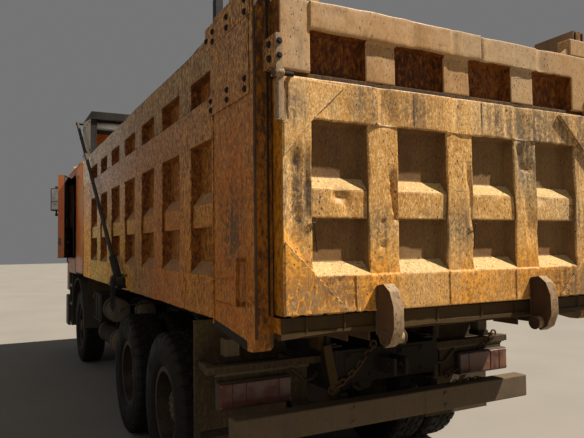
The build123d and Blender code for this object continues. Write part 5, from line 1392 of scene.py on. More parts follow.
chain(K, sagged(pt(757, 110, 1092), pt(742, 430, 846), 0.035), seed=3, mat=0)
chain(K, sagged(pt(835, -1080, 1062), pt(832, -618, 812), 0.035), seed=4, mat=0)
chain(K, [pt(655, -470, 795), pt(650, -560, 796), pt(662, -650, 796), pt(655, -775, 797)], size=(0.044, 0.028), r=0.0048, seed=5, mat=0)
# ring bolts for the chains
for c in (pt(757, 100, 1100), pt(742, 437, 838), pt(835, -1090, 1068), pt(832, -612, 804)):
    K.tube([np.array(c) + np.array([0, 0.024 * math.cos(t), 0.024 * math.sin(t)]) for t in np.linspace(0, 2 * math.pi, 20, endpoint=False)], 0.007, 8, 0, closed=True)
# lever bar on the left rail's end, flat steel, and its pin
a, b = np.array(pt(748, 470, 1128)), np.array(pt(748, 398, 770))
d = (b - a) / np.linalg.norm(b - a); n_ = np.cross(d, [1, 0, 0])
K.prism([(p[1], p[2]) for p in (a + n_ * 0.028, a - n_ * 0.028, b - n_ * 0.034, b + n_ * 0.034)], "x", X(738), X(752), 1, r=0.002)
K.rod(pt(735, 430, 960), pt(762, 430, 960), 0.020, 16, 1)
# end plate of the frame: bolts, pads
for s in (1, -1):
    mm(K, 754, 761, s * 100, s * 330, 880, 1060, 3, 2)
    for by in (130, 300):
        for bz in (905, 1035):
            K.bolt(pt(754, s * by, bz), (-1, 0, 0), 0.014, 0.011, 2)
    # carriers of the lamp bar
    mm(K, 846, 862, s * 545, s * 1190, 984, 1002, 3, 3)
    K.tube([pt(835, s * 690, 985), pt(828, s * 640, 950), pt(836, s * 590, 900), pt(850, s * 520, 900), pt(880, s * 470, 930)], 0.010, 8, 4)
    # lamp: frame, lens ribs, screws
    y0, y1 = sorted((s * 698, s * 1187))
    mm(K, 800, 852, y0, y1, 793, 957, 5, 4)
    for yy in (s * 790, s * 1010, s * 1100):
        mm(K, 786.5, 792, yy - 1.5, yy + 1.5, 803, 947, 1, 4)
    for yy in (712, 1172):
        for zz in (812, 938):
            K.bolt(pt(789.5, s * yy, zz), (-1, 0, 0), 0.005, 0.004, 5, washer=False)
K.obj("frame_end_details", [mat_rust, mat_under, mat_chassis, mat_bar, mat_black, mat_glint], "chassis", slot="frame_dark")
soften("tail_lamps", [mat_lamp], 0.008, 3)

# mudguards: bent sheet with a rolled lip, stays and flaps
mat_flap = painted("mudflap", ["#282014", "#362b1c", "#443725", "#50422e"], "#584930", "#1d1812", rust="#3a2616", dust_amt=0.85, rust_amt=0.2, speck=0.4, streak=0.6, rough=0.9, edge=0.4, edge_col="#75654f",
                   grain=(0.3, "#2a2219", "#6b5c47"))
def guard_warp(co):
    out = co.copy()
    out[:, 0] += 0.004 * fbm(co * 3.5, 81, 3)
    return out
soften("rear_mudguards", [mat_flap], 0.004, 2, cuts=3, warp=guard_warp)
K = Kit()
for s in (1, -1):
    y0, y1 = sorted((s * 598, s * 1247))
    mm(K, 1070, 1100, y0, y1, 1292, 1303, 3, 0)
    mm(K, 1068, 1102, y0, y1, 1000, 1012, 2, 0)
    mm(K, 1066, 1074, y0 + 40, y1 - 40, 560, 600, 2, 1)
    for by in np.linspace(y0 + 70, y1 - 70, 6):
        K.bolt(pt(1066, by, 580), (-1, 0, 0), 0.009, 0.007, 1)
    # olive tin box that hangs under the side, behind the lamps
    K.box(X(905), X(1000), s * 1.005, s * 1.10, 1.085, 1.195, 0.006, 2)
    mm(K, 900, 1005, s * 1000, s * 1105, 1046, 1084, 3, 1)
    # fold-down stays
    for yy in (640, 1200):
        mm(K, 842, 902, s * yy - 14, s * yy + 14, 996, 1002, 2, 1)
K.obj("mudguard_details", [mat_flap, mat_chassis, mat_bar], "chassis", slot="bar_tan")
# underrun bar: end caps, weld seams, bolts
K = Kit()
for s in (1, -1):
    y0, y1 = sorted((s * 1158, s * 1163))
    mm(K, 594, 696, y0, y1, 636, 784, 2, 0)
    mm(K, 700, 706, s * 340, s * 405, 640, 784, 2, 1)
    for bz in (670, 750):
        K.bolt(pt(700, s * 372, bz), (1, 0, 0), 0.014, 0.010, 1)
        K.bolt(pt(590, s * 372, bz), (-1, 0, 0), 0.012, 0.008, 0)
weld(K, pt(590, -200, 636), pt(590, -200, 786), 0.004, 0, 3)
K.obj("underrun_details", [mat_bar, mat_chassis], "chassis", slot="bar_tan")

# splash plates behind the front wheels
K = Kit()
for s in (1, -1):
    mm(K, 6452, 6458, s * 436, s * 1150, 800, 1318, 3, 0)
    mm(K, 6450, 6460, s * 436, s * 1150, 1306, 1320, 2, 1)
    mm(K, 6432, 6452, s * 434, s * 520, 880, 950, 2, 1)
K.obj("splash_plates", [mat_flap, mat_chassis], "chassis", slot="frame_dark")

# battery box, tanks
K = Kit()
mm(K, 5244, 5836, 594, 1156, 1150, 1166, 5, 0)
for bx in (5330, 5540, 5750):
    mm(K, bx - 12, bx + 12, 1150, 1157, 846, 1150, 2, 0)
for k in range(5):
    mm(K, 5290, 5790, 1149, 1154, 880 + k * 50, 892 + k * 50, 2, 0)
for bx in (5300, 5780):
    K.tube([pt(bx, 1157, 1130), pt(bx, 1168, 1120), pt(bx, 1168, 1085), pt(bx, 1157, 1075)], 0.006, 8, 1)
for a_, b_, y_, z_, r_ in ((4850, 5205, 1000, 985, 140), (4700, 5205, 700, 985, 120), (4800, 5760, 980, 625, 125)):
    for cx in (a_ + 60, b_ - 60):
        K.tube([pt(cx, y_ + (r_ + 2) * math.cos(t), z_ + (r_ + 2) * math.sin(t)) for t in np.linspace(0, 2 * math.pi, 48, endpoint=False)], 0.006, 6, 1, closed=True)
        K.tube([pt(cx + 14, y_ + (r_ + 2) * math.cos(t), z_ + (r_ + 2) * math.sin(t)) for t in np.linspace(0, 2 * math.pi, 48, endpoint=False)], 0.006, 6, 1, closed=True)
    for cx, dx in ((a_, -1), (b_, 1)):
        n0 = 9
        for k in range(1, n0):
            rr = r_ * math.cos(k * math.pi / 2 / n0)
            hh = 26 * math.sin(k * math.pi / 2 / n0)
            r2_ = r_ * math.cos((k - 1) * math.pi / 2 / n0); h2_ = 26 * math.sin((k - 1) * math.pi / 2 / n0)
            if k == 1:
                ring0 = [pt(cx + dx * h2_, y_ + r2_ * math.cos(t), z_ + r2_ * math.sin(t)) for t in np.linspace(0, 2 * math.pi, 40, endpoint=False)]
                dome = [ring0]
            dome.append([pt(cx + dx * hh, y_ + rr * math.cos(t), z_ + rr * math.sin(t)) for t in np.linspace(0, 2 * math.pi, 40, endpoint=False)])
        vv = [p for ring_ in dome for p in ring_]
        ff = []
        for i in range(len(dome) - 1):
            for j in range(40):
                ff.append((i * 40 + j, i * 40 + (j + 1) % 40, (i + 1) * 40 + (j + 1) % 40, (i + 1) * 40 + j))
        ff.append(tuple((len(dome) - 1) * 40 + j for j in range(40)))
        ff.append(tuple(range(40))[::-1])
        K.add(vv, ff if dx < 0 else [q[::-1] for q in ff], 2)
        K.rod(pt(cx + dx * 20, y_, z_), pt(cx + dx * 38, y_, z_), 0.018, 6, 1)
K.tube([pt(4810, 1000, 985), pt(4770, 990, 1010), pt(4700, 900, 1060), pt(4650, 700, 1080), pt(4640, 470, 1060)], 0.008, 8, 3)
K.tube([pt(5220, 1000, 985), pt(5235, 960, 1010), pt(5240, 850, 1030), pt(5238, 700, 1030), pt(5230, 470, 1020)], 0.008, 8, 3)
# exhaust tail pipe under the silencer
K.tube([pt(4800, 980, 625), pt(4720, 980, 620), pt(4640, 990, 590), pt(4590, 1010, 540)], 0.045, 20, 2)
K.obj("side_box_details", [mat_chassis, mat_glint, mat_tank, mat_black], "chassis", slot="frame_dark")
K = Kit()
for cx in (4560, 5050, 5540):
    pth = [pt(cx, y_, z_) for y_, z_ in ((-500, 1153), (-1060, 1153), (-1115, 1140), (-1150, 1110), (-1153, 1060), (-1153, 650), (-1140, 600), (-1110, 566), (-1060, 557), (-500, 557))]
    pth = np.array(pth)
    K.tube([p + np.array([-0.02, 0, 0]) for p in pth], 0.006, 6, 0); K.tube([p + np.array([0.0, 0, 0]) for p in pth], 0.006, 6, 0); K.tube([p + np.array([0.02, 0, 0]) for p in pth], 0.006, 6, 0)
    K.bolt(pt(cx, -520, 1157), (0, 0, 1), 0.014, 0.02, 1)
K.rod(pt(4700, -1010, 1140), pt(4700, -1010, 1178), 0.055, 28, 1)
K.rod(pt(4700, -1010, 1178), pt(4700, -1010, 1192), 0.062, 28, 1)
K.box(X(4400), X(4406), -1.05, -0.60, 0.62, 1.09, 0.003, 2)
K.box(X(5694), X(5702), -1.05, -0.60, 0.62, 1.09, 0.003, 2)
K.obj("fuel_tank_details", [mat_chassis, mat_glint, mat_tank], "chassis", slot="frame_dark")

# engine and gearbox: ribs, pan, bolts, fan shroud, exhaust
K = Kit()
for k in range(6):
    x0 = 6660 + k * 235
    for s in (1, -1):
        mm(K, x0, x0 + 170, s * 328, s * 348, 1010, 1260, 10, 0)
        mm(K, x0 + 20, x0 + 150, s * 328, s * 362, 850, 960, 14, 0)
        for bz in (1020, 1250):
            K.bolt(pt(x0 + 85, s * 348, bz), (0, s, 0), 0.011, 0.010, 1)
    mm(K, x0 + 10, x0 + 190, -170, 170, 1288, 1322, 10, 0)
for s in (1, -1):
    K.rod(pt(6640, s * 372, 1180), pt(8100, s * 372, 1180), 0.038, 20, 1)
mm(K, 6700, 8050, -210, 210, 632, 684, 14, 0)
mm(K, 8180, 8196, -360, 360, 700, 1300, 8, 1)
K.rod(pt(8196, 0, 1000), pt(8214, 0, 1000), 0.29, 48, 1)
for k in range(9):
    w = 2 * math.pi * k / 9
    K.box(X(8196), X(8216), -0.035, 0.035, 1.06, 1.26, 0.003, 0, rot=turn("X", math.degrees(w)), centre=(X(8206), 0, 1.0))
for k in range(6):
    mm(K, 5930 + k * 42, 5944 + k * 42, -130, 130, 572, 806, 4, 0)
K.rod(pt(5882, 0, 700), pt(5905, 0, 700), 0.085, 28, 0)
K.obj("engine_details", [mat_cast, mat_chassis], "chassis", slot="cast")

# ================================================================ cab
def glass(name, col, dust):
    g = Graph(name)
    n1 = g.noise(g.P, 3.0, 5, 0.6); n2 = g.noise(g.P, 120, 4, 0.7)
    d = g.range(g.add(g.mul(n1, 0.6), g.mul(n2, 0.4)), 0.42, 0.66)
    c = g.mix(g.mul(d, dust), col, "#7a6c5a")
    return g.finish(color=c, rough=g.range(d, 0, 1, 0.04, 0.35), normal=g.bump(n2, 0.02, 0.001), Transmission_Weight=0.82, IOR=1.45)
mat_glass = glass("cab_glass", "#39413f", 0.55)
mat_lens = glass("lamp_glass", "#b8b6ac", 0.45)
mat_amber = painted("amber_lens", ["#8a3d0a", "#a34d10", "#b35a18", "#bd6420"], "#84653f", "#5a2e12", rust="#7a4a1a", dust_amt=0.5, rust_amt=0.05, speck=0.2, streak=0.3, rough=0.3, edge=0.2)
mat_rubber = painted("seal_rubber", ["#0e0d0d", "#141312", "#191716", "#1f1d1b"], "#3e362d", "#0a0909", rust="#1c1814", dust_amt=0.35, rust_amt=0.1, speck=0.15, streak=0.2, rough=0.7, edge=0.3, edge_col="#4b4238")
mat_trimgrey = painted("cab_trim", ["#2b2a29", "#343230", "#3d3b38", "#454340"], "#6b6052", "#1e1c1b", rust="#3a332b", dust_amt=0.45, rust_amt=0.1, speck=0.3, streak=0.2, rough=0.7, edge=0.3, edge_col="#6b655d")
mat_mirror = None
g = Graph("mirror_face")
mat_mirror = g.finish(color=g.mix(g.range(g.noise(g.P, 6, 5, 0.6), 0.45, 0.65), "#8a8780", "#675c4c"), rough=g.range(g.noise(g.P, 9, 4, 0.6), 0.4, 0.7, 0.12, 0.5), normal=g.bump(g.noise(g.P, 90, 2, 0.5), 0.01, 0.001), Metallic=1.0)

def dent(co):
    out = co.copy()
    out[:, 0] += 0.0025 * fbm(co * 2.6, 91, 3)
    out[:, 1] += np.sign(co[:, 1]) * 0.0025 * fbm(co * 2.2 + 5, 92, 3)
    return out
def cab_pick(c, n):
    inside = abs(c[1]) < 1.181 and X(6590) < c[0] < X(8470) and c[2] < 3.033
    return 1 if inside else 0
soften("cab_front", [mat_cab, mat_trimgrey], 0.014, 3, cuts=2, warp=dent, pick=cab_pick)
soften("cab_rear_shell", [mat_cab, mat_trimgrey], 0.014, 3, cuts=2, warp=dent, pick=cab_pick)
soften("cab_roof", [mat_cab, mat_trimgrey], 0.030, 4, cuts=2, warp=dent, pick=lambda c, n: 1 if n[2] < -0.5 and abs(c[1]) < 1.18 else 0)
soften("cab_floor", [mat_trimgrey], 0.006, 2)
soften("dashboard", [mat_trimgrey], 0.022, 4)
soften("left_door", [mat_cab, mat_trimgrey, mat_black], 0.007, 2, cuts=1)
soften("right_door", [mat_cab, mat_trimgrey, mat_black], 0.007, 2, cuts=1)
for side in ("left", "right"):
    s = 1 if side == "left" else -1
    ob = bpy.data.objects[side + "_door_skin"]
    w = math.radians(-18.0) if side == "left" else 0.0
    cw, sw = math.cos(w), math.sin(w)
    for p in ob.data.polygons:
        dx, dy = p.center[0] - X(8203), p.center[1] - s * 1.220
        x_, y_ = dx * cw + dy * sw + X(8203), -dx * sw + dy * cw + s * 1.220
        n_ = (p.normal[0] * cw + p.normal[1] * sw, -p.normal[0] * sw + p.normal[1] * cw)
        if abs(y_) > 1.2215 and x_ < X(8165):
            p.material_index = 2
        elif s * n_[1] < -0.5 and abs(y_) < 1.13:
            p.material_index = 1
    paint(side + "_door_glass", mat_glass)
paint("windscreen", mat_glass)
paint("steering_wheel", mat_rubber)

def door_details(s):
    K = Kit()
    o = s * 1.2205
    def slab(x0, x1, z0, z1, d0, d1, r, mat):
        K.box(X(x0), X(x1), s * (1.220 + d0), s * (1.220 + d1), z0, z1, r, mat)
    # outer skin: raised lower panel, swage, handle in its cup
    slab(7385, 8165, 1.64, 1.935, -0.002, 0.006, 0.004, 0)
    slab(7372, 8120, 1.985, 2.012, -0.003, 0.009, 0.006, 0)
    slab(7440, 7640, 1.80, 1.90, 0.003, 0.0075, 0.003, 2)
    K.tube([(X(7458), s * 1.226, 1.852), (X(7470), s * 1.245, 1.852), (X(7540), s * 1.248, 1.852), (X(7612), s * 1.245, 1.852), (X(7624), s * 1.226, 1.852)], 0.009, 10, 2)
    K.rod((X(7665), s * 1.222, 1.852), (X(7665), s * 1.231, 1.852), 0.013, 20, 2)
    # window seal, outside and inside, and the inner belt
    loop = [(7436, 2.088), (8110, 2.088), (8110, 2.846), (7436, 2.846)]
    for yy in (1.2215, 1.1235):
        pts_ = []
        for i in range(4):
            (xa, za), (xb, zb) = loop[i], loop[(i + 1) % 4]
            for t in np.linspace(0, 1, 8, endpoint=False):
                pts_.append((X(xa + (xb - xa) * t), s * yy, za + (zb - za) * t))
        K.tube(pts_, 0.0085, 8, 1, closed=True)
    slab(7440, 8105, 2.066, 2.084, -0.006, 0.004, 0.003, 1)
    # quarter bar
    K.box(X(7960), X(7975), s * 1.182, s * 1.2195, 2.082, 2.848, 0.003, 1)
    # inner lining: panel, pocket, pull, winder, lock
    K.box(X(7375), X(8140), s * 1.112, s * 1.1255, 1.64, 2.03, 0.010, 3)
    K.box(X(7430), X(8110), s * 1.086, s * 1.113, 1.66, 1.74, 0.014, 3)
    K.box(X(7460), X(7900), s * 1.070, s * 1.113, 1.83, 1.875, 0.016, 4)
    K.tube([(X(7480), s * 1.114, 1.94), (X(7480), s * 1.086, 1.94), (X(7660), s * 1.086, 1.965), (X(7660), s * 1.114, 1.965)], 0.009, 8, 4)
    K.rod((X(7960), s * 1.113, 1.80), (X(7960), s * 1.095, 1.80), 0.022, 20, 4)
    K.tube([(X(7960), s * 1.093, 1.80), (X(8010), s * 1.091, 1.78), (X(8050), s * 1.089, 1.77)], 0.008, 8, 4)
    K.rod((X(8050), s * 1.091, 1.77), (X(8050), s * 1.065, 1.77), 0.013, 16, 4)
    # lock at the rear edge, hinges' leaves, rubber round the edge
    K.box(X(7346), X(7351), s * 1.172, s * 1.212, 1.80, 1.92, 0.002, 5)
    K.rod((X(7345), s * 1.192, 1.86), (X(7352), s * 1.192, 1.86), 0.014, 14, 5)
    for z0, z1 in ((1.70, 1.78), (1.96, 2.04)):
        K.box(X(8130), X(8196), s * 1.217, s * 1.226, z0 + 0.006, z1 - 0.006, 0.003, 0)
        for bz in (z0 + 0.022, z1 - 0.022):
            K.bolt((X(8150), s * 1.226, bz), (0, s, 0), 0.007, 0.005, 5)
    pts_ = []
    rim = [(7356, 1.608), (8142, 1.608), (8142, 2.922), (7356, 2.922)]
    for i in range(4):
        (xa, za), (xb, zb) = rim[i], rim[(i + 1) % 4]
        for t in np.linspace(0, 1, 10, endpoint=False):
            pts_.append((X(xa + (xb - xa) * t), s * 1.1235, za + (zb - za) * t))
    K.tube(pts_, 0.0065, 8, 1, closed=True)
    # mirror: shell round the box, glass that looks back, and clamps
    K.box(X(8044), X(8126), s * 1.336, s * 1.504, 2.394, 2.786, 0.026, 2)
    K.box(X(8041.5), X(8046), s * 1.350, s * 1.490, 2.410, 2.770, 0.004, 5)
    K.box(X(8039.5), X(8042.5), s * 1.356, s * 1.484, 2.56, 2.764, 0.001, 6)
    K.box(X(8039.5), X(8042.5), s * 1.356, s * 1.484, 2.418, 2.548, 0.001, 6)
    for zz in (2.80, 2.33):
        K.rod((X(8110), s * 1.42, zz - 0.022), (X(8110), s * 1.42, zz + 0.022), 0.020, 18, 2)
        K.box(X(8118), X(8162), s * 1.216, s * 1.232, zz - 0.035, zz + 0.035, 0.005, 2)
        for bz in (-0.02, 0.02):
            K.bolt((X(8152), s * 1.232, zz + bz), (0, s, 0), 0.006, 0.005, 5)
    for zz in (2.46, 2.72):
        K.rod((X(8110), s * 1.42, zz - 0.016), (X(8110), s * 1.42, zz + 0.016), 0.019, 18, 5)
    # grab bar behind the door on the shell is drawn with the cab
    K.rod((X(8168), s * 1.2215, 2.08), (X(8168), s * 1.2215, 2.84), 0.006, 10, 1)
    if s > 0:
        w = math.radians(-18.0)
        c, q = math.cos(w), math.sin(w)
        px, py = X(8203), 1.220
        K.v = [np.stack([(v[:, 0] - px) * c - (v[:, 1] - py) * q + px, (v[:, 0] - px) * q + (v[:, 1] - py) * c + py, v[:, 2]], 1) for v in K.v]
    side = "left" if s > 0 else "right"
    K.obj(side + "_door_details", [mat_cab, mat_rubber, mat_black, mat_trimgrey, mat_trimgrey, mat_glint, mat_mirror], side + "_door", slot=SLOT_OF[side + "_door"])
for s in (1, -1):
    door_details(s)

K = Kit()
C, R_, B_, G_, Z_, L_, A_, F_ = range(8)
ff = lambda z: 8500 if z < 1.96 else 8500 - (z * 1000 - 1960) * 210 / 1075
# rear and side panels: pressed ribs and seams
for yy in (-900, -450, 0, 450, 900):
    mm(K, 6541, 6552, yy - 55, yy + 55, 1480, 2380, 5, C)
for zz in (1440, 2480, 2560):
    mm(K, 6542, 6552, -1150, 1150, zz, zz + 26, 5, C)
mm(K, 6540, 6551, -420, 420, 2640, 2960, 4, R_)
mm(K, 6538, 6549, -390, 390, 2668, 2934, 3, L_)
for s in (1, -1):
    y0, y1 = sorted((s * 1217, s * 1226))
    mm(K, 6640, 7280, y0, y1, 1.985e3, 2.012e3, 5, C)
    mm(K, 6640, 7290, y0, y1, 1470, 1492, 4, C)
    mm(K, 6700, 7220, *sorted((s * 1217, s * 1223)), 1560, 1900, 6, C)
    mm(K, 6720, 7200, *sorted((s * 1217, s * 1223)), 2140, 2760, 8, C)
    # side marker and upright grab bars behind the door, with their brackets
    mm(K, 7000, 7090, *sorted((s * 1219, s * 1231)), 2850, 2890, 4, A_)
    K.tube([(X(7318), s * 1.219, 1.62), (X(7318), s * 1.252, 1.64), (X(7318), s * 1.256, 1.9), (X(7318), s * 1.256, 2.3), (X(7318), s * 1.252, 2.50), (X(7318), s * 1.219, 2.52)], 0.012, 12, B_)
    for bz in (1.62, 2.52):
        K.box(X(7300), X(7336), s * 1.217, s * 1.226, bz - 0.03, bz + 0.03, 0.004, B_)
    # front corner: panel gap, lamp, grab bar
    mm(K, 8214, 8222, *sorted((s * 1215, s * 1222)), 1040, 2940, 2, R_)
    K.tube([(X(8250), s * 1.219, 1.50), (X(8250), s * 1.25, 1.52), (X(8250), s * 1.25, 1.92), (X(8250), s * 1.219, 1.94)], 0.011, 12, B_)
    mm(K, 8300, 8420, *sorted((s * 1217, s * 1229)), 1560, 1640, 5, A_)
    mm(K, 8240, 8492, *sorted((s * 1216, s * 1224)), 1.985e3, 2.010e3, 5, C)
    # wheel housing lip under the side
    mm(K, 6560, 7340, *sorted((s * 1196, s * 1222)), 1362, 1382, 5, B_)
    # sill under the door: a raised dirty strip with a step lamp, and its rubber
    mm(K, 7362, 8190, *sorted((s * 1218, s * 1226)), 1356, 1575, 6, C)
    mm(K, 7346, 8204, *sorted((s * 1150, s * 1216)), 1593, 1599, 2, R_)
    mm(K, 7980, 8060, *sorted((s * 1224, s * 1232)), 1420, 1450, 4, A_)
    # inner door frame rubber
    pts_ = []
    rim = [(7342, 1.61), (7342, 2.925), (8212, 2.925), (8212, 1.61)]
    for i in range(3):
        (xa, za), (xb, zb) = rim[i], rim[i + 1]
        for t in np.linspace(0, 1, 12, endpoint=(i == 2)):
            pts_.append((X(xa + (xb - xa) * t), s * 1.166, za + (zb - za) * t))
    K.tube(pts_, 0.007, 8, R_)
# front: grille, badge-free panel, screen rubber, wipers, visor, lamps
K.box(X(8500), X(8512), -0.93, 0.93, 1.20, 1.86, 0.012, B_)
for k in range(9):
    z_ = 1.245 + k * 0.066
    K.prism([(X(8508), z_), (X(8534), z_ + 0.006), (X(8536), z_ + 0.014), (X(8512), z_ + 0.040), (X(8508), z_ + 0.040)], "y", -0.88, 0.88, B_)
for yy in (-0.905, -0.30, 0.30, 0.905):
    K.box(X(8508), X(8538), yy - 0.018, yy + 0.018, 1.22, 1.85, 0.006, B_)
K.box(X(8500), X(8522), -0.96, 0.96, 1.862, 1.90, 0.008, C)
K.box(X(8500), X(8510), -1.19, 1.19, 1.05, 1.17, 0.008, C)
K.box(X(8500), X(8507), -1.10, 1.10, 1.925, 1.95, 0.004, C)
sc = [(-1.092, 2.018), (1.092, 2.018), (1.092, 2.882), (-1.092, 2.882)]
pts_ = []
for i in range(4):
    (ya, za), (yb, zb) = sc[i], sc[(i + 1) % 4]
    for t in np.linspace(0, 1, 12, endpoint=False):
        z_ = za + (zb - za) * t
        pts_.append((X(ff(z_) + 2), ya + (yb - ya) * t, z_))
K.tube(pts_, 0.015, 10, R_, closed=True)
for yb, lean in ((0.62, -0.62), (-0.02, -0.62), (-0.66, -0.40)):
    a_ = np.array([X(ff(1.985) + 22), yb, 1.985]); e_ = np.array([X(ff(2.30) + 14), yb + lean * 0.72, 2.24])
    K.rod(a_ - np.array([0.03, 0, 0]), a_ + np.array([0.006, 0, 0]), 0.016, 16, B_)
    K.tube([a_, a_ + (e_ - a_) * 0.3 + np.array([0.012, 0, 0]), e_], 0.006, 8, B_)
    d_ = (e_ - a_) / np.linalg.norm(e_ - a_)
    q_ = e_ + np.array([-0.002, 0, 0])
    K.rod(q_ - d_ * 0.26, q_ + d_ * 0.30, 0.0055, 8, R_)
K.prism([(X(8296), 2.985), (X(8500), 2.915), (X(8508), 2.925), (X(8508), 2.935), (X(8300), 3.025)], "y", -1.14, 1.14, G_, r=0.003)
for yy in (-1.05, -0.35, 0.35, 1.05):
    K.box(X(8330), X(8345), yy - 0.010, yy + 0.010, 2.90, 3.01, 0.003, B_)
for yy in (-1.05, -0.26, 0, 0.26, 1.05):
    K.box(X(8150), X(8226), yy * 0.93 - 0.055, yy * 0.93 + 0.055, 3.066, 3.104, 0.012, A_)
# roof: ribs, hatch, horn, aerial foot
for yy in (-0.88, -0.60, 0.60, 0.88):
    K.prism([(X(6760), 3.094), (X(8080), 3.083), (X(8080), 3.097), (X(6760), 3.109)], "y", yy - 0.045, yy + 0.045, C, r=0.006)
K.prism([(X(7050), 3.090), (X(7750), 3.084), (X(7750), 3.112), (X(7050), 3.124)], "y", -0.34, 0.34, C, r=0.012)
K.prism([(X(7036), 3.090), (X(7764), 3.084), (X(7764), 3.096), (X(7036), 3.104)], "y", -0.355, 0.355, R_, r=0.005)
K.rod((X(7950), -0.30, 3.086), (X(7950), -0.30, 3.110), 0.035, 24, B_)
# rain gutter over the doors
for s in (1, -1):
    K.tube([(X(6580), s * 1.222, 3.034), (X(7000), s * 1.224, 3.036), (X(8270), s * 1.222, 3.036)], 0.010, 8, C)
K.obj("cab_details", [mat_cab, mat_rubber, mat_black, mat_trimgrey, mat_glint, mat_glass, mat_amber, mat_lens], "cab", slot=SLOT_OF["cab_front"])

# bumper: lamps, vents, plate holder, steps
K = Kit()
for s in (1, -1):
    y0, y1 = sorted((s * 0.90, s * 1.085))
    K.box(X(8560), X(8606), y0 - 0.012, y1 + 0.012, 0.622, 0.842, 0.020, 0)
    K.box(X(8598), X(8612), y0, y1, 0.636, 0.828, 0.018, 1)
    for cc in (0.945, 1.04):
        K.rod((X(8592), s * cc, 0.732), (X(8609), s * cc, 0.732), 0.040, 32, 3, r2=0.046)
    K.box(X(8590), X(8609), s * 0.66 - 0.10, s * 0.66 + 0.10, 0.560, 0.640, 0.012, 1)
    K.box(X(8470), X(8530), s * 1.19, s * 1.215, 0.66, 0.80, 0.010, 4)
    K.tube([(X(8600), s * 0.46, 0.94), (X(8606), s * 0.46, 0.958), (X(8606), s * 0.20, 0.958), (X(8600), s * 0.20, 0.94)], 0.010, 10, 0)
    for k in range(4):
        K.box(X(8590), X(8606), s * 0.50 - 0.30, s * 0.50 + 0.02, 0.70 + k * 0.045, 0.72 + k * 0.045, 0.004, 2) if s > 0 else K.box(X(8590), X(8606), -0.22, -0.52, 0.70 + k * 0.045, 0.72 + k * 0.045, 0.004, 2)
    for bz in (0.87, 0.90):
        K.bolt((X(8460), s * 0.430, bz), (0, s, 0), 0.012, 0.010, 3)
K.box(X(8596), X(8606), -0.27, 0.27, 0.46, 0.585, 0.004, 2)
K.box(X(8604), X(8607), -0.26, 0.26, 0.470, 0.575, 0.001, 5)
K.obj("bumper_details", [mat_black, mat_lens, mat_rubber, mat_glint, mat_amber, mat_trimgrey], "chassis", slot=SLOT_OF["bumper"])

# step treads: punched teeth, edges; arches' mud lips
K = Kit()
for s in (1, -1):
    for sz in (0.510, 0.840, 1.150):
        for kx in range(9):
            for ky in range(8):
                cx, cy = X(7856 + kx * 34), s * (0.915 + ky * 0.039)
                K.rod((cx, cy, sz - 0.001), (cx, cy, sz + 0.004), 0.010, 8, 1, r2=0.007)
        K.box(X(7836), X(8149), s * 1.206, s * 1.2175, sz - 0.045, sz + 0.003, 0.003, 0)
    K.tube([(X_FRONT + 0.724 * math.cos(t), s * 1.2155, AXLE_Z + 0.724 * math.sin(t)) for t in np.linspace(0.07, math.pi - 0.07, 60)], 0.009, 8, 0)
    for t in np.linspace(0.25, math.pi - 0.25, 9):
        K.bolt((X_FRONT + 0.7345 * math.cos(t), s * 1.10, AXLE_Z + 0.7345 * math.sin(t)), (math.cos(t), 0, math.sin(t)), 0.009, 0.005, 0)
K.obj("step_details", [mat_black, mat_glint], "chassis", slot=SLOT_OF["cab_steps"])

# inside: instruments, vents, radio slot, switches, tunnel, gear lever, mats and pedals
K = Kit()
K.box(X(8130), X(8200), 0.32, 0.80, 1.90, 2.045, 0.030, 0)
for cy, r_ in ((0.44, 0.048), (0.56, 0.060), (0.68, 0.048)):
    K.rod((X(8132), cy, 1.972), (X(8126), cy, 1.972), r_, 36, 1)
    K.tube([(X(8126), cy + r_ * math.cos(t), 1.972 + r_ * math.sin(t)) for t in np.linspace(0, 2 * math.pi, 32, endpoint=False)], 0.004, 6, 2, closed=True)
    K.rod((X(8125), cy, 1.972), (X(8125), cy + r_ * 0.7, 1.972 + r_ * 0.35), 0.0018, 6, 3)
for cy in (-1.02, -0.62, 0.06, 1.04):
    K.box(X(8150), X(8162), cy - 0.075, cy + 0.075, 1.885, 1.945, 0.006, 1)
    for k in range(5):
        K.box(X(8146), X(8158), cy - 0.068, cy + 0.068, 1.892 + k * 0.010, 1.896 + k * 0.010, 0.001, 0)
K.box(X(8152), X(8162), -0.25, -0.02, 1.80, 1.87, 0.005, 1)
for k in range(6):
    K.box(X(8150), X(8160), 0.10 + k * 0.035, 0.128 + k * 0.035, 1.82, 1.85, 0.003, 1)
K.box(X(7150), X(8100), -0.20, 0.20, 1.43, 1.56, 0.030, 0)
K.tube([(X(7780), 0.05, 1.55), (X(7775), 0.06, 1.72), (X(7750), 0.08, 1.90)], 0.010, 12, 2)
K.rod((X(7750), 0.08, 1.89), (X(7746), 0.083, 1.955), 0.026, 20, 1, r2=0.030)
for s in (1, -1):
    K.box(X(7700), X(8200), s * 0.30, s * 1.08, 1.430, 1.442, 0.004, 1)
    for k in range(14):
        K.box(X(7715 + k * 34), X(7730 + k * 34), s * 0.32, s * 1.06, 1.440, 1.446, 0.002, 1)
for px_, wd in ((0.72, 0.05), (0.60, 0.05), (0.45, 0.045)):
    K.box(X(8120), X(8135), px_ - wd, px_ + wd, 1.55, 1.66, 0.006, 1)
    K.tube([(X(8135), px_, 1.60), (X(8200), px_, 1.66), (X(8260), px_, 1.78)], 0.010, 8, 2)
K.obj("cab_inside", [mat_trimgrey, mat_rubber, mat_glint, mat_lens], "cab", slot=SLOT_OF["dashboard"])
K = Kit()
hub = np.array([X(7950), 0.56, 1.885]); nrm = np.array([-0.5, 0, 0.8660254]); ux = np.array([0, 1.0, 0]); uy = np.cross(nrm, ux)
K.rod(hub + nrm * 0.020, hub + nrm * 0.042, 0.075, 36, 0, r2=0.062)
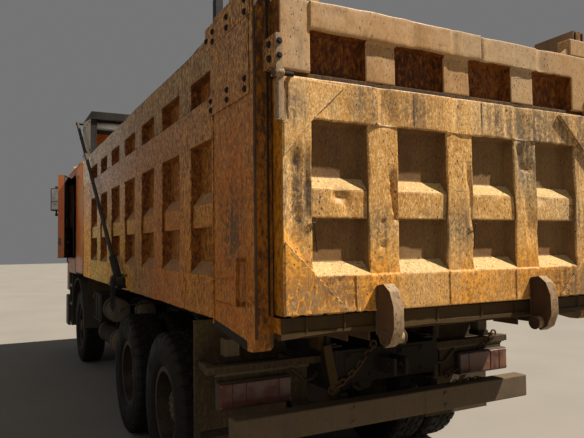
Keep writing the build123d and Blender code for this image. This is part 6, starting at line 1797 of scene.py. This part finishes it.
for w in (0.0, math.pi, -math.pi / 2):
    d_ = ux * math.cos(w) + uy * math.sin(w)
    K.tube([hub + nrm * 0.012 + d_ * 0.05, hub + nrm * 0.016 + d_ * 0.12, hub + nrm * 0.004 + d_ * 0.205], 0.011, 10, 0)
for k in range(40):
    w = 2 * math.pi * k / 40
    c_ = hub + (ux * math.cos(w) + uy * math.sin(w)) * 0.215
    d_ = ux * math.cos(w) + uy * math.sin(w)
    K.tube([c_ + d_ * 0.0165 * math.cos(t) + nrm * 0.0165 * math.sin(t) for t in np.linspace(0, 2 * math.pi, 12, endpoint=False)], 0.0011, 5, 1, closed=True)
K.obj("steering_wheel_grip", [mat_rubber, mat_trimgrey], "steering_wheel", slot=SLOT_OF["steering_wheel"])

# crumpled orange sheet, torn and folded back, that lies on the roof's left side
def crumpled():
    nu_, nv_ = 34, 22
    u_, v_ = np.meshgrid(np.linspace(0, 1, nu_), np.linspace(0, 1, nv_), indexing="ij")
    x_ = 7000 + 980 * u_
    y_ = 1168 - 250 * v_ + 30 * np.sin(u_ * 9)
    fold = np.maximum(0, np.sin(v_ * 6.2 + u_ * 5.0)) * 46 + np.maximum(0, np.sin(u_ * 15 + v_ * 3.0)) * 24 * (1 - v_)
    lift = 70 * np.clip((u_ - 0.55) / 0.45, 0, 1) ** 1.5 * (1 - 0.5 * v_)
    nz_ = fbm(np.stack([x_.ravel() / 90, y_.ravel() / 90, np.zeros(x_.size)], 1), 77, 4).reshape(x_.shape)
    base = 3046 + (1220 - y_) * 64 / 140.0
    base = np.minimum(base, 3100)
    z_ = base + 6 + fold * 0.55 + lift + 16 * np.abs(nz_)
    # ragged rim
    x_ = x_ + 24 * nz_ * ((u_ < 0.03) | (u_ > 0.97)); y_ = y_ + 22 * nz_ * ((v_ < 0.05) | (v_ > 0.95))
    v = np.stack([REAR + x_ * 0.001, y_ * 0.001, z_ * 0.001], -1).reshape(-1, 3)
    f = [(i * nv_ + j, (i + 1) * nv_ + j, (i + 1) * nv_ + j + 1, i * nv_ + j + 1) for i in range(nu_ - 1) for j in range(nv_ - 1)]
    ob = make("roof_crumpled_sheet", v, f, [mat_flapcloth], "cab", angle=50, slot=SLOT_OF["cab_roof"])
g = Graph("orange_sheet")
n1_, n2_ = g.noise(g.P, 9, 6, 0.65), g.noise(g.P, 110, 4, 0.7)
mat_flapcloth = g.finish(color=g.mix(g.range(n2_, 0.45, 0.65, 0, 0.5), g.ramp(n1_, [(0.35, "#8c4a17"), (0.5, "#b8691f"), (0.62, "#cf8a3c")]), "#6d4c30"), rough=0.6, normal=g.bump(g.add(n1_, n2_), 0.4, 0.003))
crumpled()

# ================================================================ seats: padded covers, swollen with cloth
def cloth_mat():
    g = Graph("seat_cloth")
    P = g.P
    x_, y_, z_ = g.split(P)
    w1 = g.math("SINE", g.mul(y_, 2600.0)); w2 = g.math("SINE", g.mul(g.add(x_, z_), 2600.0))
    weave = g.mul(g.add(w1, w2), 0.5)
    n1 = g.noise(P, 7, 5, 0.6); n2 = g.noise(P, 160, 3, 0.6)
    col = g.ramp(g.add(g.mul(n1, 0.6), g.mul(n2, 0.4)), [(0.35, "#26262a"), (0.6, "#393a40")])
    col = g.mix(g.range(n1, 0.5, 0.7, 0, 0.5), col, "#6a5f50")
    return g.finish(color=col, rough=0.92, normal=g.bump(g.add(weave, n2), 0.25, 0.0008), Sheen_Weight=0.3)
mat_cloth = cloth_mat()
def pad(name, corners8, r, swell, seed):
    """Cushion from an eight-cornered block, shrunk, rounded and blown up as cloth."""
    c = np.array(corners8, float)
    mid = c.mean(0)
    n = 14
    bm = bmesh.new()
    grid = {}
    def pos(u, v, w):
        cu = [(1 - u) * (1 - v) * (1 - w), u * (1 - v) * (1 - w), u * v * (1 - w), (1 - u) * v * (1 - w), (1 - u) * (1 - v) * w, u * (1 - v) * w, u * v * w, (1 - u) * v * w]
        return sum(k * p for k, p in zip(cu, c))
    size = [np.linalg.norm(c[1] - c[0]), np.linalg.norm(c[3] - c[0]), np.linalg.norm(c[4] - c[0])]
    def vert(a, b, d):
        key = (a, b, d)
        if key not in grid:
            t = np.array([a, b, d], float) / n
            q = (t - 0.5) * 2
            h = np.array(size) / 2
            p = q * h
            lim = np.maximum(h - r, 1e-4)
            cl = np.clip(p, -lim, lim)
            dd = p - cl
            l = np.linalg.norm(dd)
            if l > 1e-9:
                p = cl + dd / l * min(l, r) if l > r else cl + dd / l * r * (l / r)
            # sides pull in between the corners, faces crown
            e = 1 - np.abs(q) ** 2
            crown = np.array([e[1] * e[2], e[0] * e[2], e[0] * e[1]])
            p = p + np.sign(q) * (np.abs(q) > 0.98) * crown * swell * np.array([0.4, 0.4, 1.0])
            t2 = p / (2 * h) + 0.5
            grid[key] = bm.verts.new(pos(*t2))
        return grid[key]
    for a in range(n):
        for b in range(n):
            for k in (0, n):
                q = [(a, b, k), (a + 1, b, k), (a + 1, b + 1, k), (a, b + 1, k)]
                bm.faces.new([vert(*x) for x in (q if k else q[::-1])])
                q = [(a, k, b), (a + 1, k, b), (a + 1, k, b + 1), (a, k, b + 1)]
                bm.faces.new([vert(*x) for x in (q[::-1] if k else q)])
                q = [(k, a, b), (k, a + 1, b), (k, a + 1, b + 1), (k, a, b + 1)]
                bm.faces.new([vert(*x) for x in (q if k else q[::-1])])
    bmesh.ops.recalc_face_normals(bm, faces=bm.faces)
    me = bpy.data.meshes.new(name)
    bm.to_mesh(me); bm.free()
    ob = bpy.data.objects.new(name, me)
    COLL.objects.link(ob)
    try:
        rm = ob.modifiers.new("remesh", "REMESH"); rm.mode = "VOXEL"; rm.voxel_size = 0.011
        me2 = bpy.data.meshes.new_from_object(ob.evaluated_get(bpy.context.evaluated_depsgraph_get()))
        ob.modifiers.clear(); ob.data = me2
        rest = np.array([v.co for v in me2.vertices])
        cl = ob.modifiers.new("cloth", "CLOTH")
        cl.settings.use_pressure = True; cl.settings.uniform_pressure_force = 4.0
        cl.settings.quality = 5; cl.settings.mass = 0.4
        cl.settings.effector_weights.gravity = 0.0
        sc_ = bpy.context.scene
        cl.point_cache.frame_start, cl.point_cache.frame_end = 1, 16
        for f_ in range(1, 16):
            sc_.frame_set(f_)
        me3 = bpy.data.meshes.new_from_object(ob.evaluated_get(bpy.context.evaluated_depsgraph_get()))
        new = np.array([v.co for v in me3.vertices])
        d = new - rest
        l = np.linalg.norm(d, axis=1, keepdims=True)
        new = rest + d * np.minimum(1.0, 0.012 / np.maximum(l, 1e-9))
        ob.modifiers.clear()
        me3.vertices.foreach_set("co", new.ravel()); me3.update()
        ob.data = me3
        sc_.frame_set(1)
    except RuntimeError:
        ob.modifiers.clear()
    for p in ob.data.polygons:
        p.use_smooth = True
    ob.data.materials.clear(); ob.data.materials.append(mat_cloth)
    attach(ob, "cab")
    return ob
def block(x0, x1, y0, y1, z0, z1):
    return [pt(x0, y0, z0), pt(x1, y0, z0), pt(x1, y1, z0), pt(x0, y1, z0), pt(x0, y0, z1), pt(x1, y0, z1), pt(x1, y1, z1), pt(x0, y1, z1)]
first = None
for nm, sy in (("left", 560), ("right", -560)):
    a = pad("seat_cushion_" + nm, block(7136, 7626, sy - 226, sy + 226, 1652, 1758), 0.034, 0.016, 1)
    bk = pad("seat_back_" + nm, [pt(7138, sy - 222, 1700), pt(7138, sy + 222, 1700), pt(7062, sy + 222, 2335), pt(7062, sy - 222, 2335),
                                pt(7214, sy - 222, 1700), pt(7214, sy + 222, 1700), pt(7138, sy + 222, 2335), pt(7138, sy - 222, 2335)], 0.030, 0.016, 2)
    if first is None:
        first = a
        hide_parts("seats")
    K = Kit()
    mm(K, 7190, 7570, sy - 185, sy + 185, 1432, 1600, 14, 0)
    mm(K, 7150, 7610, sy - 215, sy + 215, 1598, 1650, 12, 0)
    for s in (1, -1):
        K.rod(pt(7150, sy + s * 232, 1690), pt(7150, sy + s * 243, 1690), 0.040, 24, 0)
        mm(K, 7100, 7160, sy + s * 228 - 5, sy + s * 228 + 5, 1640, 1900, 4, 0)
    # piping along the cushion's and the back's seams
    loop = [(7150, sy - 214), (7612, sy - 214), (7612, sy + 214), (7150, sy + 214)]
    for zz in (1670, 1744):
        pts_ = []
        for i in range(4):
            (xa, ya), (xb, yb) = loop[i], loop[(i + 1) % 4]
            for t in np.linspace(0.06, 0.94, 8):
                bul = 14 * math.sin(math.pi * t)
                cx_, cy_ = xa + (xb - xa) * t, ya + (yb - ya) * t
                nx_, ny_ = (0, -1) if i == 0 else (1, 0) if i == 1 else (0, 1) if i == 2 else (-1, 0)
                pts_.append(pt(cx_ + nx_ * bul * 0.55, cy_ + ny_ * bul * 0.55, zz))
        K.tube(pts_, 0.0035, 6, 1, closed=True)
    K.obj("seat_frame_" + nm, [mat_trimgrey, mat_rubber], "cab", slot=SLOT_OF["seats"])

# ================================================================ bed inside, headboard, hoist
soften("bed_floor", [mat_inner, mat_under], 0.004, 2, pick=lambda c, n: 0 if (n[2] > 0.5 and c[2] > 1.40) else 1)
# bright orange for the upper rear face of the headboard, which the hood shades: painted light
mat_headtop_painted_light = painted("headboard_face_painted_light", ["#d2641f", "#e8803a", "#f29040", "#f9a85a"], "#c09a70", "#5a341a", rust="#4a240e", dust_amt=0.25, rust_amt=0.75, speck=0.9, streak=0.5, rough=0.7, grain=(0.5, "#542a10", "#e29a56"))
soften("headboard", [mat_body, mat_inner, mat_headtop_painted_light], 0.006, 2, cuts=2, pick=lambda c, n: (2 if c[2] > 2.7 else 1) if n[0] < -0.3 else 0)
soften("hoist_well", [mat_inner, mat_under], 0.006, 2)
K = Kit()
for s in (1, -1):
    for z_ in (1.95, 2.45):
        K.box(X(6198), X(6212), s * 0.20, s * 1.14, z_ + 0.36, z_ + 0.42, 0.006, 0)
    for yy in (0.35, 0.81):
        K.box(X(6150), X(6158), s * (yy - 0.10), s * (yy + 0.10), 1.56, 2.24, 0.010, 0)
for yy in (-0.09, 0.09):
    K.rod((X(6385), yy - 0.02 * np.sign(yy), 2.700), (X(6385), yy + 0.028 * np.sign(yy), 2.700), 0.048, 28, 1)
K.obj("headboard_details", [mat_body, mat_cast], "bed", slot="body_orange")
chrome = painted("hoist_chrome", ["#6c6a66", "#7b7975", "#8b8985", "#9a9894"], "#857a6a", "#3a352e", rust="#4d3724", dust_amt=0.35, rust_amt=0.15, speck=0.2, streak=0.4, rough=0.3, bumpy=0.1)
paint("hoist_barrel", mat_cast)
for k in (1, 2, 3):
    paint("hoist_stage_%d" % k, chrome)
HX = X(6375)
def gland(body, r, z, slot):
    K = Kit()
    K.rod((HX, 0, z - 0.034), (HX, 0, z + 0.002), r + 0.008, 40, 0)
    K.tube([(HX + (r + 0.006) * math.cos(t), (r + 0.006) * math.sin(t), z - 0.040) for t in np.linspace(0, 2 * math.pi, 36, endpoint=False)], 0.004, 6, 0, closed=True)
    for k in range(8):
        w = 2 * math.pi * k / 8
        K.bolt((HX + (r - 0.004) * math.cos(w), (r - 0.004) * math.sin(w), z), (0, 0, 1), 0.0035, 0.003, 0, washer=False)
    K.obj(body + "_gland", [mat_cast], body, slot=slot)
gland("hoist_barrel", 0.098, 2.446, SLOT_OF["hoist_barrel"])
K = Kit()
for z_ in (0.98, 1.75, 2.30):
    K.tube([(HX + 0.1 * math.cos(t), 0.1 * math.sin(t), z_) for t in np.linspace(0, 2 * math.pi, 40, endpoint=False)], 0.006, 8, 0, closed=True)
for s in (1, -1):
    K.rod((HX, s * 0.122, 0.80), (HX, s * 0.098, 0.80), 0.055, 32, 0)
K.tube([(HX + 0.09, 0.0, 0.86), (HX + 0.13, 0.0, 0.86), (HX + 0.14, 0.02, 0.83), (HX + 0.14, 0.06, 0.80)], 0.012, 10, 1)
K.obj("hoist_barrel_bands", [mat_cast, mat_rubber], "hoist_barrel", slot=SLOT_OF["hoist_barrel"])

# ================================================================ cover housing, rolled sheet, arms, rope
mat_dark = painted("cover_black", ["#151413", "#1d1b1a", "#262321", "#302c29"], "#4f473e", "#0e0d0c", rust="#2f2016", dust_amt=0.30, rust_amt=0.3, speck=0.35, streak=0.4, rough=0.6, edge=0.4, edge_col="#6a5e50")
mat_cheek = painted("housing_cheek", ["#a99f90", "#b8ad9c", "#c3b9a8", "#cdc4b5"], "#bdb09a", "#6f6252", rust="#6a4426", dust_amt=0.5, rust_amt=0.25, speck=0.5, streak=0.5, rough=0.75, edge=0.4, edge_col="#d5ccbc",
                    grain=(0.4, "#7d7263", "#e0d9cc"))
def housing_pick(c, n):
    return 1 if abs(n[1]) > 0.7 and abs(c[1]) > 1.245 and c[2] < 3.50 else 0
soften("cover_housing", [mat_dark, mat_cheek], 0.006, 2, cuts=1, pick=housing_pick)
soften("cover_arms", [mat_dark], 0.0, 0)
K = Kit()
for s in (1, -1):
    K.rod((X(3200), s * 1.336, 1.430), (X(3200), s * 1.3385, 1.430), 0.040, 28, 0)
    a_, e_ = np.array([X(3200), s * 1.31, 1.430]), np.array([X(6430), s * 1.31, 3.590])
    d_ = (e_ - a_) / np.linalg.norm(e_ - a_)
    for t in (0.22, 0.55, 0.86):
        c_ = a_ + d_ * t * np.linalg.norm(e_ - a_)
        K.rod(c_ - d_ * 0.035, c_ + d_ * 0.035, 0.0235, 20, 0)
    K.rod(a_ + d_ * 0.05, a_ + d_ * (0.10 if s > 0 else 0.30), 0.028, 20, 0, r2=0.023)
K.obj("cover_arm_sleeves", [mat_dark], "cover_arms", slot=SLOT_OF["cover_arms"])
K = Kit()
for s in (1, -1):
    y0, y1 = sorted((s * 1.174, s * 1.2525))
    # the cheek's rear edge is a dark channel, tied to the hood; a flat bar runs down its outer side
    K.box(X(5516), X(5524), y0, y1, 3.016, 3.488, 0.003, 0)
    for zz in (3.06, 3.44):
        K.box(X(5560), X(6250), s * 1.249, s * 1.254, zz, zz + 0.034, 0.002, 1)
        for xx in (5600, 5820, 6040, 6220):
            K.bolt((X(xx), s * 1.254, zz + 0.017), (0, s, 0), 0.010, 0.006, 0)
    K.rod((X(5682), s * 1.150, 3.419), (X(5682), s * 1.177, 3.419), 0.034, 28, 2)
for yy in np.linspace(-1.1, 1.1, 9):
    for xx in (5530, 6236):
        K.bolt((X(xx), yy, 3.5765), (0, 0, 1), 0.009, 0.005, 0)
K.box(X(5490), X(5498), -1.248, 1.248, 3.478, 3.582, 0.003, 0)
for yy in np.linspace(-0.9, 0.9, 4):
    K.box(X(5500), X(6265), yy - 0.02, yy + 0.02, 3.470, 3.487, 0.003, 0)
K.obj("cover_housing_details", [mat_dark, mat_cheek, mat_glint], "bed", slot=SLOT_OF["cover_housing"])

def tarp_mat():
    g = Graph("cover_tarpaulin")
    P = g.P
    n1 = g.noise(P, 4, 6, 0.65); n2 = g.noise(P, 55, 5, 0.7)
    x_, y_, z_ = g.split(P)
    wv = g.mul(g.add(g.math("SINE", g.mul(y_, 1800.0)), g.math("SINE", g.mul(g.add(x_, z_), 1800.0))), 0.5)
    col = g.ramp(g.add(g.mul(n1, 0.6), g.mul(n2, 0.4)), [(0.35, "#c6cdd2"), (0.5, "#dde2e5"), (0.62, "#ebeded")])
    col = g.mix(g.range(n1, 0.54, 0.70, 0, 0.5), col, "#9a8d7b")
    return g.finish(color=col, rough=0.55, normal=g.bump(g.add(g.mul(wv, 0.6), g.add(n1, n2)), 0.25, 0.002), Coat_Weight=0.1)
mat_tarp = tarp_mat()
def rolled():
    pitch, r0, r1 = 1.95, 17.0, 60.0
    turns = (r1 - r0) / pitch
    n = int(turns * 30)
    th = np.linspace(0, turns * 2 * math.pi, n)
    rr = (r0 + pitch * th / (2 * math.pi)) / 1000
    ys = np.linspace(-1.15, 1.15, 25)
    v, f = [], []
    for j, y in enumerate(ys):
        wob = 1 + 0.012 * np.sin(3 * th + y * 5) * (rr > 0.05)
        bump_ = 0.0012 * vnoise(np.stack([np.full(n, y * 6), th * 0.8, np.zeros(n)], 1), 7) * (rr > 0.045)
        for k in range(n):
            r_ = min((rr[k] * wob[k] + bump_[k]), 0.0618)
            ragged = 0.004 * math.sin(th[k] * 0.7 + 3) if j in (0, len(ys) - 1) else 0.0
            v.append((X(5682) + r_ * math.cos(th[k]), y + (ragged if j == 0 else -ragged), 3.419 + r_ * math.sin(th[k])))
    for j in range(len(ys) - 1):
        for k in range(n - 1):
            f.append((j * n + k, j * n + k + 1, (j + 1) * n + k + 1, (j + 1) * n + k))
    ob = make("rolled_tarpaulin", np.array(v), f, [mat_tarp], "bed", angle=60, replaces=("rolled_cover",), slot=SLOT_OF["rolled_cover"])
rolled()

# rope: folded into a hank that hangs at the left arm's foot
def rope_mat():
    g = Graph("rope_fibre")
    P = g.P
    n1 = g.noise(P, 25, 5, 0.6); n2 = g.noise(P, 260, 3, 0.6)
    col = g.ramp(g.add(g.mul(n1, 0.5), g.mul(n2, 0.5)), [(0.35, "#100e0c"), (0.55, "#211d1a"), (0.68, "#3a352f")])
    return g.finish(color=col, rough=0.95, normal=g.bump(g.add(n2, n1), 0.6, 0.002), Sheen_Weight=0.2)
mat_rope = rope_mat()
ARM_A = np.array(pt(3200, 1310, 1430)); ARM_D = np.array([0.8313, 0.0, 0.5559]); ARM_N = np.array([-0.5559, 0.0, 0.8313])
def rope_points():
    """Wound up the arm's foot, turn on turn, then let down into a hank of long loops beside the pivot."""
    pts_ = []
    per, turns = 14, 31
    for k in range(turns * per + 1):                      # from the arm's upper end of the winding down to the pivot
        w = 2 * math.pi * k / per
        t = 0.430 - 0.0118 * k / per + 0.0012 * math.sin(k * 0.37)
        r = 0.0335 + 0.0022 * math.sin(k / per * 1.7) + 0.0012 * math.sin(k * 0.9)
        pts_.append(ARM_A + ARM_D * t + np.array([0, 1, 0]) * r * math.cos(w) - ARM_N * r * math.sin(w))
    # off the winding's outer side and down into the hank
    last = pts_[-1]
    cx, top, low, loops = X(3225), 1.470, 1.237, 4
    pts_ += [last + np.array([0.009, 0.002, -0.017]), last + np.array([0.015, 0.0045, -0.040]), np.array([cx + 0.045, 1.3505, 1.395]), np.array([cx + 0.046, 1.3505, 1.35]),
             np.array([cx + 0.047, 1.3505, 1.31]), np.array([cx + 0.048, 1.3505, 1.27])]
    y_ = 1.3505
    lows, highs = (low, low - 0.045, low + 0.02, low - 0.02), (top, top - 0.02, top - 0.012, top - 0.03)
    for q in range(loops):
        rb, rt = 0.048 - 0.004 * (q % 2), 0.043 + 0.003 * (q % 2)
        lo_, hi_ = lows[q], highs[q]
        n_y = 8 + 4 + 8 + 4
        step_y = 0.0102 / n_y
        for j in range(8):                                # round the bottom fold
            w = math.pi * (j + 0.5) / 8
            y_ += step_y
            pts_.append(np.array([cx + rb * math.cos(w), y_, lo_ - rb * math.sin(w)]))
        for j in range(4):                                # up the front strand
            y_ += step_y
            f_ = (j + 0.5) / 4
            pts_.append(np.array([cx - rb + (rb - rt) * f_ + 0.003 * math.sin(3.1 * f_ + q), y_, lo_ + (hi_ - lo_) * f_]))
        if q == loops - 1:
            break
        for j in range(8):                                # over the top fold
            w = math.pi * (j + 0.5) / 8
            y_ += step_y
            pts_.append(np.array([cx - rt * math.cos(w), y_, hi_ + rt * math.sin(w)]))
        for j in range(4):                                # down the back strand
            y_ += step_y
            f_ = (j + 0.5) / 4
            rn = 0.048 - 0.004 * ((q + 1) % 2)
            pts_.append(np.array([cx + rt + (rn - rt) * f_ + 0.003 * math.sin(2.3 * f_ + q), y_, hi_ + (lows[q + 1] - hi_) * f_]))
    return [tuple(map(float, p)) for p in pts_]
cu = bpy.data.curves.new("rope_line", "CURVE")
cu.dimensions = "3D"
HP = rope_points()
sp = cu.splines.new("NURBS")
sp.points.add(len(HP) - 1)
for p_, c_ in zip(sp.points, HP):
    p_.co = (c_[0], c_[1], c_[2], 1.0)
sp.order_u = 3
sp.use_endpoint_u = True
sp.resolution_u = 4
cu.bevel_depth = 0.0046
cu.bevel_resolution = 4
cu.use_fill_caps = True
cu.materials.append(mat_rope)
rope = bpy.data.objects.new("rope_line", cu)
COLL.objects.link(rope)
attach(rope, "cover_arms")
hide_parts("rope_hank")
tmp = cu.copy(); tmp.bevel_depth = 0.0
tob = bpy.data.objects.new("rope_probe", tmp)
tm = bpy.data.meshes.new_from_object(tob)
bpy.data.objects.remove(tob); bpy.data.curves.remove(tmp)
K = Kit()
# lashing round the hank's waist
for k in range(4):
    zz = 1.405 + k * 0.0105
    K.tube([(X(3225) + 0.0565 * math.cos(t), 1.370 + 0.0275 * math.sin(t), zz + 0.004 * math.sin(t + k)) for t in np.linspace(0, 2 * math.pi, 24, endpoint=False)], 0.0048, 8, 0, closed=True)
K.obj("rope_tie", [mat_rope], "cover_arms", slot=SLOT_OF["rope_hank"])
tuple(HP[0])

# ================================================================ stage and light
def floor_mat():
    g = Graph("studio_floor")
    n = g.noise(g.P, 0.7, 3, 0.5)
    n2 = g.noise(g.P, 30, 4, 0.6)
    return g.finish(color=g.ramp(g.add(g.mul(n, 0.7), g.mul(n2, 0.3)), [(0.3, "#78736c"), (0.7, "#837e76")]), rough=0.9)
fm = bpy.data.meshes.new("studio_floor")
fm.from_pydata([(-60, -60, 0), (60, -60, 0), (60, 60, 0), (-60, 60, 0)], [], [(0, 1, 2, 3)])
fm.materials.append(floor_mat())
floor = bpy.data.objects.new("studio_floor", fm)
COLL.objects.link(floor)
sun = bpy.data.lights.new("key", "SUN")
sun.energy, sun.angle, sun.color = 8.2, math.radians(1.2), (1.0, 0.92, 0.80)
so = bpy.data.objects.new("key", sun)
so.rotation_mode = "QUATERNION"
so.rotation_quaternion = Vector((-0.267, -0.525, 0.808)).to_track_quat("Z", "Y")
COLL.objects.link(so)
def area(name, loc, aim, size, power, color):
    l = bpy.data.lights.new(name, "AREA")
    l.shape, l.size, l.energy, l.color = "DISK", size, power, color
    o = bpy.data.objects.new(name, l)
    o.location = loc
    o.rotation_mode = "QUATERNION"
    o.rotation_quaternion = (Vector(loc) - Vector(aim)).to_track_quat("Z", "Y")
    COLL.objects.link(o)
area("fill", (-7, 9, 6), (-1, 0, 1.5), 7, 70, (1.0, 0.95, 0.88))
w = bpy.data.worlds.new("studio")
w.use_nodes = True
w.node_tree.nodes["Background"].inputs[0].default_value = (0.88, 0.88, 0.88, 1)
w.node_tree.nodes["Background"].inputs[1].default_value = 0.20
bpy.context.scene.world = w
bpy.context.scene.view_settings.view_transform = "Standard"
